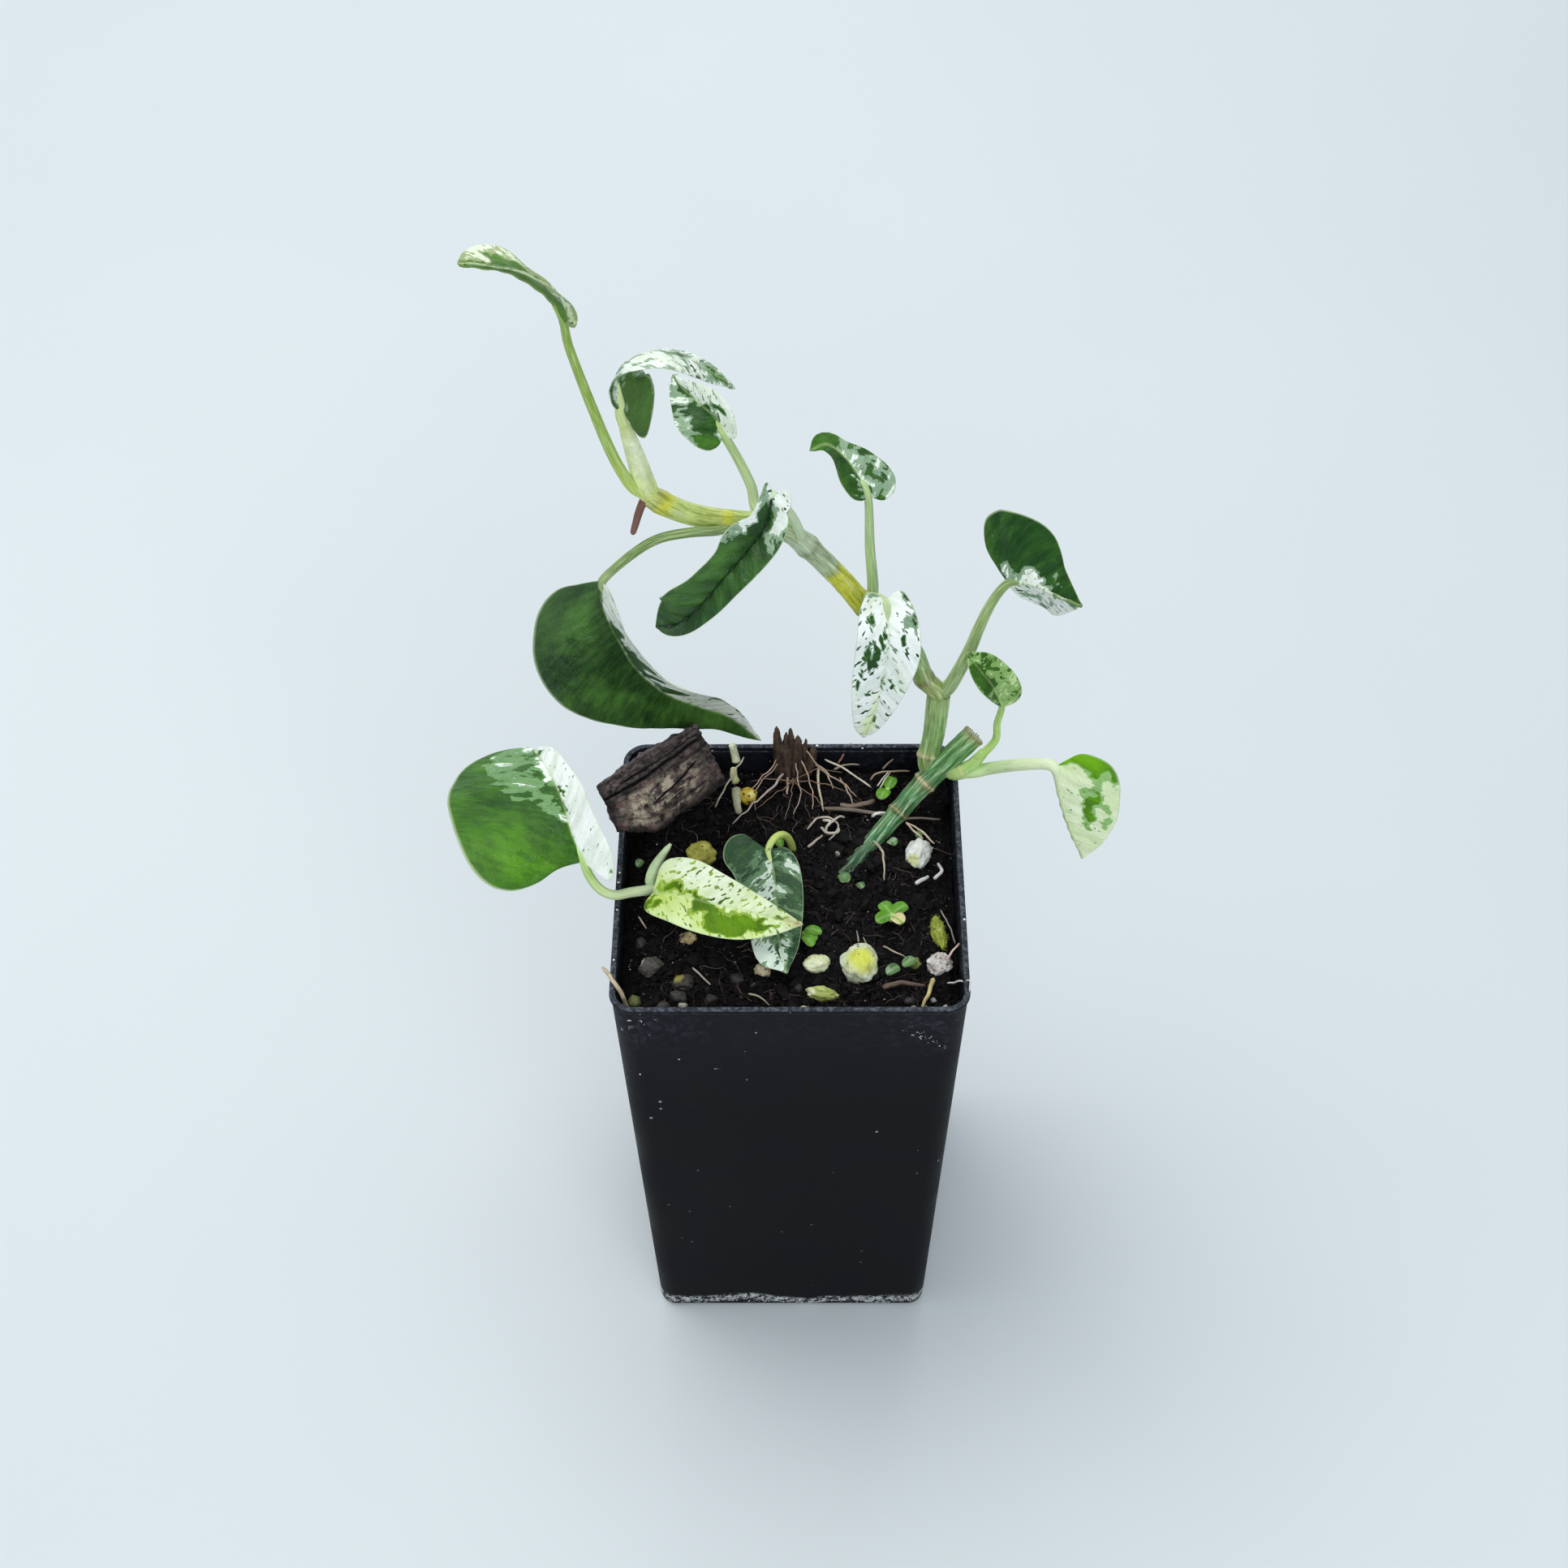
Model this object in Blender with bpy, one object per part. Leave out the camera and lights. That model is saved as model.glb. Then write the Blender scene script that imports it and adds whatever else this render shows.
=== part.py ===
"""Potted pothos plant: two rooted cuttings in a small square nursery pot.

Frame: metres, +Z up, origin at the centre of the pot's underside, -Y is the front.
Control points are written in millimetres; finish() scales every mesh to metres.
A leaf is a midrib curve with the direction its upper side faces from base to tip,
and two half outlines that fold up or down from the midrib.
"""
import math

import bmesh
import bpy
import numpy as np
from mathutils import Matrix, Vector, noise

MM = 0.001
GAP = 0.3                 # clearance between neighbouring pieces

POT_HEIGHT = 109.0
RIM_WIDTH = 63.5          # a 2.5 inch square pot
BASE_WIDTH = 54.6
RIM_CORNER = 4.2
FOOT_CORNER = 3.2
WALL = 0.9
LIP_HEIGHT = 1.1
LIP_STEP = 0.3
FLOOR = 1.2
DRAIN_HOLE = 7.0
DRAIN_OFFSET = 18.5

SOIL_LEVEL = 103.6
SOIL_ROUGHNESS = 0.9

BLADE_THICKNESS = 0.7
BLADE_ROWS = 11
BLADE_COLUMNS = 3

# Half outlines: (fraction along the midrib, fraction of the half's width).
HEART = [(0, 0), (-0.09, 0.25), (-0.09, 0.58), (0.04, 0.86), (0.25, 1), (0.52, 0.84), (0.8, 0.42),
         (1, 0)]
OVAL = [(0, 0), (-0.02, 0.3), (0.04, 0.62), (0.25, 0.95), (0.5, 0.9), (0.78, 0.5), (1, 0)]

# Stems: control points and (fraction, diameter) along them.
OLD_STEM = {
    "points": [(9.5, 3.5, 102.5), (16, 12, 103.8), (20.5, 17, 106), (25.5, 20.5, 110.5),
               (34.5, 25.5, 118)],
    "profile": [(0, 3), (0.42, 3.6), (0.46, 4.4), (0.5, 3.8), (0.62, 4), (0.66, 4.8), (0.7, 4.2),
                (1, 4.4)],
    "sides": 16, "rings": 14,
}
SHOOT = {
    "points": [(26.6, 21.6, 111.6), (26, 23.6, 113.4), (27, 26, 118.5), (27.5, 27, 127.5)],
    "profile": [(0, 3.8), (0.2, 4.6), (0.3, 4), (0.85, 4.4), (1, 4.4)],
    "sides": 12, "rings": 8,
}
VINE = {
    "points": [(27.5, 27, 125.5), (27, 27, 128.5), (24.5, 27, 132), (22, 25, 141), (17.5, 22, 150.5),
               (12.5, 20, 158), (8, 18, 166.5), (1, 15, 178), (-4, 13, 182.5), (-8.5, 12, 184),
               (-14.5, 11, 186), (-19, 10.5, 188.5), (-22.5, 10, 191.5)],
    "profile": [(0, 3.6), (0.08, 3.8), (0.36, 3.8), (0.4, 4.5), (0.43, 3.9), (0.6, 3.7), (0.64, 4.2),
                (0.68, 3.6), (0.86, 3.5), (0.97, 4), (1, 3.4)],
    "sides": 12, "rings": 34,
}
SHEATH = {
    "points": [(-21.5, 10, 190.5), (-22.8, 10.2, 193), (-24, 10.5, 198.5), (-25.5, 10.5, 205.5)],
    "profile": [(0, 3), (0.2, 3.7), (0.6, 3), (1, 2)],
    "sides": 12, "rings": 6,
}
CUTTING = {
    "points": [(-16, -1.5, 99), (-19.5, -3.5, 105), (-22.5, -4.7, 108.5), (-24.5, -5.2, 110.3)],
    "profile": [(0, 3), (0.6, 3.2), (0.85, 3.8), (1, 2.8)],
    "sides": 12, "rings": 6,
}
STIPULE = {
    "points": [(-23.5, -5, 109), (-25.2, -4.2, 111), (-24, -1.8, 113.2), (-21.5, 0.3, 116.3)],
    "profile": [(0, 1.8), (0.5, 2), (1, 0.8)],
    "sides": 8, "rings": 6,
}
YOUNG_SHOOT = {
    "points": [(28.6, 22.2, 113), (30.8, 21, 112.3), (33.5, 21, 114), (36, 21, 118)],
    "profile": [(0, 2.6), (0.4, 3), (1, 1.8)],
    "sides": 10, "rings": 6,
}
AERIAL_ROOT = {
    "points": [(-22.5, 10, 191.3), (-23.6, 8.6, 190), (-25, 6, 186.5)],
    "profile": [(0, 1.5), (0.8, 1.1), (1, 0.7)],
    "sides": 6, "rings": 5,
}

LEAVES = {
    "leaf_top": {
        "carrier": "climbing_vine", "hue": "dark",
        "petiole": [(-22.5, 10, 191.5), (-24.7, 9, 194), (-27, 8.2, 200), (-29.5, 8, 209), (-32.5, 7, 223),
                    (-33, 6, 229)],
        "diameter": (2, 1.3),
        "rib": [(-33, 6, 229), (-34, 6, 232.5), (-36.5, 5.5, 236), (-40, 5, 239), (-43.5, 4, 240.5),
                (-47, 3, 242)],
        "face": [(0.8, 0.45, 0.3), (0.3, 0.6, 0.75), (0, 0.6, 0.8)],
        "width": (5.5, 6), "fold": [(30, 35), (15, 5)], "curl": [(0, 0), (0, -40)],
        "half": ([(0, 0), (0, 0.3), (0.12, 0.55), (0.3, 0.6), (0.45, 0.62), (0.62, 1), (0.8, 0.95),
                  (0.93, 0.5), (1, 0)],
                 OVAL),
    },
    "leaf_arched": {
        "carrier": "climbing_vine", "hue": "pale",
        "petiole": [(-25.3, 10.5, 204.5), (-26, 11, 207), (-26, 11, 209.5)],
        "diameter": (1.8, 1.6),
        "rib": [(-26, 11, 209.5), (-26.5, 12, 213), (-24.5, 13, 216), (-20, 14, 217), (-15, 15, 214.5),
                (-11, 15, 211.5), (-8, 15, 209)],
        "face": [(-1, -0.1, 0.2), (0, -0.1, 1), (0.5, -0.3, 0.8)],
        "width": (6.5, 7), "fold": [(30, 10), (-70, -10)], "curl": [(0, -20), (0, 0)],
        "half": ([(0, 0), (-0.02, 0.2), (0.05, 0.42), (0.16, 0.62), (0.32, 0.9), (0.52, 0.84), (0.8, 0.42),
                  (1, 0)],
                 [(0, 0), (-0.12, 0.22), (-0.19, 0.52), (-0.06, 0.86), (0.2, 1), (0.52, 0.84), (0.8, 0.42),
                  (1, 0)]),
    },
    "leaf_back": {
        "carrier": "climbing_vine", "hue": "pale",
        "petiole": [(-4.5, 13, 183), (-5.5, 16, 184), (-6, 18, 186), (-8, 21, 189), (-10.5, 23, 193)],
        "diameter": (1.9, 1.5),
        "rib": [(-10.5, 23, 193), (-12, 25, 195), (-14.5, 28, 195.5), (-17.5, 31, 196.5), (-19, 33, 197.5)],
        "face": [(0.2, -0.5, 0.85)],
        "width": (4, 6.5), "fold": [(60, 60), (5, 5)], "curl": [(0, 0), (0, 0)], "half": (HEART, HEART),
    },
    "leaf_folded": {
        "carrier": "climbing_vine", "hue": "dark",
        "petiole": [(1, 15, 178), (2, 13, 180), (0.5, 9, 188), (-2, 6.4, 194), (-2.6, 5.8, 195.4)],
        "diameter": (1.7, 1.5),
        "rib": [(-2.5, 6, 195), (-3.5, 3, 191), (-7, 0, 187.5), (-10.5, -2, 184), (-14, -3, 179.5),
                (-17.5, -3.5, 176), (-21.5, -3.5, 175)],
        "face": [(0.1, -0.75, 0.65)],
        "width": (5.8, 4.4), "fold": [(35, 25), (35, 25)], "curl": [(0, 0), (0, 0)], "overlap": 0,
        "half": ([(0, 0), (-0.05, 0.14), (-0.05, 0.32), (0.04, 0.44), (0.14, 0.66), (0.3, 1), (0.43, 0.78),
                  (0.56, 0.84), (0.75, 1.08), (0.93, 0.86), (1, 0)],
                 [(0, 0), (-0.03, 0.3), (-0.03, 0.7), (0.02, 0.9), (0.08, 0.78), (0.25, 0.98), (0.5, 0.85),
                  (0.78, 0.62), (0.93, 0.4), (1, 0)]),
    },
    "leaf_large": {
        "carrier": "climbing_vine", "hue": "dark", "rows": 16,
        "petiole": [(-8.5, 12, 184), (-11, 9.5, 184.3), (-16, 7, 186), (-21, 6, 185.5), (-25.5, 6, 182),
                    (-30.5, 7, 175.5)],
        "diameter": (1.7, 1.5),
        "rib": [(-30.5, 7, 175.5), (-31, 8.5, 168.5), (-29.5, 12.5, 157), (-27, 17.5, 144), (-22.5, 23, 132),
                (-16.5, 28, 123), (-11, 30, 118), (-5.5, 30.5, 111)],
        "face": [(-0.63, -0.78, -0.1), (-0.3, -0.9, -0.2), (0.16, -0.93, -0.33)],
        "width": (15, 10), "fold": [(45, 42, 12), (22, 15, 4, 6)], "curl": [(0, 0), (0, 0)],
        "half": ([(0, 0), (0.01, 0.25), (0.03, 0.5), (0.11, 0.78), (0.26, 1), (0.44, 0.97), (0.64, 0.66),
                  (0.8, 0.38), (0.93, 0.18), (1, 0)],
                 [(0, 0), (0, 0.36), (0.06, 0.72), (0.25, 0.9), (0.55, 0.98), (0.78, 0.58), (0.92, 0.18),
                  (1, 0)]),
    },
    "leaf_tall": {
        "carrier": "climbing_vine", "hue": "pale",
        "petiole": [(14.2, 21, 155.5), (14.6, 22.8, 159), (14, 25, 166), (13.5, 27, 176)],
        "diameter": (2.2, 1.4),
        "rib": [(13.5, 27, 176), (12, 29, 178.5), (9.5, 32, 180.5), (6.5, 34, 181.5), (3.5, 34, 180)],
        "face": [(0.1, -0.5, 0.85)],
        "width": (5.5, 4.5), "fold": [(10, 10), (10, 10)], "curl": [(0, 0), (0, 0)],
        "half": ([(0, 0), (-0.12, 0.4), (-0.06, 0.85), (0.12, 1), (0.4, 0.72), (0.62, 0.4), (0.85, 0.36),
                  (1, 0)],
                 [(0, 0), (-0.02, 0.3), (0.06, 0.65), (0.25, 0.8), (0.45, 0.62), (0.62, 0.4), (0.78, 0.3),
                  (1, 0)]),
    },
    "leaf_speckled": {
        "carrier": "climbing_vine", "hue": "pale",
        "petiole": [(12.5, 20, 158), (14, 17.5, 161.5), (16.5, 13, 164.5)],
        "diameter": (1.9, 1.4),
        "rib": [(16.5, 13, 164.5), (17, 9, 159.5), (16, 7, 151), (14.5, 7, 142), (13, 8, 136)],
        "face": [(0, -0.85, 0.4)],
        "width": (6, 5.8), "fold": [(20, 20), (20, 20)], "curl": [(0, 0), (0, 0)],
        "half": ([(0, 0), (-0.05, 0.25), (-0.05, 0.58), (0.07, 0.86), (0.27, 1), (0.55, 0.88), (0.85, 0.5),
                  (1, 0)],
                 [(0, 0), (-0.05, 0.25), (-0.05, 0.58), (0.06, 0.86), (0.27, 1), (0.55, 0.7), (0.85, 0.3),
                  (1, 0)]),
    },
    "leaf_right": {
        "carrier": "climbing_vine", "hue": "dark",
        "petiole": [(27.5, 27, 127.5), (29.6, 27, 130), (32.5, 27, 138.5), (34, 27, 144.5), (36, 27, 151),
                    (38.5, 27, 155.5)],
        "diameter": (2.9, 1.6),
        "rib": [(38.5, 27, 155.5), (42.5, 24, 158), (46.5, 20, 159), (50.5, 17, 159.5)],
        "face": [(-0.35, -0.68, 0.35)],
        "width": (8, 13.5), "fold": [(-40, -40), (0, 0)], "curl": [(0, 0), (0, 0)],
        "half": (OVAL, [(0, 0), (-0.12, 0.22), (-0.24, 0.52), (-0.18, 0.86), (0.1, 0.99), (0.42, 0.8),
                        (0.7, 0.4), (1, 0)]),
    },
    "leaf_young": {
        "carrier": "young_shoot", "hue": "green",
        "petiole": [(35.6, 21, 117.2), (38, 21, 121.5), (38, 20.5, 126.5), (38.5, 20, 131.5)],
        "diameter": (1.6, 1.2),
        "rib": [(38.5, 20, 131.5), (36.5, 19, 137.5), (33.5, 19, 142.5), (31.5, 20, 145.5)],
        "face": [(0.1, -0.8, 0.6)],
        "width": (4.7, 3.6), "fold": [(15, 15), (50, 30)], "curl": [(0, 0), (0, 0)],
        "half": ([(0, 0), (-0.02, 0.25), (0, 0.58), (0.1, 0.86), (0.28, 1), (0.52, 0.98), (0.84, 0.75),
                  (1, 0)],
                 [(0, 0), (0.06, 0.18), (0.18, 0.38), (0.36, 0.66), (0.58, 0.85), (0.82, 0.55), (1, 0)]),
    },
    "leaf_side": {
        "carrier": "young_shoot", "hue": "cream",
        "petiole": [(31.5, 21, 112.6), (34.5, 20.6, 113.2), (37.5, 20, 114.8), (42, 17, 119),
                    (46.5, 15, 121.5), (48.5, 14, 121.5)],
        "diameter": (2.5, 2.2),
        "rib": [(48.5, 14, 121.5), (49.4, 13, 116), (51.8, 12, 108), (55.5, 12, 98)],
        "face": [(-0.3, -0.85, 0.3)],
        "width": (5, 11.5), "fold": [(-75, -85), (0, 0)], "curl": [(0, 0), (0, 0)],
        "half": (OVAL, [(0, 0), (-0.08, 0.2), (-0.15, 0.5), (-0.06, 0.9), (0.15, 1.03), (0.5, 0.87),
                        (0.8, 0.48), (1, 0)]),
    },
    "leaf_broad": {
        "carrier": "rooted_cutting", "hue": "green", "rows": 13,
        "petiole": [(-24.3, -5.1, 110), (-28.5, -7, 111.5), (-31.5, -8.5, 112.5), (-34, -8, 113.5),
                    (-36, -6, 115), (-37, -4, 116.5)],
        "diameter": (2, 1.6),
        "rib": [(-37, -4, 116.5), (-39.5, 1.5, 118.5), (-41.5, 9, 118.5), (-45, 18.5, 116), (-49, 29, 111)],
        "face": [(0, -0.2, 1)],
        "width": (6.2, 19.4), "fold": [(40, 40), (0, 0)], "curl": [(0, 0), (0, 0)],
        "half": ([(0, 0), (-0.1, 0.3), (-0.16, 0.62), (-0.06, 1), (0.2, 0.95), (0.5, 0.72), (0.8, 0.5),
                  (1, 0)],
                 [(0, 0), (0.01, 0.25), (-0.02, 0.5), (0, 0.76), (0.12, 0.96), (0.28, 1.05), (0.5, 1.05),
                  (0.72, 1), (0.9, 0.88), (1.05, 0.66), (1.1, 0.38), (1.06, 0.14), (1, 0)]),
    },
    "leaf_bright": {
        "carrier": "rooted_cutting", "hue": "cream",
        "petiole": [(-22.3, -5, 108.5), (-23.2, -6.8, 110.6), (-23.8, -7.8, 112.4), (-23.4, -8.4, 113.2)],
        "diameter": (1.7, 1.5), "overlap": 0,
        "rib": [(-24.5, -8, 112.5), (-20, -10, 114.5), (-13.5, -12.5, 115), (-6, -14, 114),
                (2.5, -14.5, 111.5)],
        "face": [(0, -0.6, 0.8)],
        "width": (5.8, 6.8), "fold": [(10, 10), (10, 10)], "curl": [(0, 0), (0, 0)],
        "half": ([(0, 0), (-0.05, 0.3), (-0.03, 0.6), (0.12, 0.84), (0.35, 1), (0.6, 0.94), (0.82, 0.55),
                  (1, 0)],
                 [(0, 0), (0.02, 0.3), (0.05, 0.6), (0.13, 0.93), (0.28, 1), (0.5, 0.76), (0.8, 0.33),
                  (1, 0)]),
    },
    "leaf_low": {
        "carrier": None, "hue": "pale",
        "petiole": [(0.5, 10, 99), (0.3, 9.5, 105), (-1, 8.6, 109), (-2.8, 6.6, 110.6), (-4, 4, 110)],
        "diameter": (1.9, 1.5),
        "rib": [(-4, 4, 110), (-3, -1, 110), (-2.5, -6.5, 108.5), (-2, -14.5, 107.5), (-0.5, -22, 107)],
        "face": [(0, -0.25, 0.95)],
        "width": (8.6, 4.9), "fold": [(10, 10), (10, 10)], "curl": [(0, 0), (0, 0)],
        "half": ([(0, 0), (-0.06, 0.15), (-0.17, 0.45), (-0.12, 0.82), (0.05, 1), (0.28, 0.8), (0.6, 0.62),
                  (0.88, 0.52), (1, 0)],
                 [(0, 0), (0, 0.3), (0.03, 0.7), (0.2, 1), (0.5, 1), (0.8, 0.7), (1, 0)]),
    },
}

# Loose stones on the soil: x, y, half sizes along x, y and z, turn in degrees.
STONES = {
    "stone_yellow": (12.5, -18, 3.3, 3.9, 2.6, 10),
    "stone_front_right": (27, -17.5, 2.4, 2.2, 1.9, 30),
    "stone_white": (24, 8, 2.3, 3.2, 2.1, -15),
    "stone_pale": (4.8, -18, 2.5, 1.8, 1.6, 5),
    "stone_beige": (-4.6, -18.6, 2, 1.4, 1.3, 0),
    "stone_hooked": (5.8, -24.2, 2.9, 1.4, 1.4, -12),
    "stone_tiny": (2.6, -28, 1.4, 1.1, 1.1, 0),
    "stone_left": (-18.5, -11.5, 1.6, 1.3, 1.2, 25),
    "stone_lump": (-25, -18, 2.2, 1.8, 1.5, 40),
    "stone_dark": (-19, -21.5, 1.9, 1.6, 1.4, 0),
    "moss_tuft": (-16.5, 8, 2.7, 2.7, 1.9, 0),
    "moss_streak": (27, -10.5, 1.3, 3.5, 1.4, 12),
    "spotted_pellet": (-8, 22.5, 1.8, 1.8, 1.7, 0),
}

# Thin dry pieces: control points and diameters at both ends.
FIBRES = {
    "straw_left": ([(-28.6, -27.4, 103.2), (-29.6, -27, 107.5), (-30.6, -26.4, 110.2), (-33, -23.6, 111)],
                   (0.9, 0.7)),
    "straw_right": ([(25.6, -21.4, 104.6), (25, -24, 105.2), (23.4, -28, 104.6)], (0.9, 0.7)),
    "twig": ([(9.5, 19.8, 104.8), (12, 19.2, 104.9), (14.5, 19.8, 105.2), (16, 20.8, 104.8)], (1, 0.8)),
    "curled_root": ([(2.5, 13.5, 104.6), (5, 16.6, 105.2), (8.6, 16.4, 105), (9.6, 13, 105),
                     (7.4, 10, 104.7)], (0.8, 0.7)),
}

# Pale roots that spread over the soil from the foot of the bark stub.
ROOT_HUB = (0.5, 25.6, 105.2)
ROOT_ENDS = [
    [(-3, 25, 106.4), (-7.5, 25.6, 105)], [(-3, 21.5, 105.8), (-6.5, 18.8, 104.7)],
    [(0, 20.5, 105.8), (-1, 16, 104.7)], [(4, 21, 106), (7.5, 18, 104.7)],
    [(5.5, 24, 106.4), (11.5, 22.6, 104.9)], [(5, 27, 106.6), (10, 27.6, 105.2)],
]

SEEDLINGS = {
    "seedling_front": ((18.5, -7.5), [(35, 3.4), (130, 3), (215, 3.4), (310, 3)]),
    "seedling_back": ((18.6, 24), [(70, 2.8), (240, 3.2)]),
}

COLOURS = {
    "dark": (0.035, 0.13, 0.03), "green": (0.16, 0.36, 0.06), "pale": (0.68, 0.78, 0.6),
    "cream": (0.72, 0.85, 0.32),
    "plastic": (0.018, 0.018, 0.021), "soil": (0.022, 0.015, 0.011), "bark": (0.09, 0.055, 0.04),
    "stem": (0.15, 0.28, 0.09), "vine": (0.42, 0.5, 0.14), "root": (0.5, 0.42, 0.3),
    "brown": (0.2, 0.1, 0.07),
    "stone": (0.62, 0.6, 0.5), "yellow": (0.62, 0.58, 0.2), "straw": (0.55, 0.45, 0.28),
}


def clear_scene():
    """Remove whatever objects the file starts with."""
    for item in list(bpy.data.objects):
        bpy.data.objects.remove(item, do_unlink=True)


def smooth_curve(points, steps=12):
    """Catmull-Rom curve through the points."""
    points = np.array(points, float)
    padded = np.vstack([2 * points[0] - points[1], points, 2 * points[-1] - points[-2]])
    curve = []
    for i in range(1, len(padded) - 2):
        a, b, c, d = padded[i - 1:i + 3]
        for k in range(steps):
            t = k / steps
            curve.append(0.5 * (2 * b + (c - a) * t + (2 * a - 5 * b + 4 * c - d) * t * t
                                + (3 * b - a - 3 * c + d) * t ** 3))
    curve.append(points[-1])
    return np.array(curve)


def arc_lengths(curve):
    """Distance along the curve at each of its points."""
    return np.r_[0, np.cumsum(np.linalg.norm(np.diff(curve, axis=0), axis=1))]


def point_at(curve, distances, fraction):
    """Point at a fraction of the curve's length."""
    reach = fraction * distances[-1]
    return np.array([np.interp(reach, distances, curve[:, k]) for k in range(curve.shape[1])])


def direction_at(curve, distances, fraction, reach=0.02):
    """Unit tangent at a fraction of the curve's length."""
    ahead = point_at(curve, distances, min(fraction + reach, 1))
    behind = point_at(curve, distances, max(fraction - reach, 0))
    return (ahead - behind) / np.linalg.norm(ahead - behind)


def blend(values, fraction):
    """Linear interpolation through evenly spaced numbers or vectors."""
    values = np.array(values, float)
    knots = np.linspace(0, 1, len(values))
    if values.ndim == 1:
        return np.interp(fraction, knots, values)
    return np.array([np.interp(fraction, knots, values[:, k]) for k in range(values.shape[1])])


def make_object(name, points, faces):
    """New mesh object in millimetres."""
    mesh = bpy.data.meshes.new(name)
    mesh.from_pydata([tuple(float(value) for value in point) for point in points], [], faces)
    mesh.validate()
    item = bpy.data.objects.new(name, mesh)
    bpy.context.scene.collection.objects.link(item)
    return item


def loft(name, rings):
    """Skin rings of equal count, anticlockwise about their direction, with a cap at each end."""
    count = len(rings[0])
    points = [point for ring in rings for point in ring]
    faces = [list(range(count))[::-1]]
    for r in range(len(rings) - 1):
        for k in range(count):
            after = (k + 1) % count
            faces.append((r * count + k, r * count + after, (r + 1) * count + after, (r + 1) * count + k))
    last = (len(rings) - 1) * count
    faces.append([last + k for k in range(count)])
    return make_object(name, points, faces)


def tube(name, points, profile, sides=8, rings=10, rib=0.0, grow=0.0):
    """Round stem along a curve; rib raises every other side, grow makes an enlarged cutter."""
    path = smooth_curve(points)
    distances = arc_lengths(path)
    knots, diameters = zip(*profile)
    fractions = sorted(set(np.round(np.linspace(0, 1, rings + 1), 4)) | set(knots))
    across = None
    skin = []
    for fraction in fractions:
        centre = point_at(path, distances, fraction)
        ahead = direction_at(path, distances, fraction)
        if across is None:
            across = np.cross(ahead, (0.31, 0.2, 0.93))
        across = across - ahead * np.dot(across, ahead)
        across = across / np.linalg.norm(across)
        upright = np.cross(ahead, across)
        if grow and fraction in (0, 1):
            centre = centre + ahead * grow * (1 if fraction else -1)
        ring = []
        for k in range(sides):
            angle = 2 * math.pi * k / sides
            radius = np.interp(fraction, knots, diameters) / 2 * (1 + rib * (-1) ** k)
            radius = radius + grow / math.cos(math.pi / sides)
            ring.append(centre + radius * (across * math.cos(angle) + upright * math.sin(angle)))
        skin.append(ring)
    return loft(name, skin)


def boolean(target, tool, operation):
    """Apply one exact Boolean and remove its tool."""
    modifier = target.modifiers.new(operation.lower(), "BOOLEAN")
    modifier.operation = operation
    modifier.solver = "EXACT"
    modifier.object = tool
    graph = bpy.context.evaluated_depsgraph_get()
    result = bpy.data.meshes.new_from_object(target.evaluated_get(graph))
    target.modifiers.clear()
    target.data = result
    bpy.data.objects.remove(tool, do_unlink=True)
    return target


def enlarged(source, distance=GAP):
    """Copy of a chunky solid with its faces pushed outward."""
    copy = bpy.data.objects.new("cutter", source.data.copy())
    bpy.context.scene.collection.objects.link(copy)
    solid = bmesh.new()
    solid.from_mesh(copy.data)
    solid.normal_update()
    shifts = [vertex.normal * distance * min(vertex.calc_shell_factor(), 1.6) for vertex in solid.verts]
    for vertex, shift in zip(solid.verts, shifts):
        vertex.co += shift
    solid.to_mesh(copy.data)
    solid.free()
    return copy


def outline_rows(half, count):
    """Evenly spaced margin points along a half outline."""
    curve = smooth_curve(half, 16)
    distances = arc_lengths(curve * [1, 0.5])
    return [point_at(curve, distances, k / count) for k in range(count + 1)]


def blade_point(leaf, curve, distances, side, x, y):
    """Place a flat blade point: x along the midrib as a fraction, y outward in millimetres."""
    index = 0 if side > 0 else 1
    inside = min(max(x, 0), 1)
    point = point_at(curve, distances, inside)
    ahead = direction_at(curve, distances, inside)
    upper = blend(leaf["face"], inside)
    upper = upper - ahead * np.dot(upper, ahead)
    upper = upper / np.linalg.norm(upper)
    outward = np.cross(ahead, upper)
    point = point + ahead * (x - inside) * distances[-1]
    width = leaf["width"][index]
    start = math.radians(blend(leaf["fold"][index], inside))
    bend = math.radians(blend(leaf["curl"][index], inside))
    if abs(bend) < 1e-4:
        reach, lift = y * math.cos(start), y * math.sin(start)
    else:
        end = start + bend * y / width
        reach = width / bend * (math.sin(end) - math.sin(start))
        lift = width / bend * (math.cos(start) - math.cos(end))
    return point + side * outward * reach + upper * lift


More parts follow.
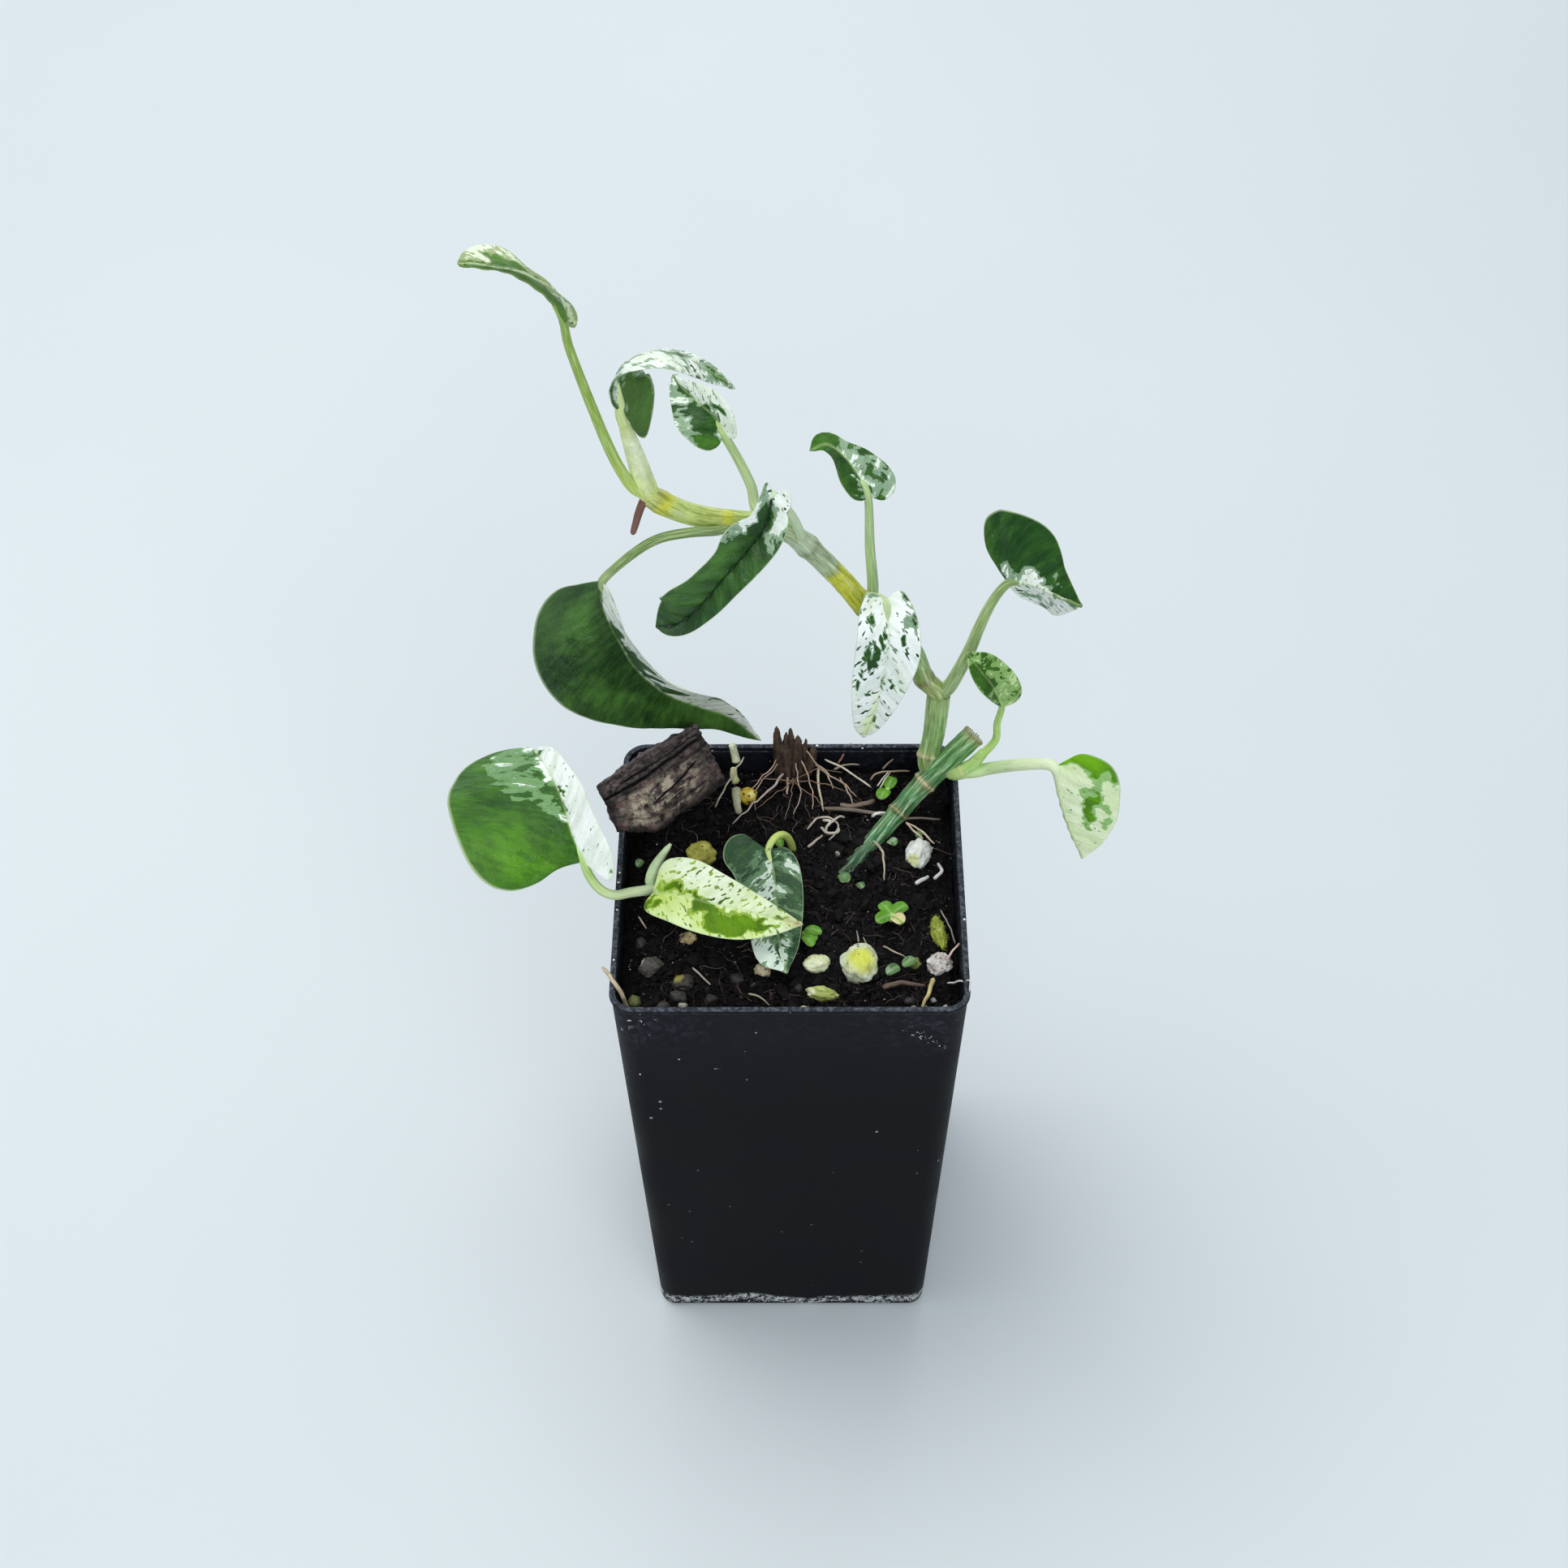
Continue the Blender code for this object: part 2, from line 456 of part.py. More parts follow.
def blade(name, leaf, rows=BLADE_ROWS, columns=BLADE_COLUMNS):
    """Closed leaf blade of even thickness, split into triangles alike on both faces."""
    curve = smooth_curve(leaf["rib"])
    distances = arc_lengths(curve)
    middle = np.linspace(0, 1, rows + 1) ** 1.15
    sheet = bmesh.new()
    spine = [sheet.verts.new(point_at(curve, distances, x)) for x in middle]
    for side, half in zip((1, -1), leaf["half"]):
        shaped = [(x * leaf.get("lobe", 1) if x < 0 else x, y) for x, y in half]
        margin = outline_rows(shaped, rows)
        width = leaf["width"][0 if side > 0 else 1]
        grid = []
        for i in range(rows + 1):
            line = [spine[i]]
            for j in range(1, columns + 1):
                share = j / columns
                x = middle[i] * (1 - share) + margin[i][0] * share
                y = margin[i][1] * width * share
                if i in (0, rows):
                    line.append(spine[i])
                else:
                    line.append(sheet.verts.new(blade_point(leaf, curve, distances, side, x, y)))
            grid.append(line)
        for i in range(rows):
            for j in range(columns):
                a, b, c, d = grid[i][j], grid[i + 1][j], grid[i + 1][j + 1], grid[i][j + 1]
                for corners in ((a, b, c), (a, c, d)):
                    if len(set(corners)) == 3:
                        sheet.faces.new(corners if side < 0 else corners[::-1])
    sheet.normal_update()
    sheet.verts.index_update()
    half_thick = BLADE_THICKNESS / 2
    count = len(sheet.verts)
    top = [vertex.co + vertex.normal * half_thick for vertex in sheet.verts]
    bottom = [vertex.co - vertex.normal * half_thick for vertex in sheet.verts]
    faces = []
    for face in sheet.faces:
        ids = [vertex.index for vertex in face.verts]
        faces.append(ids)
        faces.append([count + k for k in reversed(ids)])
        for loop in face.loops:
            if loop.edge.is_boundary:
                a, b = loop.vert.index, loop.link_loop_next.vert.index
                faces.append((b, a, count + a))
                faces.append((b, count + a, count + b))
    sheet.free()
    return make_object(name, top + bottom, faces)


def petiole(name, leaf, grow=0.0):
    """Leaf stalk that runs on under the first part of the midrib."""
    overlap = leaf.get("overlap", 3.5)
    first, last = leaf["diameter"]
    points = list(leaf["petiole"])
    stalk = arc_lengths(smooth_curve(points))[-1]
    profile = [(0, first), (1, last)]
    if overlap:
        curve = smooth_curve(leaf["rib"])
        distances = arc_lengths(curve)
        reach = overlap / distances[-1]
        ahead = direction_at(curve, distances, reach)
        under = blend(leaf["face"], reach)
        under = under - ahead * np.dot(under, ahead)
        under = under / np.linalg.norm(under)
        points.append(tuple(point_at(curve, distances, reach) - under * 0.25))
        profile = [(0, first), (round(stalk / (stalk + overlap), 4), last), (1, 0.9)]
    rings = max(5, int(stalk / 2.6))
    return tube(name, points, profile, sides=6, rings=rings, grow=grow)


def square_ring(half, corner, z, steps=5):
    """Rounded square, anticlockwise from above."""
    ring = []
    for quarter in range(4):
        turn = Matrix.Rotation(quarter * math.pi / 2, 3, "Z")
        for k in range(steps):
            angle = math.pi / 2 * k / (steps - 1)
            x = half - corner + corner * math.cos(angle)
            y = half - corner + corner * math.sin(angle)
            flat = turn @ Vector((x, y, 0))
            ring.append((flat.x, flat.y, z))
    return ring


def wall_half(z):
    """Outer half width of the tapered pot at a height."""
    base = BASE_WIDTH / 2
    top = RIM_WIDTH / 2 - LIP_STEP
    return base + (top - base) * z / POT_HEIGHT


def wall_corner(z):
    """Corner radius of the pot's outer wall at a height."""
    return FOOT_CORNER + (RIM_CORNER - FOOT_CORNER) * z / POT_HEIGHT


def build_pot():
    """Thin tapered square pot with a small lip, a rounded foot and four drain holes."""
    step = POT_HEIGHT - LIP_HEIGHT
    rim = RIM_WIDTH / 2
    levels = (28, 56, 84)
    outer = [(wall_half(0) - 0.9, 0, 2.4), (wall_half(0) - 0.25, 0.3, 2.9), (wall_half(1.2), 1.2, 3.2)]
    outer += [(wall_half(z), z, wall_corner(z)) for z in levels + (step,)]
    outer += [(rim, step + 0.25, RIM_CORNER + LIP_STEP), (rim, POT_HEIGHT - 0.2, RIM_CORNER + LIP_STEP)]
    outer += [(rim - 0.2, POT_HEIGHT, RIM_CORNER + 0.1), (rim - 0.9, POT_HEIGHT, RIM_CORNER - 0.6)]
    inner = [(wall_half(POT_HEIGHT) - WALL + 0.1, POT_HEIGHT - 0.3, RIM_CORNER - WALL + 0.1)]
    inner += [(wall_half(z) - WALL, z, wall_corner(z) - WALL) for z in levels[::-1] + (FLOOR,)]
    pot = loft("pot", [square_ring(half, corner, z) for half, z, corner in outer + inner])
    for x in (-DRAIN_OFFSET, DRAIN_OFFSET):
        for y in (-DRAIN_OFFSET, DRAIN_OFFSET):
            hole = tube("hole", [(x, y, -2), (x, y, FLOOR + 2)], [(0, DRAIN_HOLE), (1, DRAIN_HOLE)], 12, 1)
            boolean(pot, hole, "DIFFERENCE")
    return pot


def soil_height(x, y):
    """Lumpy soil surface, a little lower beside the wall."""
    edge = max(abs(x), abs(y)) / 30
    broad = noise.noise(Vector((x * 0.09, y * 0.09, 3.1)))
    fine = noise.noise(Vector((x * 0.31, y * 0.31, 8.4)))
    return SOIL_LEVEL + SOIL_ROUGHNESS * (broad * 1.1 + fine * 0.8) - 0.8 * edge ** 6


def build_soil():
    """Soil block that fills the pot, open only where stems, bark and stones stand in it."""
    level = SOIL_LEVEL - 1.2
    rings = []
    for z in (FLOOR + GAP, 28, 56, 84, level):
        rings.append(square_ring(wall_half(z) - WALL - GAP, wall_corner(z) - WALL - GAP / 2, z, 11))
    limit = wall_half(level) - WALL - GAP
    corner = wall_corner(level) - WALL - GAP / 2
    for share in (1, 0.96, 0.86, 0.74, 0.62, 0.5, 0.38, 0.26, 0.14, 0.05):
        ring = square_ring(limit * share, corner * share, 0, 11)
        rings.append([(x, y, soil_height(x, y)) for x, y, z in ring])
    return loft("soil", rings)


def build_stone(name, row, grow=0.0):
    """Rounded lump that sits about a third deep in the soil."""
    x, y, a, b, c, turn = row
    solid = bmesh.new()
    bmesh.ops.create_icosphere(solid, subdivisions=2, radius=1)
    seed = a * 7.3 + x
    for vertex in solid.verts:
        wobble = noise.noise(vertex.co * 1.6 + Vector((seed, y, 0)))
        scale = 1 + 0.22 * wobble
        direction = vertex.co.normalized()
        vertex.co = Vector((direction.x * a, direction.y * b, direction.z * c)) * scale + direction * grow
    place = Matrix.Translation((x, y, soil_height(x, y) + c * 0.35))
    solid.transform(place @ Matrix.Rotation(math.radians(turn), 4, "Z"))
    mesh = bpy.data.meshes.new(name)
    solid.to_mesh(mesh)
    solid.free()
    stone = bpy.data.objects.new(name, mesh)
    bpy.context.scene.collection.objects.link(stone)
    return stone


def build_bark_chunk():
    """Slab of layered bark that leans over the back left of the rim."""
    upper = [(-36, 17, 113), (-28, 20.5, 117.5), (-17.5, 24, 123)]
    lower = [(-32, 8.8, 109.9), (-25, 13.6, 103.6), (-12.2, 25.6, 104.4)]
    depth = [(-0.6, 3, -2.6), (-0.4, 4.4, -3), (0, 2.4, -2.4)]
    columns, rows = 10, 6
    normal = Vector((0.14, -0.84, 0.53))
    sheets = []
    for layer in (0, 1):
        sheet = []
        for i in range(columns + 1):
            u = i / columns
            high = blend(upper, u)
            low = blend(lower, u)
            back = blend(depth, u)
            for j in range(rows + 1):
                v = j / rows
                place = Vector(high * (1 - v) + low * v + back * layer * (0.55 + 0.45 * v))
                rough = noise.noise(place * 0.42) * 0.7 + noise.noise(Vector((u * 2, v * 9, 5))) * 0.9
                ledge = 0.8 * math.sin(v * 9.5 + u * 1.8)
                place += normal * ((rough + ledge * 0.7) * (1 if layer == 0 else 0.3))
                if i in (0, columns) or j in (0, rows):
                    place += Vector((noise.noise(place * 0.9), 0, noise.noise(place * 0.7 + normal))) * 0.7
                sheet.append(place)
        sheets.append(sheet)
    stride = rows + 1
    total = len(sheets[0])
    faces = []
    for i in range(columns):
        for j in range(rows):
            a = i * stride + j
            b, c, d = a + 1, a + stride + 1, a + stride
            faces += [(a, b, c), (a, c, d)]
            faces += [(total + a, total + c, total + b), (total + a, total + d, total + c)]
    border = [i * stride for i in range(columns, 0, -1)] + list(range(rows))
    border += [i * stride + rows for i in range(columns)]
    border += [columns * stride + j for j in range(rows, 0, -1)]
    for k, a in enumerate(border):
        b = border[(k + 1) % len(border)]
        faces += [(b, a, total + a), (b, total + a, total + b)]
    return make_object("bark_chunk", sheets[0] + sheets[1], faces)


def build_bark_stub(grow=0.0):
    """Upright splinters of old bark at the back wall."""
    stub = tube("bark_stub", [(-0.6, 27.9, 100), (-1, 28, 108), (-1.4, 28.6, 117)],
                [(0, 3.8), (0.4, 3.4), (0.8, 3), (1, 1.8)], sides=7, rings=6, grow=grow)
    splinters = [
        ([(1.4, 27.7, 100), (1.3, 28, 109), (1.2, 28.7, 116.4)], [(0, 3), (0.6, 2.4), (1, 1.2)]),
        ([(1, 27.8, 101), (3.6, 28, 107), (4.6, 28.6, 113.6)], [(0, 2.2), (0.6, 2.4), (1, 1.4)]),
    ]
    for points, profile in splinters:
        boolean(stub, tube("splinter", points, profile, sides=6, rings=5, grow=grow), "UNION")
    return stub


def build_roots(grow=0.0):
    """Pale roots fanning out from the stub's foot as one body."""
    x, y, z = ROOT_HUB
    foot = [(x, y + 0.6, z - 4), (x, y + 0.3, z - 1), (x, y, z + 0.5)]
    fan = tube("fan_roots", foot, [(0, 1.2), (1, 1.1)], sides=6, rings=3, grow=grow)
    for ends in ROOT_ENDS:
        root = tube("root", [ROOT_HUB] + ends, [(0, 0.9), (1, 0.6)], sides=5, rings=5, grow=grow)
        boolean(fan, root, "UNION")
    return fan


def build_seedling(name, centre, leaflets, grow=0.0):
    """Tiny seedling with flat leaflets round a short stem."""
    x, y = centre
    ground = soil_height(x, y)
    upright = [(x, y, ground - 1.6), (x, y, ground + 2)]
    plant = tube(name, upright, [(0, 1), (1, 0.9)], sides=6, rings=2, grow=grow)
    if grow:
        return plant
    for angle, length in leaflets:
        turn = math.radians(angle)
        along = Vector((math.cos(turn), math.sin(turn), 0))
        root = Vector((x, y, ground + 1.7)) + along * 0.1
        tip = root + along * length + Vector((0, 0, 0.5))
        middle = (root + tip) / 2 + Vector((0, 0, 0.5))
        leaflet = {"rib": [tuple(root), tuple(middle), tuple(tip)], "face": [(0, 0, 1)], "width": (1.3, 1.3),
                   "fold": [(12, 12), (12, 12)], "curl": [(0, 0), (0, 0)], "half": (OVAL, OVAL)}
        boolean(plant, blade("leaflet", leaflet, 5, 1), "UNION")
    return plant


def finish(item, colour, roughness, parent):
    """Scale to metres, shade, and give the piece its own material."""
    item.data.transform(Matrix.Scale(MM, 4))
    item.data.materials.clear()
    material = bpy.data.materials.new(item.name)
    material.use_nodes = True
    shader = material.node_tree.nodes["Principled BSDF"]
    shader.inputs["Base Color"].default_value = (*colour, 1)
    shader.inputs["Roughness"].default_value = roughness
    item.data.materials.append(material)
    item.data.shade_smooth()
    item.data.set_sharp_from_angle(angle=math.radians(50))
    item.parent = parent


def stem(name, row, rib=0.0, grow=0.0):
    """Tube from one of the stem tables."""
    return tube(name, row["points"], row["profile"], row["sides"], row["rings"], rib, grow)


def straw(name, row, grow=0.0):
    """Tube from the table of thin dry pieces."""
    points, (first, last) = row
    return tube(name, points, [(0, first), (1, last)], sides=5, rings=7, grow=grow)


def main():
    clear_scene()
    plant = bpy.data.objects.new("potted_pothos_plant", None)
    bpy.context.scene.collection.objects.link(plant)

    pot = build_pot()
    soil = build_soil()
    chunk = build_bark_chunk()
    chunk_room = enlarged(chunk, GAP + 0.05)
    boolean(chunk, enlarged(pot), "DIFFERENCE")
    stub = build_bark_stub()
    fan = build_roots()
    boolean(fan, build_bark_stub(grow=GAP), "DIFFERENCE")

    old_stem = stem("old_stem", OLD_STEM, rib=0.035)
    vine = stem("climbing_vine", VINE)
    boolean(vine, stem("shoot", SHOOT), "UNION")
    boolean(vine, stem("sheath", SHEATH), "UNION")
    boolean(vine, stem("cutter", OLD_STEM, grow=GAP + 0.1), "DIFFERENCE")
    cutting = stem("rooted_cutting", CUTTING)
    boolean(cutting, stem("stipule", STIPULE), "UNION")
    young = stem("young_shoot", YOUNG_SHOOT)
    boolean(young, stem("cutter", OLD_STEM, grow=GAP + 0.1), "DIFFERENCE")
    aerial = stem("aerial_root", AERIAL_ROOT)
    boolean(aerial, stem("cutter", VINE, grow=GAP), "DIFFERENCE")
    boolean(aerial, stem("cutter", SHEATH, grow=GAP), "DIFFERENCE")

    carriers = {"climbing_vine": (VINE, SHOOT, SHEATH), "young_shoot": (YOUNG_SHOOT,),
                "rooted_cutting": (CUTTING, STIPULE), None: ()}
    for name, leaf in LEAVES.items():
        item = blade(name, leaf, leaf.get("rows", BLADE_ROWS))
        boolean(item, petiole("petiole", leaf), "UNION")
        for row in carriers[leaf["carrier"]]:
            boolean(item, stem("cutter", row, grow=GAP + 0.1), "DIFFERENCE")
        finish(item, COLOURS[leaf["hue"]], 0.4, plant)

    for row in (OLD_STEM, CUTTING):
        boolean(soil, stem("cutter", row, grow=GAP + 0.1), "DIFFERENCE")
    boolean(soil, petiole("cutter", LEAVES["leaf_low"], grow=GAP), "DIFFERENCE")
    boolean(soil, chunk_room, "DIFFERENCE")
    boolean(soil, build_bark_stub(grow=GAP), "DIFFERENCE")
    boolean(soil, build_roots(grow=GAP), "DIFFERENCE")

    for name, row in STONES.items():
        stone = build_stone(name, row)
        boolean(soil, build_stone("cutter", row, grow=GAP + 0.05), "DIFFERENCE")
        hue = "yellow" if name in ("stone_hooked", "moss_tuft", "moss_streak") else "stone"
        finish(stone, COLOURS[hue], 0.85, plant)
    for name, row in FIBRES.items():
        fibre = straw(name, row)
        boolean(soil, straw("cutter", row, grow=GAP), "DIFFERENCE")
        finish(fibre, COLOURS["straw"], 0.7, plant)
    for name, (centre, leaflets) in SEEDLINGS.items():
        seedling = build_seedling(name, centre, leaflets)
        boolean(soil, build_seedling("cutter", centre, leaflets, grow=GAP), "DIFFERENCE")
        finish(seedling, COLOURS["green"], 0.5, plant)

    finish(pot, COLOURS["plastic"], 0.42, plant)
    finish(soil, COLOURS["soil"], 0.95, plant)
    finish(chunk, COLOURS["bark"], 0.9, plant)
    finish(stub, COLOURS["bark"], 0.9, plant)
    finish(fan, COLOURS["root"], 0.7, plant)
    finish(old_stem, COLOURS["stem"], 0.5, plant)
    finish(vine, COLOURS["vine"], 0.45, plant)
    finish(cutting, COLOURS["stem"], 0.5, plant)
    finish(young, COLOURS["vine"], 0.45, plant)
    finish(aerial, COLOURS["brown"], 0.7, plant)


main()
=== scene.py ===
import math

import bmesh
import bpy
import numpy as np
from mathutils import Matrix, Vector, noise


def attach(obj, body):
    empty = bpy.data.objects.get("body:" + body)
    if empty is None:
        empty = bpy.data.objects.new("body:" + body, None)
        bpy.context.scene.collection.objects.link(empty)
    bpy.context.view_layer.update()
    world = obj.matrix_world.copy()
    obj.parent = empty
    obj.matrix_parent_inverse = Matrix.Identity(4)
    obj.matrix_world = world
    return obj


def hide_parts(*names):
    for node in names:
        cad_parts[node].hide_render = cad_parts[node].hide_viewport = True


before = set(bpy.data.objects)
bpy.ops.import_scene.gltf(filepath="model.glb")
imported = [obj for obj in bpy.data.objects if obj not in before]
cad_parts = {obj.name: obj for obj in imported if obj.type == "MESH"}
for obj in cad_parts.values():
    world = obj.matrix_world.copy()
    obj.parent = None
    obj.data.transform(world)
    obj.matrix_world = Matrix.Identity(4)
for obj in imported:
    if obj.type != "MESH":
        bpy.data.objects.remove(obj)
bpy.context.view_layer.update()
mm = 0.001                    # pieces are modelled in millimetres and scaled when they are placed
body = "root"
noise.seed_set(3)             # without it leaf patches and thin roots bend anew in every run


# ---- curves and small sums ----

def smoothCurve(points, steps=12):
    points = np.array(points, float)
    padded = np.vstack([2 * points[0] - points[1], points, 2 * points[-1] - points[-2]])
    curve = []
    for i in range(1, len(padded) - 2):
        a, b, c, d = padded[i - 1:i + 3]
        for k in range(steps):
            t = k / steps
            curve.append(0.5 * (2 * b + (c - a) * t + (2 * a - 5 * b + 4 * c - d) * t * t
                                + (3 * b - a - 3 * c + d) * t ** 3))
    curve.append(points[-1])
    return np.array(curve)


def unit(vector):
    return vector / np.linalg.norm(vector)


def between(values, knots, spot):
    # each column of values, read at one spot between its knots
    return np.array([np.interp(spot, knots, column) for column in np.asarray(values, float).T])


class Path:
    # a smooth curve through points, read at a fraction of its length
    def __init__(self, points, steps=12, weights=1):
        self.curve = smoothCurve(points, steps)
        gaps = np.linalg.norm(np.diff(self.curve * weights, axis=0), axis=1)
        self.distances = np.r_[0, np.cumsum(gaps)]
        self.length = self.distances[-1]

    def at(self, fraction):
        return between(self.curve, self.distances, fraction * self.length)

    def direction(self, fraction):
        gap = 0.02
        return unit(self.at(min(fraction + gap, 1)) - self.at(max(fraction - gap, 0)))


class Track:
    # evenly spaced numbers or vectors, read smoothly at a fraction
    def __init__(self, values):
        values = np.array(values, float)
        self.flat = values.ndim == 1
        values = values.reshape(len(values), -1)
        if len(values) == 1:
            values = np.vstack([values, values])
        self.curve = smoothCurve(values, 16) if len(values) > 2 else values
        self.knots = np.linspace(0, 1, len(self.curve))

    def at(self, fraction):
        found = between(self.curve, self.knots, fraction)
        return found[0] if self.flat else found


def table(rows, fraction):
    # rows of (fraction, value or colour), read between its neighbours
    knots = [row[0] for row in rows]
    values = np.array([row[1] for row in rows], float)
    if values.ndim == 1:
        return float(np.interp(fraction, knots, values))
    return tuple(float(value) for value in between(values, knots, fraction))


# ---- meshes ----

def addObject(name, data):
    item = bpy.data.objects.new(name, data)
    bpy.context.scene.collection.objects.link(item)
    return item


def meshObject(name, points, faces, edges=()):
    mesh = bpy.data.meshes.new(name)
    mesh.from_pydata([tuple(float(v) for v in point) for point in points], list(edges), list(faces))
    return addObject(name, mesh)


def gridFaces(columns, rows, start=0):
    stride = rows + 1
    corners = [start + i * stride + j for i in range(columns) for j in range(rows)]
    return [(a, a + stride, a + stride + 1, a + 1) for a in corners]


def gridBorder(columns, rows):
    # pairs of neighbours round the edge of a grid
    stride = rows + 1
    ring = [i * stride for i in range(columns)] + [columns * stride + j for j in range(rows)]
    ring += [i * stride + rows for i in range(columns, 0, -1)] + list(range(rows, 0, -1))
    return list(zip(ring, ring[1:] + ring[:1]))


def writeValues(mesh, name, values, kind="FLOAT"):
    layer = mesh.attributes.new(name, kind, "POINT")
    field = {"FLOAT": "value", "FLOAT_VECTOR": "vector", "FLOAT_COLOR": "color"}[kind]
    layer.data.foreach_set(field, np.array(values, np.float32).ravel())


def joinPieces(name, items):
    first = items[0]
    if len(items) > 1:
        with bpy.context.temp_override(active_object=first, object=first, selected_objects=items,
                                       selected_editable_objects=items):
            bpy.ops.object.join()
    first.name = name
    return first


def subtract(target, tool):
    cut = target.modifiers.new("cut", "BOOLEAN")
    cut.operation, cut.solver, cut.object = "DIFFERENCE", "EXACT", tool
    graph = bpy.context.evaluated_depsgraph_get()
    result = bpy.data.meshes.new_from_object(target.evaluated_get(graph))
    target.modifiers.clear()
    target.data = result
    bpy.data.objects.remove(tool, do_unlink=True)


def place(item, nodes, slot, name):
    # scale to metres, put on the body, and stand in for the plain solids
    item.data.transform(Matrix.Scale(mm, 4))
    item.name = name
    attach(item, body)
    for node in nodes:
        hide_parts(node)


# ---- node helpers ----

def fill(node, values):
    # links sockets into a node and sets its plain values; a colour may leave out its alpha
    for key, value in values.items():
        socket = node.inputs[key]
        if isinstance(value, bpy.types.NodeSocket):
            node.id_data.links.new(value, socket)
        else:
            socket.default_value = (*value[:3], 1) if socket.type == "RGBA" else value


def addNode(tree, kind, values=None, **settings):
    node = tree.nodes.new(kind)
    for key, value in settings.items():
        setattr(node, key, value)
    fill(node, values or {})
    return node


def calc(operation, a, b=0.0, clamp=False):
    tree = (a if isinstance(a, bpy.types.NodeSocket) else b).id_data
    return addNode(tree, "ShaderNodeMath", {0: a, 1: b}, operation=operation, use_clamp=clamp).outputs[0]


def plus(a, b, clamp=False):
    return calc("ADD", a, b, clamp)


def minus(a, b, clamp=False):
    return calc("SUBTRACT", a, b, clamp)


def times(a, *factors):
    for factor in factors:
        a = calc("MULTIPLY", a, factor)
    return a


def vectorCalc(operation, a, b):
    node = addNode(a.id_data, "ShaderNodeVectorMath", {0: a, 1: b}, operation=operation)
    return node.outputs[1 if operation == "DISTANCE" else 0]


def scaled(vector, factor):
    values = {0: vector, "Scale": factor}
    return addNode(vector.id_data, "ShaderNodeVectorMath", values, operation="SCALE").outputs[0]


def combine(tree, x, y, z):
    return addNode(tree, "ShaderNodeCombineXYZ", {0: x, 1: y, 2: z}).outputs[0]


def step(value, low, high, toLow=0.0, toHigh=1.0, kind="SMOOTHSTEP"):
    return addNode(value.id_data, "ShaderNodeMapRange", {0: value, 1: low, 2: high, 3: toLow, 4: toHigh},
                   interpolation_type=kind, clamp=True).outputs[0]


def mixColour(factor, a, b, blend="MIX"):
    values = {0: factor, 6: a, 7: b}
    return addNode(factor.id_data, "ShaderNodeMix", values, data_type="RGBA", blend_type=blend).outputs[2]


def noiseAt(place, scale, detail=2.0, roughness=0.5, distortion=0.0, output="Fac"):
    values = {"Vector": place, "Scale": scale, "Detail": detail, "Roughness": roughness,
              "Distortion": distortion}
    return addNode(place.id_data, "ShaderNodeTexNoise", values).outputs[output]


def cellsAt(place, scale):
    return addNode(place.id_data, "ShaderNodeTexVoronoi", {"Vector": place, "Scale": scale}).outputs


def socketKind(value):
    # a word names the kind itself, and any other value shows it
    if isinstance(value, str):
        return value
    if isinstance(value, tuple):
        return "Color" if len(value) == 4 else "Vector"
    return "Int" if isinstance(value, int) else "Float"


def groupTree(name, inputs, outputs, kind="ShaderNodeTree"):
    tree = bpy.data.node_groups.new(name, kind)
    for label, value in inputs.items():
        word = "NodeSocket" + socketKind(value)
        socket = tree.interface.new_socket(label, in_out="INPUT", socket_type=word)
        if not isinstance(value, str):
            socket.default_value = value
    for label, word in outputs.items():
        tree.interface.new_socket(label, in_out="OUTPUT", socket_type="NodeSocket" + word)
    return tree, tree.nodes.new("NodeGroupInput").outputs, tree.nodes.new("NodeGroupOutput")


def useGroup(tree, group, values):
    return addNode(tree, "ShaderNodeGroup", values, node_tree=group).outputs


def applyTree(item, tree, values):
    modifier = item.modifiers.new(tree.name, "NODES")
    modifier.node_group = tree
    for socket in tree.interface.items_tree:
        if socket.item_type == "SOCKET" and socket.in_out == "INPUT" and socket.name in values:
            modifier[socket.identifier] = values[socket.name]
    graph = bpy.context.evaluated_depsgraph_get()
    mesh = bpy.data.meshes.new_from_object(item.evaluated_get(graph))
    item.modifiers.remove(modifier)
    item.data = mesh
    return item


def makeMaterial(name):
    # where is the place on the piece in millimetres
    material = bpy.data.materials.new(name)
    material.use_nodes = True
    tree = material.node_tree
    where = scaled(addNode(tree, "ShaderNodeTexCoord").outputs["Object"], 1 / mm)
    return material, tree, tree.nodes["Principled BSDF"], where


def attribute(tree, name, output="Fac"):
    return addNode(tree, "ShaderNodeAttribute", attribute_name=name).outputs[output]


def bump(shader, height, strength, distance):
    values = {"Height": height, "Strength": strength, "Distance": distance}
    fill(shader, {"Normal": addNode(shader.id_data, "ShaderNodeBump", values).outputs["Normal"]})


# ---- camera, floor and light ----

view = {
    "lens": 55.9, "sensor": 36.0,
    "place": (2.0, -284.5, 452.0),          # millimetres
    "pitch": 48.28, "yaw": -0.59, "roll": -0.54,
    "floorHalf": 3.0,                       # metres
    "floorColours": ((0.62, 0.67, 0.695), (0.64, 0.69, 0.71)),
    "air": (0.86, 0.93, 1.0), "airStrength": 0.5,
    "aim": (0, 0, 0.12),
}
lamps = {
    # place in metres, size, power, colour
    "key": ((-0.35, 0.25, 1.1), 0.9, 8.6, (1.0, 0.99, 0.97)),
    "fill": ((0.2, -1.0, 0.75), 1.0, 6.5, (0.93, 0.97, 1.0)),
    "back": ((0.1, 1.1, 0.5), 0.7, 2.5, (0.95, 0.98, 1.0)),
}


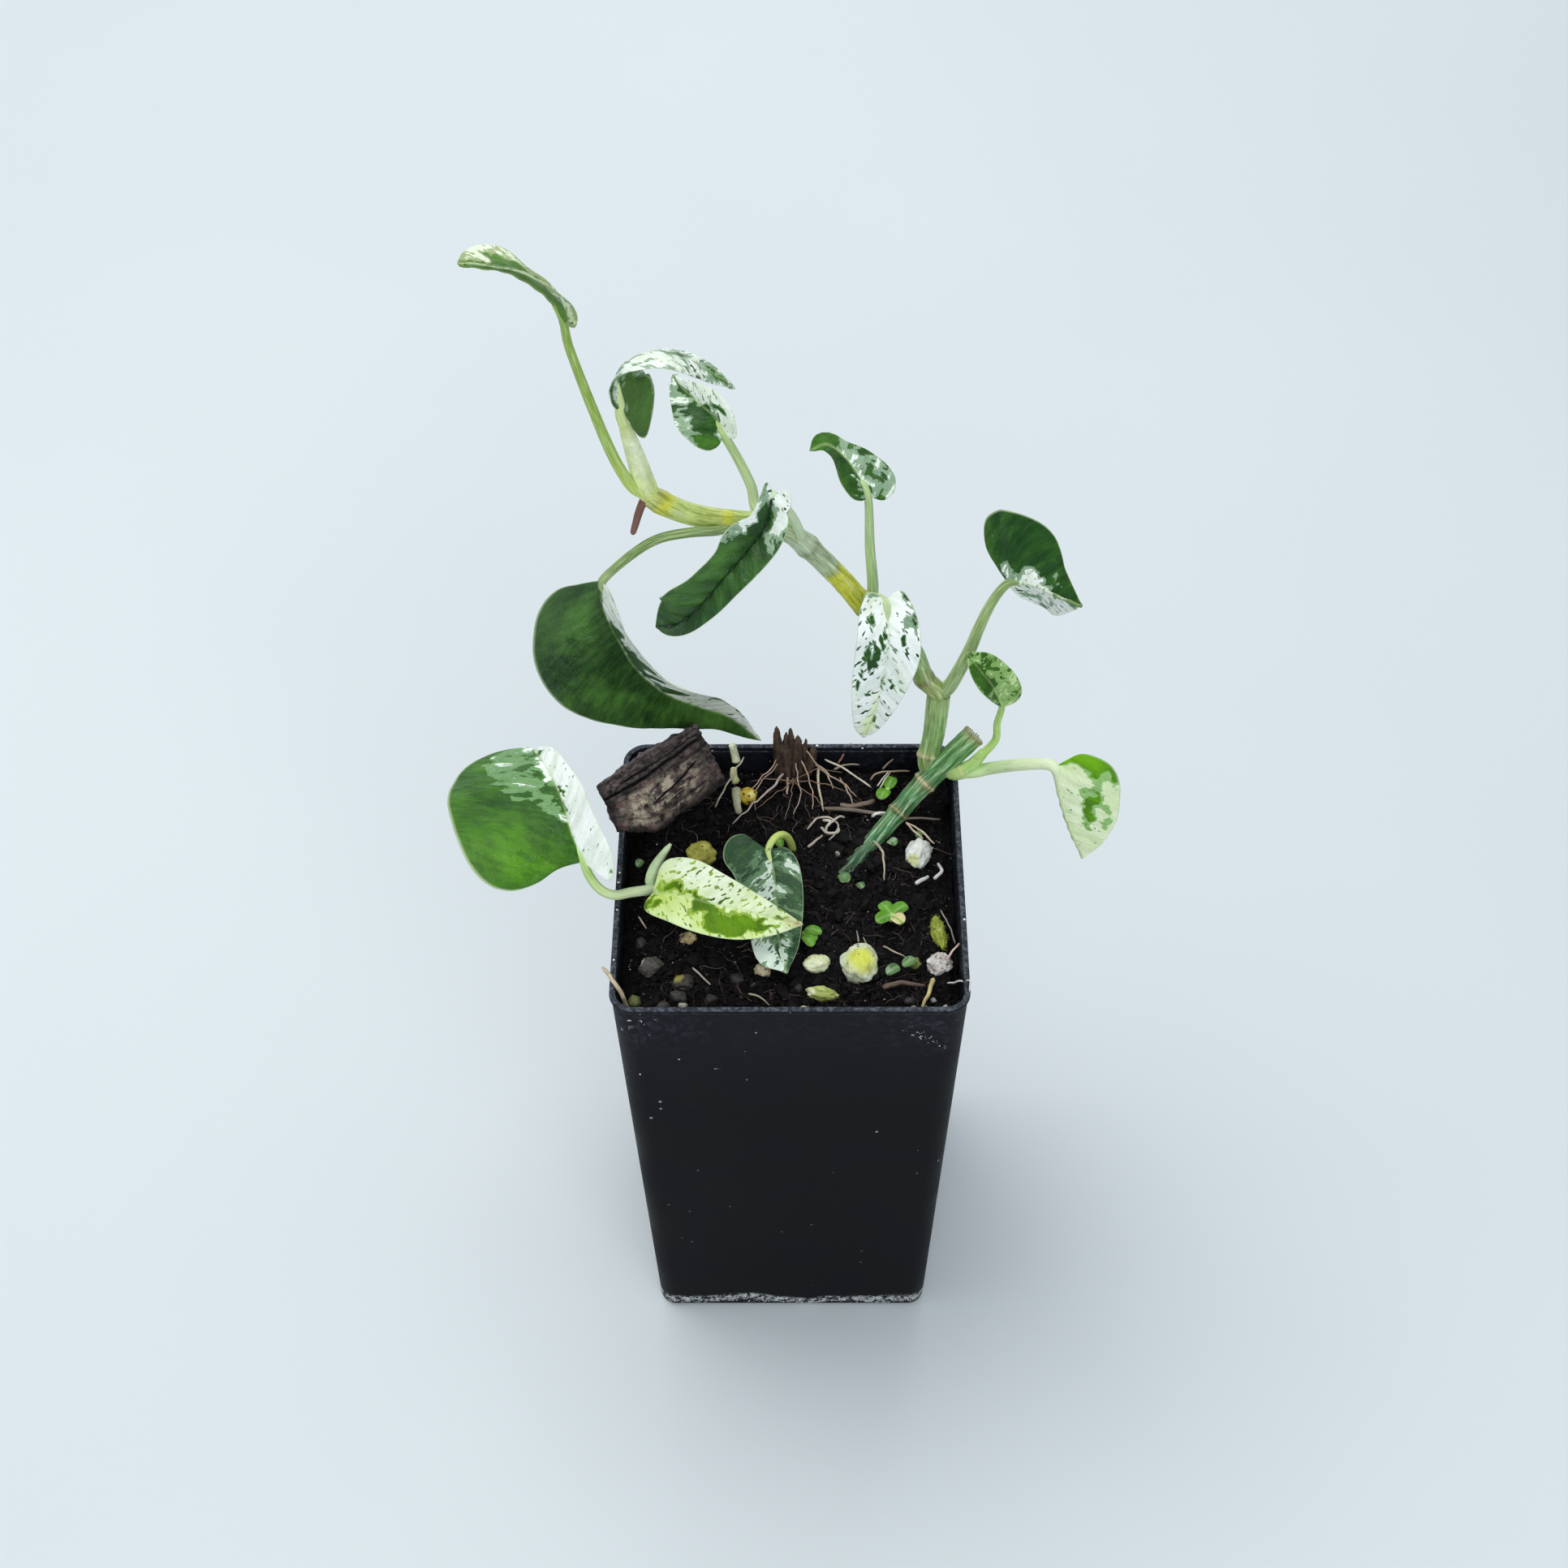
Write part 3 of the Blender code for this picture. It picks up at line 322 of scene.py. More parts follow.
def buildStage():
    pitch, yaw, roll = (math.radians(view[key]) for key in ("pitch", "yaw", "roll"))
    forward = Vector((math.sin(yaw) * math.cos(pitch), math.cos(yaw) * math.cos(pitch), -math.sin(pitch)))
    right = Vector((math.cos(yaw), -math.sin(yaw), 0))
    up = right.cross(forward)
    turnedRight = math.cos(roll) * right + math.sin(roll) * up
    turnedUp = -math.sin(roll) * right + math.cos(roll) * up
    data = bpy.data.cameras.new("camera")
    data.lens, data.sensor_width = view["lens"], view["sensor"]
    data.clip_start, data.clip_end = 0.01, 20
    camera = addObject("camera", data)
    turn = Matrix((turnedRight, turnedUp, -forward)).transposed().to_4x4()
    camera.matrix_world = Matrix.Translation(Vector(view["place"]) * mm) @ turn
    bpy.context.scene.camera = camera

    half = view["floorHalf"]
    floor = meshObject("floor", [(-half, -half, 0), (half, -half, 0), (half, half, 0), (-half, half, 0)],
                       [(0, 1, 2, 3)])
    material, tree, shader, where = makeMaterial("pale floor")
    cloud = noiseAt(where, 0.004, 3)
    colour = mixColour(step(cloud, 0.3, 0.7), *view["floorColours"])
    fill(shader, {"Base Color": colour, "Roughness": 0.8, "Specular IOR Level": 0.2})
    floor.data.materials.append(material)

    world = bpy.data.worlds.new("studio")
    world.use_nodes = True
    fill(world.node_tree.nodes["Background"], {"Color": view["air"], "Strength": view["airStrength"]})
    bpy.context.scene.world = world
    bpy.context.scene.view_settings.view_transform = "Standard"
    for name, (spot, size, power, colour) in lamps.items():
        lamp = bpy.data.lights.new(name, "AREA")
        lamp.size, lamp.energy, lamp.color = size, power, colour
        item = addObject(name, lamp)
        item.location = spot
        item.rotation_euler = (Vector(view["aim"]) - Vector(spot)).to_track_quat("-Z", "Y").to_euler()
    print("stage ready")


# ---- shader groups ----

veinLean = 0.7                # how far a side vein runs forward for each millimetre outward


def variegationGroup():
    # white, grey-green and green areas of a pothos leaf, from painted values and vein-wise noise, with painted
    # shade and painted light mottled over the greens
    inputs = {"Pale": 0.5, "Fleck": 0.3, "Glow": 0.0, "Vein place": "Vector", "Ragged": 0.5,
              "Dark": (0.02, 0.08, 0.02, 1), "Bright": (0.2, 0.45, 0.03, 1), "Grey": (0.3, 0.42, 0.28, 1),
              "White": (0.82, 0.86, 0.8, 1), "Cream": (0.75, 0.85, 0.35, 1)}
    tree, ins, result = groupTree("variegation", inputs, {"Color": "Color"})
    stretched = vectorCalc("MULTIPLY", ins["Vein place"], (1.0, 0.45, 1.0))
    broad = noiseAt(stretched, 0.42, 1.0)
    fine = noiseAt(stretched, 1.7, 2.0, 0.6)
    shift = times(minus(broad, 0.5), times(ins["Ragged"], 1.4))
    ragged = times(minus(fine, 0.5), times(ins["Ragged"], 0.9))
    value = plus(plus(ins["Pale"], shift), ragged)
    white = step(value, 0.49, 0.53)
    grey = step(value, 0.29, 0.34)
    dots = noiseAt(vectorCalc("MULTIPLY", ins["Vein place"], (1.0, 0.7, 1.0)), 1.25, 1.0, 0.5)
    edge = minus(0.74, times(ins["Fleck"], 0.34))
    fleck = step(minus(dots, edge), -0.012, 0.012)
    tone = noiseAt(ins["Vein place"], 0.16, 2.0)
    # glow moves the green towards the bright green and the white towards cream: partly the leaf's own tone, partly
    # painted light on leaves lit through from behind and on glossy patches
    glow = plus(ins["Glow"], times(minus(tone, 0.5), 0.9), True)
    green = mixColour(glow, ins["Dark"], ins["Bright"])
    # painted shade and painted light: random darker and lighter mottling over the greens, in place of the shade in
    # folds and of glossy patches
    shade = noiseAt(stretched, 0.55, 4.0, 0.68)
    green = mixColour(step(shade, 0.34, 0.56, 0.75, 0.0), green, (0.5, 0.58, 0.45), "MULTIPLY")
    green = mixColour(step(shade, 0.52, 0.72, 0.0, 0.3), green, ins["Bright"])
    mottled = mixColour(step(fine, 0.35, 0.7, 0, 0.35), ins["Grey"], green)
    pale = mixColour(glow, ins["White"], ins["Cream"])
    cloudy = mixColour(step(broad, 0.4, 0.65, 0.0, 0.22), pale, ins["Grey"])
    colour = mixColour(grey, green, mottled)
    colour = mixColour(white, colour, cloudy)
    spot = mixColour(step(tone, 0.4, 0.6), ins["Dark"], ins["Grey"])
    colour = mixColour(times(fleck, white), colour, spot)
    fill(result, {"Color": colour})
    return tree


def veinGroup():
    # fine side veins that run outward and forward from the midrib, with a little cell grain
    inputs = {"Along": 0.0, "Across": 0.0, "Spacing": 2.6}
    tree, ins, result = groupTree("side veins", inputs, {"Height": "Float", "Line": "Float"})
    away = calc("ABSOLUTE", ins["Across"])
    lead = minus(ins["Along"], times(away, veinLean))
    place = combine(tree, ins["Along"], ins["Across"], 3.0)
    wander = times(noiseAt(place, 0.35, 2.0), 1.6)
    turns = calc("DIVIDE", plus(lead, wander), ins["Spacing"])
    wave = calc("ABSOLUTE", calc("SINE", times(turns, math.pi)))
    line = step(wave, 0.0, 0.16, 1.0, 0.0)
    grain = cellsAt(place, 3.2)["Distance"]
    height = plus(times(line, -0.2), times(grain, 0.25))
    fill(result, {"Height": height, "Line": line})
    return tree


def grainGroup():
    # lumpy two-scale grain for soil, bark, stone and stems
    inputs = {"Place": "Vector", "Size": 1.0, "Contrast": 0.5, "Low": (0, 0, 0, 1), "High": (1, 1, 1, 1)}
    outputs = {"Color": "Color", "Height": "Float", "Mask": "Float"}
    tree, ins, result = groupTree("lumpy grain", inputs, outputs)
    pulled = vectorCalc("DIVIDE", ins["Place"], combine(tree, ins["Size"], ins["Size"], ins["Size"]))
    coarse = noiseAt(pulled, 0.5, 3.0, 0.6)
    fine = noiseAt(pulled, 2.1, 4.0, 0.65, 0.4)
    blend = plus(times(coarse, 0.6), times(fine, 0.4))
    spread = times(minus(1.0, ins["Contrast"]), 0.3)
    mask = step(blend, minus(0.5, spread), plus(0.5, spread))
    fill(result, {"Color": mixColour(mask, ins["Low"], ins["High"]), "Height": blend, "Mask": mask})
    return tree


def speckGroup():
    # scattered small specks of dust, grit or mineral
    inputs = {"Place": "Vector", "Scale": 1.0, "Amount": 0.2, "Size": 0.2}
    tree, ins, result = groupTree("specks", inputs, {"Mask": "Float"})
    cells = cellsAt(ins["Place"], ins["Scale"])
    picked = addNode(tree, "ShaderNodeSeparateColor", {0: cells["Color"]}).outputs
    chosen = calc("LESS_THAN", picked[0], ins["Amount"])
    size = times(ins["Size"], plus(picked[1], 0.35))
    dot = calc("LESS_THAN", cells["Distance"], size)
    fill(result, {"Mask": times(chosen, dot)})
    return tree


variegation = variegationGroup()
sideVeins = veinGroup()
lumpyGrain = grainGroup()
specks = speckGroup()


# ---- geometry trees ----

def geometryTree(name, inputs):
    inputs = {"Geometry": "Geometry", **inputs, "Material": "Material"}
    return groupTree(name, inputs, {"Geometry": "Geometry"}, "GeometryNodeTree")


def finishTree(result, geometry, material, smooth=True):
    tree = result.id_data
    values = {"Geometry": geometry, "Shade Smooth": smooth}
    shaded = addNode(tree, "GeometryNodeSetShadeSmooth", values).outputs[0]
    real = addNode(tree, "GeometryNodeRealizeInstances", {0: shaded}).outputs[0]
    last = addNode(tree, "GeometryNodeSetMaterial", {"Geometry": real, "Material": material}).outputs[0]
    fill(result, {"Geometry": last})
    return tree


def named(tree, name):
    return addNode(tree, "GeometryNodeInputNamedAttribute", {"Name": name}, data_type="FLOAT").outputs[0]


def ownPlace(tree):
    return addNode(tree, "GeometryNodeInputPosition").outputs[0]


def ownNormal(tree):
    return addNode(tree, "GeometryNodeInputNormal").outputs[0]


def store(geometry, name, value, kind="FLOAT", domain="POINT"):
    values = {"Geometry": geometry, "Name": name, "Value": value}
    return addNode(geometry.id_data, "GeometryNodeStoreNamedAttribute", values, data_type=kind,
                   domain=domain).outputs[0]


def moved(geometry, offset, socket="Offset"):
    values = {"Geometry": geometry, socket: offset}
    return addNode(geometry.id_data, "GeometryNodeSetPosition", values).outputs[0]


def circle(tree, count):
    return addNode(tree, "GeometryNodeCurvePrimitiveCircle", {"Resolution": count, "Radius": 1.0}).outputs[0]


def skinned(path, profile, thickness):
    values = {"Curve": path, "Profile Curve": profile, "Scale": thickness, "Fill Caps": True}
    return addNode(path.id_data, "GeometryNodeCurveToMesh", values).outputs[0]


def randomValue(tree, low, high, seed):
    # numbers and vectors have their own sockets on the node
    first, last, output, kind = (0, 1, 0, "FLOAT_VECTOR") if isinstance(low, tuple) else (2, 3, 1, "FLOAT")
    values = {first: low, last: high, "Seed": seed}
    return addNode(tree, "FunctionNodeRandomValue", values, data_type=kind).outputs[output]


def strewOn(ins, shape, turn, size, shade):
    # copies of a shape on random points of a surface, each with its own shade
    tree = shape.id_data
    points = addNode(tree, "GeometryNodeDistributePointsOnFaces",
                     {"Mesh": ins["Geometry"], "Density": ins["Density"], "Seed": ins["Seed"]}).outputs[0]
    spin = addNode(tree, "FunctionNodeEulerToRotation", {0: turn}).outputs[0]
    copies = addNode(tree, "GeometryNodeInstanceOnPoints",
                     {"Points": points, "Instance": shape, "Rotation": spin, "Scale": size}).outputs[0]
    shaded = store(copies, "shade", shade, domain="INSTANCE")
    return addNode(tree, "GeometryNodeRealizeInstances", {0: shaded}).outputs[0]


def shaken(geometry, scale, amount):
    # moves each point by a noise of its own
    wobble = noiseAt(ownPlace(geometry.id_data), scale, 1.0, output="Color")
    return moved(geometry, scaled(vectorCalc("SUBTRACT", wobble, (0.5, 0.5, 0.5)), amount))


def bladeTree():
    # turns a painted single sheet into a closed leaf with veins, quilting and a rounded margin
    tree, ins, result = geometryTree("leafBlade", {"Thickness": 0.42, "Quilting": 0.12, "Ripple": 0.3,
                                                   "Ripple size": 7.0, "Vein spacing": 2.8, "Midrib": 0.3})
    along, across, edge = (named(tree, name) for name in ("along", "across", "edge"))
    away = calc("ABSOLUTE", across)
    inner = minus(1.0, calc("POWER", edge, 3.0))
    turns = calc("DIVIDE", minus(along, times(away, veinLean)), ins["Vein spacing"])
    quilt = times(calc("COSINE", times(turns, 2 * math.pi)), ins["Quilting"], inner)
    waves = noiseAt(ownPlace(tree), calc("DIVIDE", 1.0, ins["Ripple size"]), 2.0)
    ripple = times(minus(waves, 0.5), ins["Ripple"])
    spine = step(away, 0.0, 0.8, 1.0, 0.0)
    valley = times(spine, times(ins["Midrib"], -0.6))
    normal = ownNormal(tree)
    shaped = moved(ins["Geometry"], scaled(normal, plus(plus(quilt, ripple), valley)))
    taper = calc("SQRT", minus(1.0, calc("POWER", edge, 4.0), True))
    half = times(ins["Thickness"], 0.5, taper)
    below = plus(half, times(spine, ins["Midrib"], taper))
    joined = addNode(tree, "GeometryNodeJoinGeometry")
    for depth, sign, under in ((half, 1.0, 0.0), (below, -1.0, 1.0)):
        side = moved(shaped, scaled(normal, times(depth, sign)))
        if under:
            side = addNode(tree, "GeometryNodeFlipFaces", {0: side}).outputs[0]
        fill(joined, {0: store(side, "under", under)})
    rim = addNode(tree, "FunctionNodeCompare", {0: edge, 1: 0.9999}, data_type="FLOAT",
                  operation="GREATER_THAN")
    merged = addNode(tree, "GeometryNodeMergeByDistance",
                     {"Geometry": joined.outputs[0], "Selection": rim.outputs[0], "Distance": 0.001})
    return finishTree(result, merged.outputs[0], ins["Material"])


def stalkTree():
    # round or ribbed stalk along a path that carries its own radius
    tree, ins, result = geometryTree("stalk", {"Sides": 16, "Ribs": 0.0, "Rib depth": 0.0, "Lumps": 0.05,
                                               "Lump size": 2.0})
    path = addNode(tree, "GeometryNodeMeshToCurve", {0: ins["Geometry"]}).outputs[0]
    where = ownPlace(tree)
    flat = addNode(tree, "ShaderNodeSeparateXYZ", {0: where}).outputs
    rib = calc("COSINE", times(calc("ARCTAN2", flat[1], flat[0]), ins["Ribs"]))
    marked = store(store(circle(tree, ins["Sides"]), "rib", rib), "turn", where, "FLOAT_VECTOR")
    profile = moved(marked, scaled(where, plus(1.0, times(rib, ins["Rib depth"]))), "Position")
    skin = skinned(path, profile, named(tree, "thick"))
    rough = noiseAt(where, calc("DIVIDE", 1.0, ins["Lump size"]), 2.0)
    lift = times(minus(rough, 0.5), times(ins["Lumps"], 2.0))
    return finishTree(result, moved(skin, scaled(ownNormal(tree), lift)), ins["Material"])


def crumbTree():
    # irregular bits strewn over a surface and half sunk into it
    tree, ins, result = geometryTree("crumbs", {"Density": 0.5, "Seed": 1, "Smallest": 0.2, "Largest": 0.6,
                                                "Flatness": 0.7, "Rough": 0.3})
    bit = addNode(tree, "GeometryNodeMeshIcoSphere", {"Radius": 1.0, "Subdivisions": 1}).outputs[0]
    shade = randomValue(tree, 0.0, 1.0, 5)
    size = plus(ins["Smallest"], times(calc("POWER", shade, 2.5), minus(ins["Largest"], ins["Smallest"])))
    shape = randomValue(tree, (0.7, 0.7, 0.6), (1.5, 1.1, 1.0), 6)
    squashed = vectorCalc("MULTIPLY", shape, combine(tree, 1.0, 1.0, ins["Flatness"]))
    turn = randomValue(tree, (-0.5, -0.5, 0.0), (0.5, 0.5, 6.28), 7)
    bits = strewOn(ins, bit, turn, scaled(squashed, size), shade)
    return finishTree(result, shaken(bits, 1.9, ins["Rough"]), ins["Material"], False)


def fibreTree():
    # short bent fibres that lie on a surface, or stand up from it when Rise is high
    tree, ins, result = geometryTree("fibres", {"Density": 0.1, "Seed": 1, "Shortest": 1.0, "Longest": 4.0,
                                                "Thick": 0.06, "Bend": 0.5, "Rise": 0.3})
    line = addNode(tree, "GeometryNodeCurvePrimitiveLine", {"Start": (0, 0, 0), "End": (1, 0, 0)}).outputs[0]
    dense = addNode(tree, "GeometryNodeResampleCurve", {"Curve": line, "Count": 6}).outputs[0]
    length = randomValue(tree, ins["Shortest"], ins["Longest"], 11)
    turn = randomValue(tree, (0.0, -1.0, 0.0), (6.28, 0.15, 6.28), 12)
    tilt = vectorCalc("MULTIPLY", turn, combine(tree, 1.0, ins["Rise"], 1.0))
    lines = strewOn(ins, dense, tilt, length, randomValue(tree, 0.0, 1.0, 13))
    share = addNode(tree, "GeometryNodeSplineParameter").outputs[0]
    thin = times(ins["Thick"], step(share, 0.3, 1.0, 1.0, 0.45, "LINEAR"))
    skin = skinned(shaken(lines, 0.45, ins["Bend"]), circle(tree, 4), thin)
    return finishTree(result, skin, ins["Material"])


leafBlade = bladeTree()
stalk = stalkTree()
crumbs = crumbTree()
fibres = fibreTree()


# ---- stalks: stems, petioles, roots, straws ----

def stalkMaterial(name, dark, light, gloss, streak, grit):
    # colour comes from the path's tint, streaked lengthwise
    material, tree, shader, where = makeMaterial(name)
    tint = attribute(tree, "tint", "Color")
    turn = attribute(tree, "turn", "Vector")
    along = attribute(tree, "along")
    rib = attribute(tree, "rib")
    lengthwise = combine(tree, 0.0, 0.0, times(along, 0.09))
    drawn = vectorCalc("ADD", scaled(turn, 1.9), lengthwise)
    lines = noiseAt(drawn, 2.6, 3.0, 0.6)
    stripes = plus(times(rib, 0.05), lines)
    colour = mixColour(step(stripes, 0.36, 0.5, streak, 0.0), tint, dark, "MULTIPLY")
    colour = mixColour(step(stripes, 0.52, 0.7, 0.0, streak), colour, light)
    dirt = useGroup(tree, lumpyGrain, {"Place": where, "Size": 1.2, "Contrast": 0.7})
    colour = mixColour(times(dirt["Mask"], grit), colour, (0.12, 0.09, 0.05))
    fill(shader, {"Base Color": colour, "Roughness": step(lines, 0.3, 0.7, gloss - 0.08, gloss + 0.12),
                  "Specular IOR Level": 0.25})
    height = plus(lines, times(dirt["Height"], 0.5))
    bump(shader, height, 0.35, 0.0002)
    return material


def growStalk(name, points, profile, tints, material, rings, sides, ribs=0, ribDepth=0, lumps=0.05,
              lumpSize=2.0):
    # profile holds diameters and tints colours, both by their fraction of the length
    path = Path(points)
    fractions = sorted(set(np.round(np.linspace(0, 1, rings + 1), 5)) | {row[0] for row in profile})
    links = [(k, k + 1) for k in range(len(fractions) - 1)]
    item = meshObject(name, [path.at(f) for f in fractions], [], links)
    writeValues(item.data, "thick", [table(profile, f) / 2 for f in fractions])
    writeValues(item.data, "along", [f * path.length for f in fractions])
    writeValues(item.data, "tint", [(*table(tints, f), 1) for f in fractions], "FLOAT_COLOR")
    return applyTree(item, stalk, {"Sides": sides, "Ribs": float(ribs), "Rib depth": float(ribDepth),
                                   "Lumps": lumps, "Lump size": lumpSize, "Material": material})


# ---- leaves ----

heart = [(0, 0), (-0.09, 0.25), (-0.09, 0.58), (0.04, 0.86), (0.25, 1), (0.52, 0.84), (0.8, 0.42), (1, 0)]
flat = [(0, 0), (0, 0)]
rowCrowding = 1.15                        # above 1 sets the rows closer at the stalk end
patchDrift = ((0.38, 1.9), (1.1, 1.0))    # noise scale and reach in millimetres of the bends in patches
cellSize = 0.42                           # millimetres between the rows and columns of a leaf
oval = [(0, 0), (-0.02, 0.3), (0.04, 0.62), (0.25, 0.95), (0.5, 0.9), (0.78, 0.5), (1, 0)]

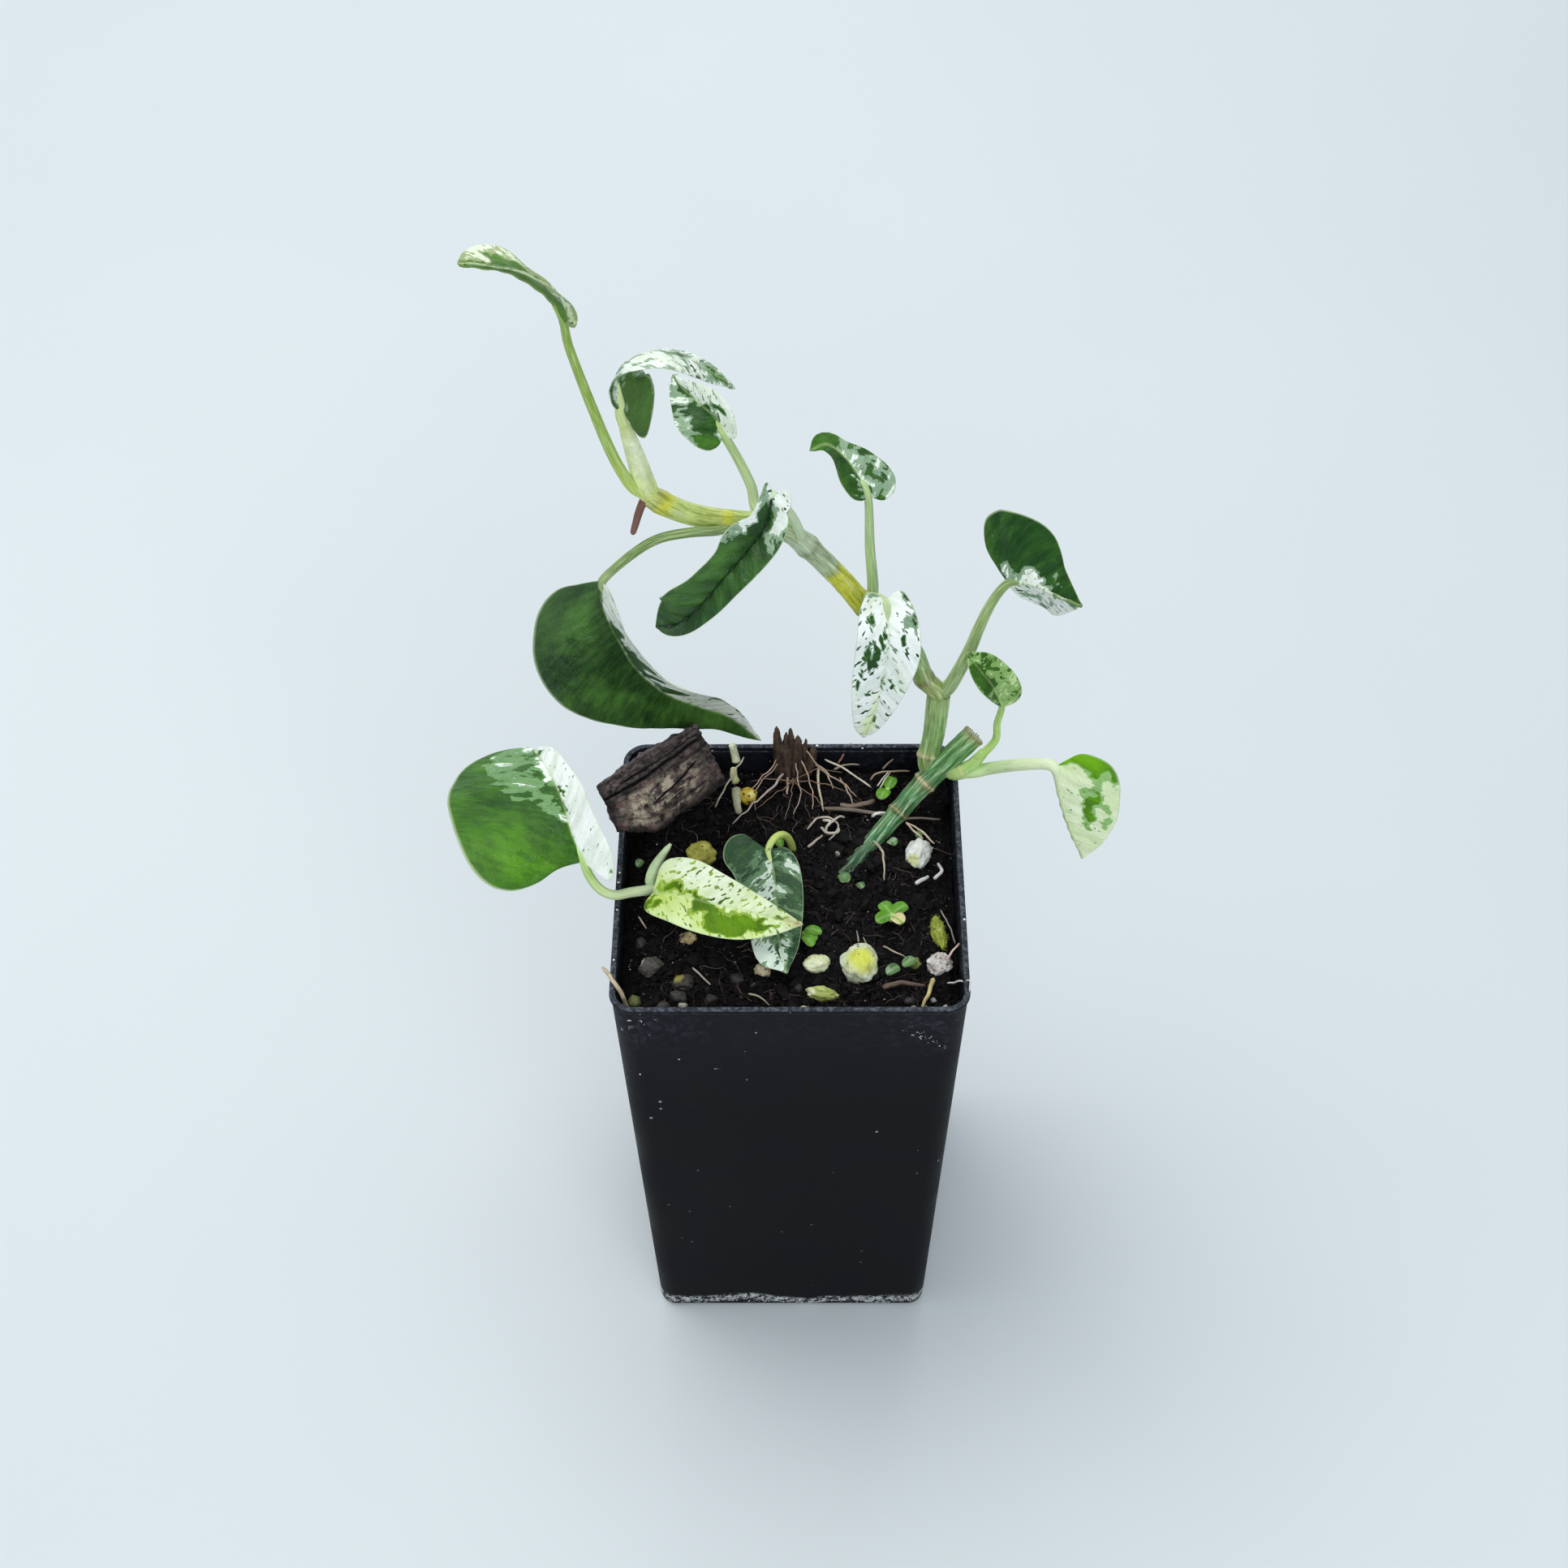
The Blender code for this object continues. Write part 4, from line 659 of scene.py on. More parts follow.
# Patches are (row, side, row reach, side reach, amount), with side from -1 to 1 across the leaf.
# pale starts at (plus side, minus side): under 0.3 is green, up to 0.5 grey-green, above that white.
leaves = {
    "leaf_top": {
        "slot": "leaf_dark",
        "petiole": [(-22.5, 10, 191.5), (-24.7, 9, 194), (-27, 8.2, 200), (-29.5, 8, 209), (-32.5, 7, 223),
            (-33, 6, 229)],
        "diameter": (2, 1.3),
        "stalkTint": [(0, (0.55, 0.68, 0.14)), (0.3, (0.3, 0.45, 0.07)), (1, (0.24, 0.38, 0.06))],
        "rib": [(-33, 6, 229), (-34, 6, 232.5), (-36.5, 5.5, 236), (-40, 5, 239), (-43.5, 4, 240.5),
            (-47, 3, 242)],
        "face": [(0.8, 0.45, 0.3), (0.3, 0.6, 0.75), (0, 0.6, 0.8)], "width": (5.5, 6),
        "fold": [(30, 35), (15, 5)], "curl": [(0, 0), (0, -40)],
        "half": ([(0, 0), (0, 0.3), (0.12, 0.55), (0.3, 0.6), (0.45, 0.62), (0.62, 1), (0.8, 0.95),
            (0.93, 0.5), (1, 0)], oval),
        "pale": (0.4, 0.36), "fleck": 0.4, "glow": 0.35, "dark": (0.05, 0.12, 0.015),
        "grey": (0.36, 0.45, 0.2),
        "palePatches": [(0.5, 0, 0.9, 0.4, -0.5), (0.3, -0.6, 0.14, 0.25, 0.5),
            (0.75, 0.75, 0.16, 0.3, 0.45), (0.85, 0.85, 0.1, 0.25, -0.3), (0.6, 0.2, 0.12, 0.4, -0.3)],
        "glowPatches": [(0.2, -0.8, 0.2, 0.5, 0.6)],
    },
    "leaf_arched": {
        "slot": "leaf_pale", "petiole": [(-25.3, 10.5, 204.5), (-26, 11, 207), (-26, 11, 209.5)],
        "diameter": (1.8, 1.6), "stalkTint": [(0, (0.6, 0.7, 0.3)), (1, (0.65, 0.75, 0.35))],
        "rib": [(-26, 11, 209.5), (-26.5, 12, 213), (-24.5, 13, 216), (-20, 14, 217), (-15, 15, 214.5),
            (-11, 15, 211.5), (-8, 15, 209)],
        "face": [(-1, -0.1, 0.2), (0, -0.1, 1), (0.5, -0.3, 0.8)], "width": (6.5, 7),
        "fold": [(30, 10), (-70, -10)], "curl": [(0, -20), (0, 0)],
        "half": ([(0, 0), (-0.02, 0.2), (0.05, 0.42), (0.16, 0.62), (0.32, 0.9), (0.52, 0.84), (0.8, 0.42),
            (1, 0)], [(0, 0), (-0.12, 0.1), (-0.23, 0.24), (-0.26, 0.42), (-0.18, 0.62), (-0.06, 0.82),
            (0.1, 0.94), (0.3, 0.88), (0.52, 0.78), (0.8, 0.42), (1, 0)]),
        "pale": (0.62, 0.6), "fleck": 0.35, "glow": 0.2, "ragged": 0.6,
        "palePatches": [(0.24, 0.1, 0.07, 0.3, -0.8), (0.62, 0.02, 0.06, 0.25, -0.7),
            (0.7, -0.3, 0.06, 0.3, -0.3), (0.37, -0.05, 0.05, 0.15, -0.35), (0.92, 0.3, 0.12, 0.6, -0.45),
            (0.2, 0.95, 0.2, 0.2, -0.5), (0.16, -0.75, 0.26, 0.42, -0.9)],
        "glowPatches": [(0.9, 0.3, 0.15, 0.6, 0.2)],
    },
    "leaf_back": {
        "slot": "leaf_pale",
        "petiole": [(-4.5, 13, 183), (-5.5, 16, 184), (-6, 18, 186), (-8, 21, 189), (-10.5, 23, 193)],
        "diameter": (1.9, 1.5), "stalkTint": [(0, (0.5, 0.62, 0.35)), (1, (0.3, 0.45, 0.15))],
        "rib": [(-10.5, 23, 193), (-12, 25, 195), (-14.5, 28, 195.5), (-17.5, 31, 196.5),
            (-19, 33, 197.5)],
        "face": [(0.2, -0.5, 0.85)], "width": (4, 6.5), "fold": [(60, 60), (5, 5)], "half": (heart, heart),
        "pale": (0.72, 0.52), "fleck": 0.3, "glow": 0.15, "ragged": 0.65,
        "palePatches": [(0.42, -0.3, 0.17, 0.24, -1.0), (0.85, 0.0, 0.16, 0.22, -0.9),
            (0.42, 0.62, 0.05, 0.14, -0.9), (0.2, -0.75, 0.1, 0.25, -0.5), (0.65, -0.85, 0.2, 0.15, -0.3)],
        "glowPatches": [(0.2, -0.75, 0.12, 0.3, 0.5)],
    },
    "leaf_folded": {
        "slot": "leaf_dark",
        "petiole": [(1, 15, 178), (2, 13, 180), (0.5, 9, 188), (-2, 6.4, 194), (-2.6, 5.8, 195.4)],
        "diameter": (1.7, 1.5), "stalkTint": [(0, (0.5, 0.62, 0.4)), (1, (0.6, 0.72, 0.5))],
        "rib": [(-2.5, 6, 195), (-3.5, 3, 191), (-7, 0, 187.5), (-10.5, -2, 184), (-14, -3, 179.5),
            (-17.5, -3.5, 176), (-21.5, -3.5, 175)],
        "face": [(0.1, -0.75, 0.65)], "width": (5.8, 4.4), "fold": [(35, 25), (35, 25)], "overlap": 0,
        "half": ([(0, 0), (-0.05, 0.14), (-0.05, 0.32), (0.04, 0.44), (0.14, 0.66), (0.3, 1), (0.43, 0.78),
            (0.56, 0.84), (0.75, 1.08), (0.93, 0.86), (1, 0)], [(0, 0), (-0.03, 0.3), (-0.03, 0.7),
            (0.02, 0.9), (0.08, 0.78), (0.25, 0.98), (0.5, 0.85), (0.78, 0.62), (0.93, 0.4), (1, 0)]),
        # spine here is painted shade darkening the midrib groove of the fold
        "pale": (0.06, 0.06), "fleck": 0.3, "glow": 0.05, "quilting": 0.16, "spine": (0.008, 0.026, 0.012),
        "spineAmount": 0.9, "sheen": 0.36,
        "palePatches": [(0.27, 1.0, 0.13, 0.34, 0.9), (0.2, -0.85, 0.15, 0.42, 0.95),
            (0.05, 0.8, 0.06, 0.6, 0.9), (0.52, -1.0, 0.02, 0.13, 0.8)],
        # the first two glow patches paint a grey-green sheen on the bulges of the plus side: painted highlights
        "glowPatches": [(0.45, 0.75, 0.1, 0.25, 0.35), (0.62, 0.85, 0.08, 0.2, 0.35),
            (0.72, 0.45, 0.1, 0.3, 0.25), (0.4, -0.8, 0.12, 0.3, 0.25), (0.2, -0.3, 0.1, 0.3, 0.2)],
    },
    "leaf_large": {
        "slot": "leaf_dark",
        "petiole": [(-8.5, 12, 184), (-11, 9.5, 184.3), (-16, 7, 186), (-21, 6, 185.5), (-25.5, 6, 182),
            (-30.5, 7, 175.5)],
        "diameter": (1.7, 1.5),
        "stalkTint": [(0, (0.3, 0.42, 0.16)), (0.5, (0.12, 0.22, 0.05)), (1, (0.35, 0.45, 0.2))],
        "rib": [(-30.5, 7, 175.5), (-31, 8.5, 168.5), (-29.5, 12.5, 157), (-27, 17.5, 144),
            (-22.5, 23, 132), (-16.5, 28, 123), (-11, 30, 118), (-5.5, 30.5, 111)],
        "face": [(-0.63, -0.78, -0.1), (-0.3, -0.9, -0.2), (0.16, -0.93, -0.33)], "width": (15, 10),
        "fold": [(45, 42, 12), (22, 15, 4, 6)],
        "half": ([(0, 0), (0.01, 0.25), (0.03, 0.5), (0.11, 0.78), (0.26, 1), (0.44, 0.97), (0.64, 0.66),
            (0.8, 0.38), (0.93, 0.18), (1, 0)], [(0, 0), (0, 0.36), (0.06, 0.72), (0.25, 0.9),
            (0.55, 0.98), (0.78, 0.58), (0.92, 0.18), (1, 0)]),
        "pale": (0.05, 0.9), "fleck": 0.2, "glow": 0.14, "ragged": 0.42, "white": (0.97, 0.99, 0.96),
        "sheen": 0.36, "dark": (0.014, 0.056, 0.01), "bright": (0.1, 0.26, 0.04),
        "grey": (0.1, 0.18, 0.09),
        "palePatches": [(0.27, -0.3, 0.035, 0.3, -1.1), (0.37, -0.3, 0.03, 0.25, -1.1),
            (0.42, -0.5, 0.025, 0.3, -1.1), (0.5, -0.3, 0.02, 0.25, -1.0), (0.62, -0.4, 0.03, 0.3, -1.0),
            (0.42, -0.12, 0.26, 0.12, -0.6), (0.78, -1.0, 0.14, 0.12, -0.8),
            # the patches at rows 0.3 and 0.33 on the plus side paint a sheen: a grey-green ring round a darker
            # dimple, a painted highlight
            (0.5, -0.35, 0.02, 0.15, -0.6), (0.3, 0.42, 0.08, 0.2, 0.27), (0.33, 0.46, 0.03, 0.08, -0.3),
            (0.6, 0.5, 0.1, 0.15, 0.16)],
        # the first two glow patches paint the same sheen: a painted highlight with a darker middle
        "glowPatches": [(0.28, 0.5, 0.1, 0.25, 0.62), (0.32, 0.5, 0.035, 0.09, -0.85),
            (0.52, 0.62, 0.07, 0.2, 0.5), (0.17, 0.35, 0.06, 0.2, 0.35), (0.62, 0.35, 0.08, 0.12, 0.4),
            (0.42, 0.2, 0.13, 0.14, -0.45), (0.42, 0.8, 0.08, 0.2, -0.4), (0.3, 0.95, 0.3, 0.1, 0.25),
            (0.85, 0.4, 0.12, 0.6, 0.3)],
    },
    "leaf_tall": {
        "slot": "leaf_pale",
        "petiole": [(14.2, 21, 155.5), (14.6, 22.8, 159), (14, 25, 166), (13.5, 27, 176)],
        "diameter": (2.2, 1.4), "stalkTint": [(0, (0.35, 0.5, 0.25)), (1, (0.38, 0.52, 0.24))],
        "rib": [(13.5, 27, 176), (12, 29, 178.5), (9.5, 32, 180.5), (6.5, 34, 181.5), (3.5, 34, 180)],
        "face": [(0.1, -0.5, 0.85)], "width": (5.5, 4.5), "fold": [(10, 10), (10, 10)],
        "half": ([(0, 0), (-0.12, 0.4), (-0.06, 0.85), (0.12, 1), (0.4, 0.72), (0.62, 0.4), (0.85, 0.36),
            (1, 0)], [(0, 0), (-0.02, 0.3), (0.06, 0.65), (0.25, 0.8), (0.45, 0.62), (0.62, 0.4),
            (0.78, 0.3), (1, 0)]),
        "pale": (0.52, 0.12), "fleck": 0.35, "glow": 0.12, "ragged": 0.65,
        "palePatches": [(0.56, 0.75, 0.07, 0.32, -0.9), (0.37, 0.58, 0.03, 0.1, -0.9),
            (0.38, 0.25, 0.08, 0.15, -0.5), (0.14, 0.3, 0.05, 0.12, -0.8), (0.12, 0.95, 0.04, 0.2, -0.6),
            (0.3, -0.4, 0.12, 0.15, 0.6), (0.9, 0, 0.16, 2, -0.7)],
        "glowPatches": [(0.9, 0, 0.16, 2, 0.4)],
    },
    "leaf_speckled": {
        "slot": "leaf_pale", "petiole": [(12.5, 20, 158), (14, 17.5, 161.5), (16.5, 13, 164.5)],
        "diameter": (1.9, 1.4), "stalkTint": [(0, (0.35, 0.5, 0.2)), (1, (0.5, 0.62, 0.35))],
        "rib": [(16.5, 13, 164.5), (17, 9, 159.5), (16, 7, 151), (14.5, 7, 142), (13, 8, 136)],
        "face": [(0, -0.85, 0.4)], "width": (6, 5.8), "fold": [(20, 20), (20, 20)],
        "half": ([(0, 0), (-0.05, 0.25), (-0.05, 0.58), (0.07, 0.86), (0.27, 1), (0.55, 0.88), (0.85, 0.5),
            (1, 0)], [(0, 0), (-0.05, 0.25), (-0.05, 0.58), (0.06, 0.86), (0.27, 1), (0.55, 0.7),
            (0.85, 0.3), (1, 0)]),
        "pale": (0.84, 0.88), "fleck": 0.27, "glow": 0.04, "ragged": 0.5, "white": (0.92, 0.96, 0.93),
        "palePatches": [(0.44, 0.55, 0.05, 0.11, -1.1), (0.38, 0.4, 0.05, 0.1, -1.1),
            (0.3, 0.1, 0.06, 0.08, -0.9), (0.2, 0.05, 0.06, 0.08, -0.6), (0.12, 1, 0.12, 0.25, -0.6),
            (0.25, -0.97, 0.14, 0.17, -0.8), (0.3, -0.65, 0.06, 0.12, -0.4), (0.36, -0.5, 0.02, 0.07, -1),
            (0.52, -0.12, 0.035, 0.08, -1), (0.53, -0.45, 0.02, 0.07, -1), (0.61, -0.5, 0.02, 0.14, -1.1),
            (0.61, 0.3, 0.025, 0.08, -1), (0.8, -0.25, 0.025, 0.15, -1), (0.55, 0.75, 0.03, 0.1, -0.8),
            (0.25, 0.72, 0.03, 0.08, -0.6), (0.5, 0.9, 0.03, 0.08, -0.8)],
        "glowPatches": [(0.75, 0.1, 0.16, 0.3, 0.7), (0.92, 0.3, 0.1, 0.8, 0.6),
            (0.2, 0.8, 0.06, 0.1, 0.5)],
    },
    "leaf_right": {
        "slot": "leaf_dark",
        "petiole": [(27.5, 27, 127.5), (29.6, 27, 130), (32.5, 27, 138.5), (34, 27, 144.5), (36, 27, 151),
            (38.5, 27, 155.5)],
        "diameter": (2.9, 1.6),
        "stalkTint": [(0, (0.3, 0.42, 0.2)), (0.5, (0.32, 0.45, 0.18)), (1, (0.2, 0.3, 0.1))],
        "rib": [(38.5, 27, 155.5), (42.5, 24, 158), (46.5, 20, 159), (50.5, 17, 159.5)],
        "face": [(-0.35, -0.68, 0.35)], "width": (8, 13.5), "fold": [(-40, -40), (0, 0)],
        "half": (oval, [(0, 0), (-0.12, 0.22), (-0.24, 0.52), (-0.18, 0.86), (0.1, 0.99), (0.42, 0.8),
            (0.7, 0.4), (1, 0)]),
        "pale": (0.66, 0.05), "fleck": 0.35, "glow": 0.03, "ragged": 0.6, "white": (0.92, 0.96, 0.93),
        "dark": (0.015, 0.065, 0.012),
        "palePatches": [(0.4, -0.03, 0.3, 0.16, 0.7), (0.15, -0.35, 0.12, 0.22, 0.42),
            (0.4, -0.25, 0.12, 0.12, 0.3), (0.72, 0.05, 0.06, 0.2, -0.8), (0.35, 0.45, 0.2, 0.13, -0.35),
            (0.92, -0.2, 0.1, 0.4, -0.6), (0.45, 0.95, 0.04, 0.2, -0.7), (0.72, -0.3, 0.1, 0.2, 0.3)],
        "glowPatches": [(0.2, -0.85, 0.12, 0.3, 0.35)],
    },
    "leaf_young": {
        "slot": "leaf_green",
        "petiole": [(35.6, 21, 117.2), (38, 21, 121.5), (38, 20.5, 126.5), (38.5, 20, 131.5)],
        "diameter": (1.6, 1.2),
        "stalkTint": [(0, (0.5, 0.75, 0.2)), (0.6, (0.45, 0.7, 0.2)), (1, (0.25, 0.4, 0.12))],
        "rib": [(38.5, 20, 131.5), (36.5, 19, 137.5), (33.5, 19, 142.5), (31.5, 20, 145.5)],
        "face": [(0.1, -0.8, 0.6)], "width": (4.7, 3.6), "fold": [(15, 15), (50, 30)],
        "half": ([(0, 0), (-0.02, 0.25), (0, 0.58), (0.1, 0.86), (0.28, 1), (0.52, 0.98), (0.84, 0.75),
            (1, 0)], [(0, 0), (0.06, 0.18), (0.18, 0.38), (0.36, 0.66), (0.58, 0.85), (0.82, 0.55),
            (1, 0)]),
        "pale": (0.42, 0.38), "fleck": 0.1, "glow": 0.15, "ragged": 0.5, "dark": (0.03, 0.1, 0.01),
        "bright": (0.1, 0.3, 0.02), "grey": (0.3, 0.5, 0.15), "white": (0.58, 0.78, 0.4),
        "palePatches": [(0.72, -0.45, 0.14, 0.42, -0.5), (0.55, -0.25, 0.08, 0.25, -0.4),
            (0.68, 0.6, 0.06, 0.12, -0.5), (0.5, 0.72, 0.06, 0.1, -0.45), (0.3, 0.72, 0.09, 0.15, -0.5),
            (0.92, 0.5, 0.06, 0.3, -0.3), (0.3, -0.3, 0.1, 0.3, -0.2), (0.85, 0.12, 0.1, 0.12, 0.22),
            (0.78, 0.42, 0.1, 0.08, 0.22)],
        "glowPatches": [(0.35, 0.95, 0.2, 0.15, 0.5)],
    },
    "leaf_side": {
        "slot": "leaf_cream",
        "petiole": [(31.5, 21, 112.6), (34.5, 20.6, 113.2), (37.5, 20, 114.8), (42, 17, 119),
            (46.5, 15, 121.5), (48.5, 14, 121.5)],
        "diameter": (2.5, 2.2),
        "stalkTint": [(0, (0.55, 0.78, 0.3)), (0.5, (0.72, 0.86, 0.52)), (1, (0.82, 0.9, 0.66))],
        "rib": [(48.5, 14, 121.5), (49.4, 13, 116), (51.8, 12, 108), (55.5, 12, 98)],
        "face": [(-0.3, -0.85, 0.3)], "width": (5, 11.5), "fold": [(-75, -85), (0, 0)],
        "half": (oval, [(0, 0), (-0.08, 0.2), (-0.15, 0.5), (-0.06, 0.9), (0.15, 1.03), (0.5, 0.87),
            (0.8, 0.48), (1, 0)]),
        # glow and bright give this leaf its vivid yellow-green: its own colour, lifted with painted light where it
        # is lit through from behind
        "pale": (0.9, 0.86), "fleck": 0.05, "glow": 0.3, "ragged": 0.3, "dark": (0.06, 0.2, 0.006),
        "bright": (0.2, 0.52, 0.005), "grey": (0.36, 0.62, 0.22), "white": (0.9, 0.98, 0.72),
        "cream": (0.78, 0.95, 0.42),
        "palePatches": [(0.17, -1.0, 0.2, 0.3, -1.7), (0.53, -0.44, 0.1, 0.12, -0.85),
            (0.44, -0.6, 0.08, 0.1, -0.5), (0.62, -0.78, 0.14, 0.15, -0.46),
            (0.68, -0.42, 0.08, 0.1, -0.4), (0.36, -0.5, 0.06, 0.08, -0.4)],
        "glowPatches": [(0.14, -0.95, 0.14, 0.4, 0.55), (0.53, -0.44, 0.1, 0.12, 0.1)],
    },
    "leaf_broad": {
        "slot": "leaf_green",
        "petiole": [(-24.3, -5.1, 110), (-28.5, -7, 111.5), (-31.5, -8.5, 112.5), (-34, -8, 113.5),
            (-36, -6, 115), (-37, -4, 116.5)],
        "diameter": (2, 1.6),
        "stalkTint": [(0, (0.62, 0.72, 0.5)), (0.4, (0.6, 0.7, 0.4)), (0.7, (0.3, 0.5, 0.12)),
            (1, (0.5, 0.68, 0.3))],
        "rib": [(-37, -4, 116.5), (-39.5, 1.5, 118.5), (-41.5, 9, 118.5), (-45, 18.5, 116),
            (-49, 29, 111)],
        "face": [(0, -0.2, 1)], "width": (6.2, 19.3), "fold": [(40, 40), (0, 0)],
        "half": ([(0, 0), (-0.1, 0.3), (-0.16, 0.62), (-0.06, 1), (0.2, 0.95), (0.5, 0.72), (0.8, 0.5),
            (1, 0)], [(0, 0), (0.01, 0.25), (-0.02, 0.5), (0, 0.76), (0.12, 0.96), (0.28, 1.05),
            (0.5, 1.05), (0.72, 1), (0.9, 0.88), (1.05, 0.66), (1.1, 0.38), (1.06, 0.14), (1, 0)]),
        # glow and bright give this leaf its vivid yellow-green: its own colour, lifted with painted light where it
        # is lit through from behind
        "pale": (0.95, 0.03), "fleck": 0.12, "glow": 0.14, "ragged": 0.4, "quilting": 0.02, "ripple": 0.8,
        "dark": (0.022, 0.1, 0.006), "bright": (0.085, 0.27, 0.002), "grey": (0.17, 0.34, 0.13),
        "white": (0.9, 0.94, 0.92), "cream": (0.8, 0.88, 0.7), "sweep": (0.2, 0.82, 0.38),
        "palePatches": [(0.75, -0.04, 0.28, 0.07, 0.25), (0.9, -0.85, 0.08, 0.14, 0.14),
            (0.97, -0.3, 0.03, 0.3, 0.2), (0.88, 0.3, 0.05, 0.34, -1.2), (0.52, 0.04, 0.04, 0.1, -1.2),
            (0.4, 0.02, 0.06, 0.06, -1.2), (0.54, 0.5, 0.02, 0.12, -0.8), (0.54, -0.26, 0.02, 0.05, -0.5),
            (0.74, -0.2, 0.02, 0.05, -0.5), (0.45, -0.26, 0.02, 0.06, -0.3),
            (0.9, -0.08, 0.05, 0.05, -0.6), (0.66, -0.12, 0.03, 0.04, -0.5)],
        "glowPatches": [(0.24, -0.62, 0.12, 0.28, 0.75), (0.12, -0.55, 0.08, 0.3, 0.25),
            (0.5, -0.95, 0.2, 0.12, 0.25), (0.32, -0.3, 0.08, 0.12, -0.15)],
    },
    "leaf_bright": {
        "slot": "leaf_cream",
        "petiole": [(-22.3, -5, 108.5), (-23.2, -6.8, 110.6), (-23.8, -7.8, 112.4), (-23.4, -8.4, 113.2)],
        "diameter": (1.7, 1.5), "overlap": 0, "stalkTint": [(0, (0.4, 0.58, 0.2)), (1, (0.5, 0.66, 0.25))],
        "rib": [(-24.5, -8, 112.5), (-20, -10, 114.5), (-13.5, -12.5, 115), (-6, -14, 114),
            (2.5, -14.5, 111.5)],
        "face": [(0, -0.6, 0.8)], "width": (5.8, 6.8), "fold": [(10, 10), (10, 10)],
        "half": ([(0, 0), (-0.05, 0.3), (-0.03, 0.6), (0.12, 0.84), (0.35, 1), (0.6, 0.94), (0.82, 0.55),
            (1, 0)], [(0, 0), (0.02, 0.3), (0.05, 0.6), (0.13, 0.93), (0.28, 1), (0.5, 0.76), (0.8, 0.33),
            (1, 0)]),
        # glow and bright give this leaf its vivid yellow-green: its own colour, lifted with painted light where it
        # is lit through from behind
        "pale": (0.76, 0.82), "fleck": 0.38, "glow": 0.26, "ragged": 0.55, "dark": (0.045, 0.12, 0.003),
        "bright": (0.15, 0.32, 0.003), "grey": (0.32, 0.48, 0.06), "white": (0.84, 0.92, 0.7),
        "cream": (0.56, 0.76, 0.07),
        "palePatches": [(0.45, 0.3, 0.08, 0.2, -0.8), (0.56, 0.62, 0.07, 0.2, -0.9),
            (0.68, 0.5, 0.07, 0.2, -0.85), (0.78, 0.55, 0.05, 0.16, -0.7), (0.4, 0.12, 0.06, 0.14, -0.6),
            (0.6, 0.34, 0.06, 0.1, -0.5), (0.2, 0.6, 0.03, 0.2, -0.9), (0.12, 0.75, 0.04, 0.2, -0.7),
            (0.75, 0.12, 0.04, 0.12, -0.9), (0.87, -0.1, 0.03, 0.2, -0.9), (0.58, 0.15, 0.1, 0.12, -0.35),
            (0.24, -0.3, 0.09, 0.2, -0.75), (0.08, 0.4, 0.05, 0.3, -0.6), (0.1, -0.5, 0.08, 0.6, -0.4),
            (0.33, -0.04, 0.08, 0.05, -0.7)],
        "glowPatches": [(0.55, 0.5, 0.2, 0.4, 0.5), (0.15, 0.3, 0.2, 0.6, 0.3),
            (0.1, -0.4, 0.12, 0.6, 0.45), (0.5, -0.6, 0.3, 0.5, -0.35)],
        "brownPatches": [(0.97, 0.2, 0.05, 0.7, 0.9)],
    },
    "leaf_low": {
        "slot": "leaf_pale",
        "petiole": [(0.5, 10, 99), (0.3, 9.5, 105), (-1, 8.6, 109), (-2.8, 6.6, 110.6), (-4, 4, 110)],
        "diameter": (1.6, 1.3),
        "stalkTint": [(0, (0.25, 0.35, 0.08)), (0.6, (0.55, 0.66, 0.12)), (1, (0.6, 0.72, 0.3))],
        "rib": [(-4, 4, 110), (-3, -1, 110), (-2.5, -6.5, 108.5), (-2, -14.5, 107.5), (-0.5, -22, 107)],
        "face": [(0, -0.25, 0.95)], "width": (8.6, 4.9), "fold": [(10, 10), (10, 10)],
        "half": ([(0, 0), (-0.06, 0.15), (-0.17, 0.45), (-0.12, 0.82), (0.05, 1), (0.28, 0.8), (0.6, 0.62),
            (0.88, 0.52), (1, 0)],
            [(0, 0), (0, 0.3), (0.03, 0.7), (0.2, 1), (0.5, 1), (0.8, 0.7), (1, 0)]),
        "pale": (0.46, 0.2), "fleck": 0.45, "glow": 0.0, "ragged": 0.7, "dark": (0.016, 0.066, 0.022),
        "grey": (0.13, 0.25, 0.12), "white": (0.72, 0.82, 0.72), "sheen": 0.26,
        "palePatches": [(0.2, 0.85, 0.19, 0.36, -0.55), (0.05, 0.7, 0.1, 0.5, -0.3),
            (0.25, 0.12, 0.2, 0.1, 0.15), (0.15, -0.55, 0.04, 0.25, 0.5), (0.3, -0.85, 0.12, 0.12, 0.45),
            (0.42, -0.25, 0.05, 0.2, 0.3), (0.85, 0.6, 0.16, 0.5, 0.35), (0.82, -0.25, 0.12, 0.3, 0.45),
            (0.8, 0.18, 0.1, 0.07, -0.8), (0.82, -0.8, 0.15, 0.2, -0.2)],
    },
}

leafLooks = {
    "dark": (0.015, 0.062, 0.012), "bright": (0.09, 0.26, 0.02), "grey": (0.27, 0.4, 0.26),
    "white": (0.84, 0.9, 0.86), "cream": (0.72, 0.84, 0.45), "ragged": 0.5,
    "thickness": 0.42, "quilting": 0.07, "ripple": 0.5, "rippleSize": 6.0,
    "spine": (0.5, 0.64, 0.3), "spineAmount": 0.3, "sheen": 0.17,
}


leafTones = {"rim": (0.55, 0.66, 0.42), "under": (0.2, 0.3, 0.1), "brown": (0.42, 0.25, 0.1)}


def lookOf(leaf):
    return {key: leaf.get(key, value) for key, value in leafLooks.items()}


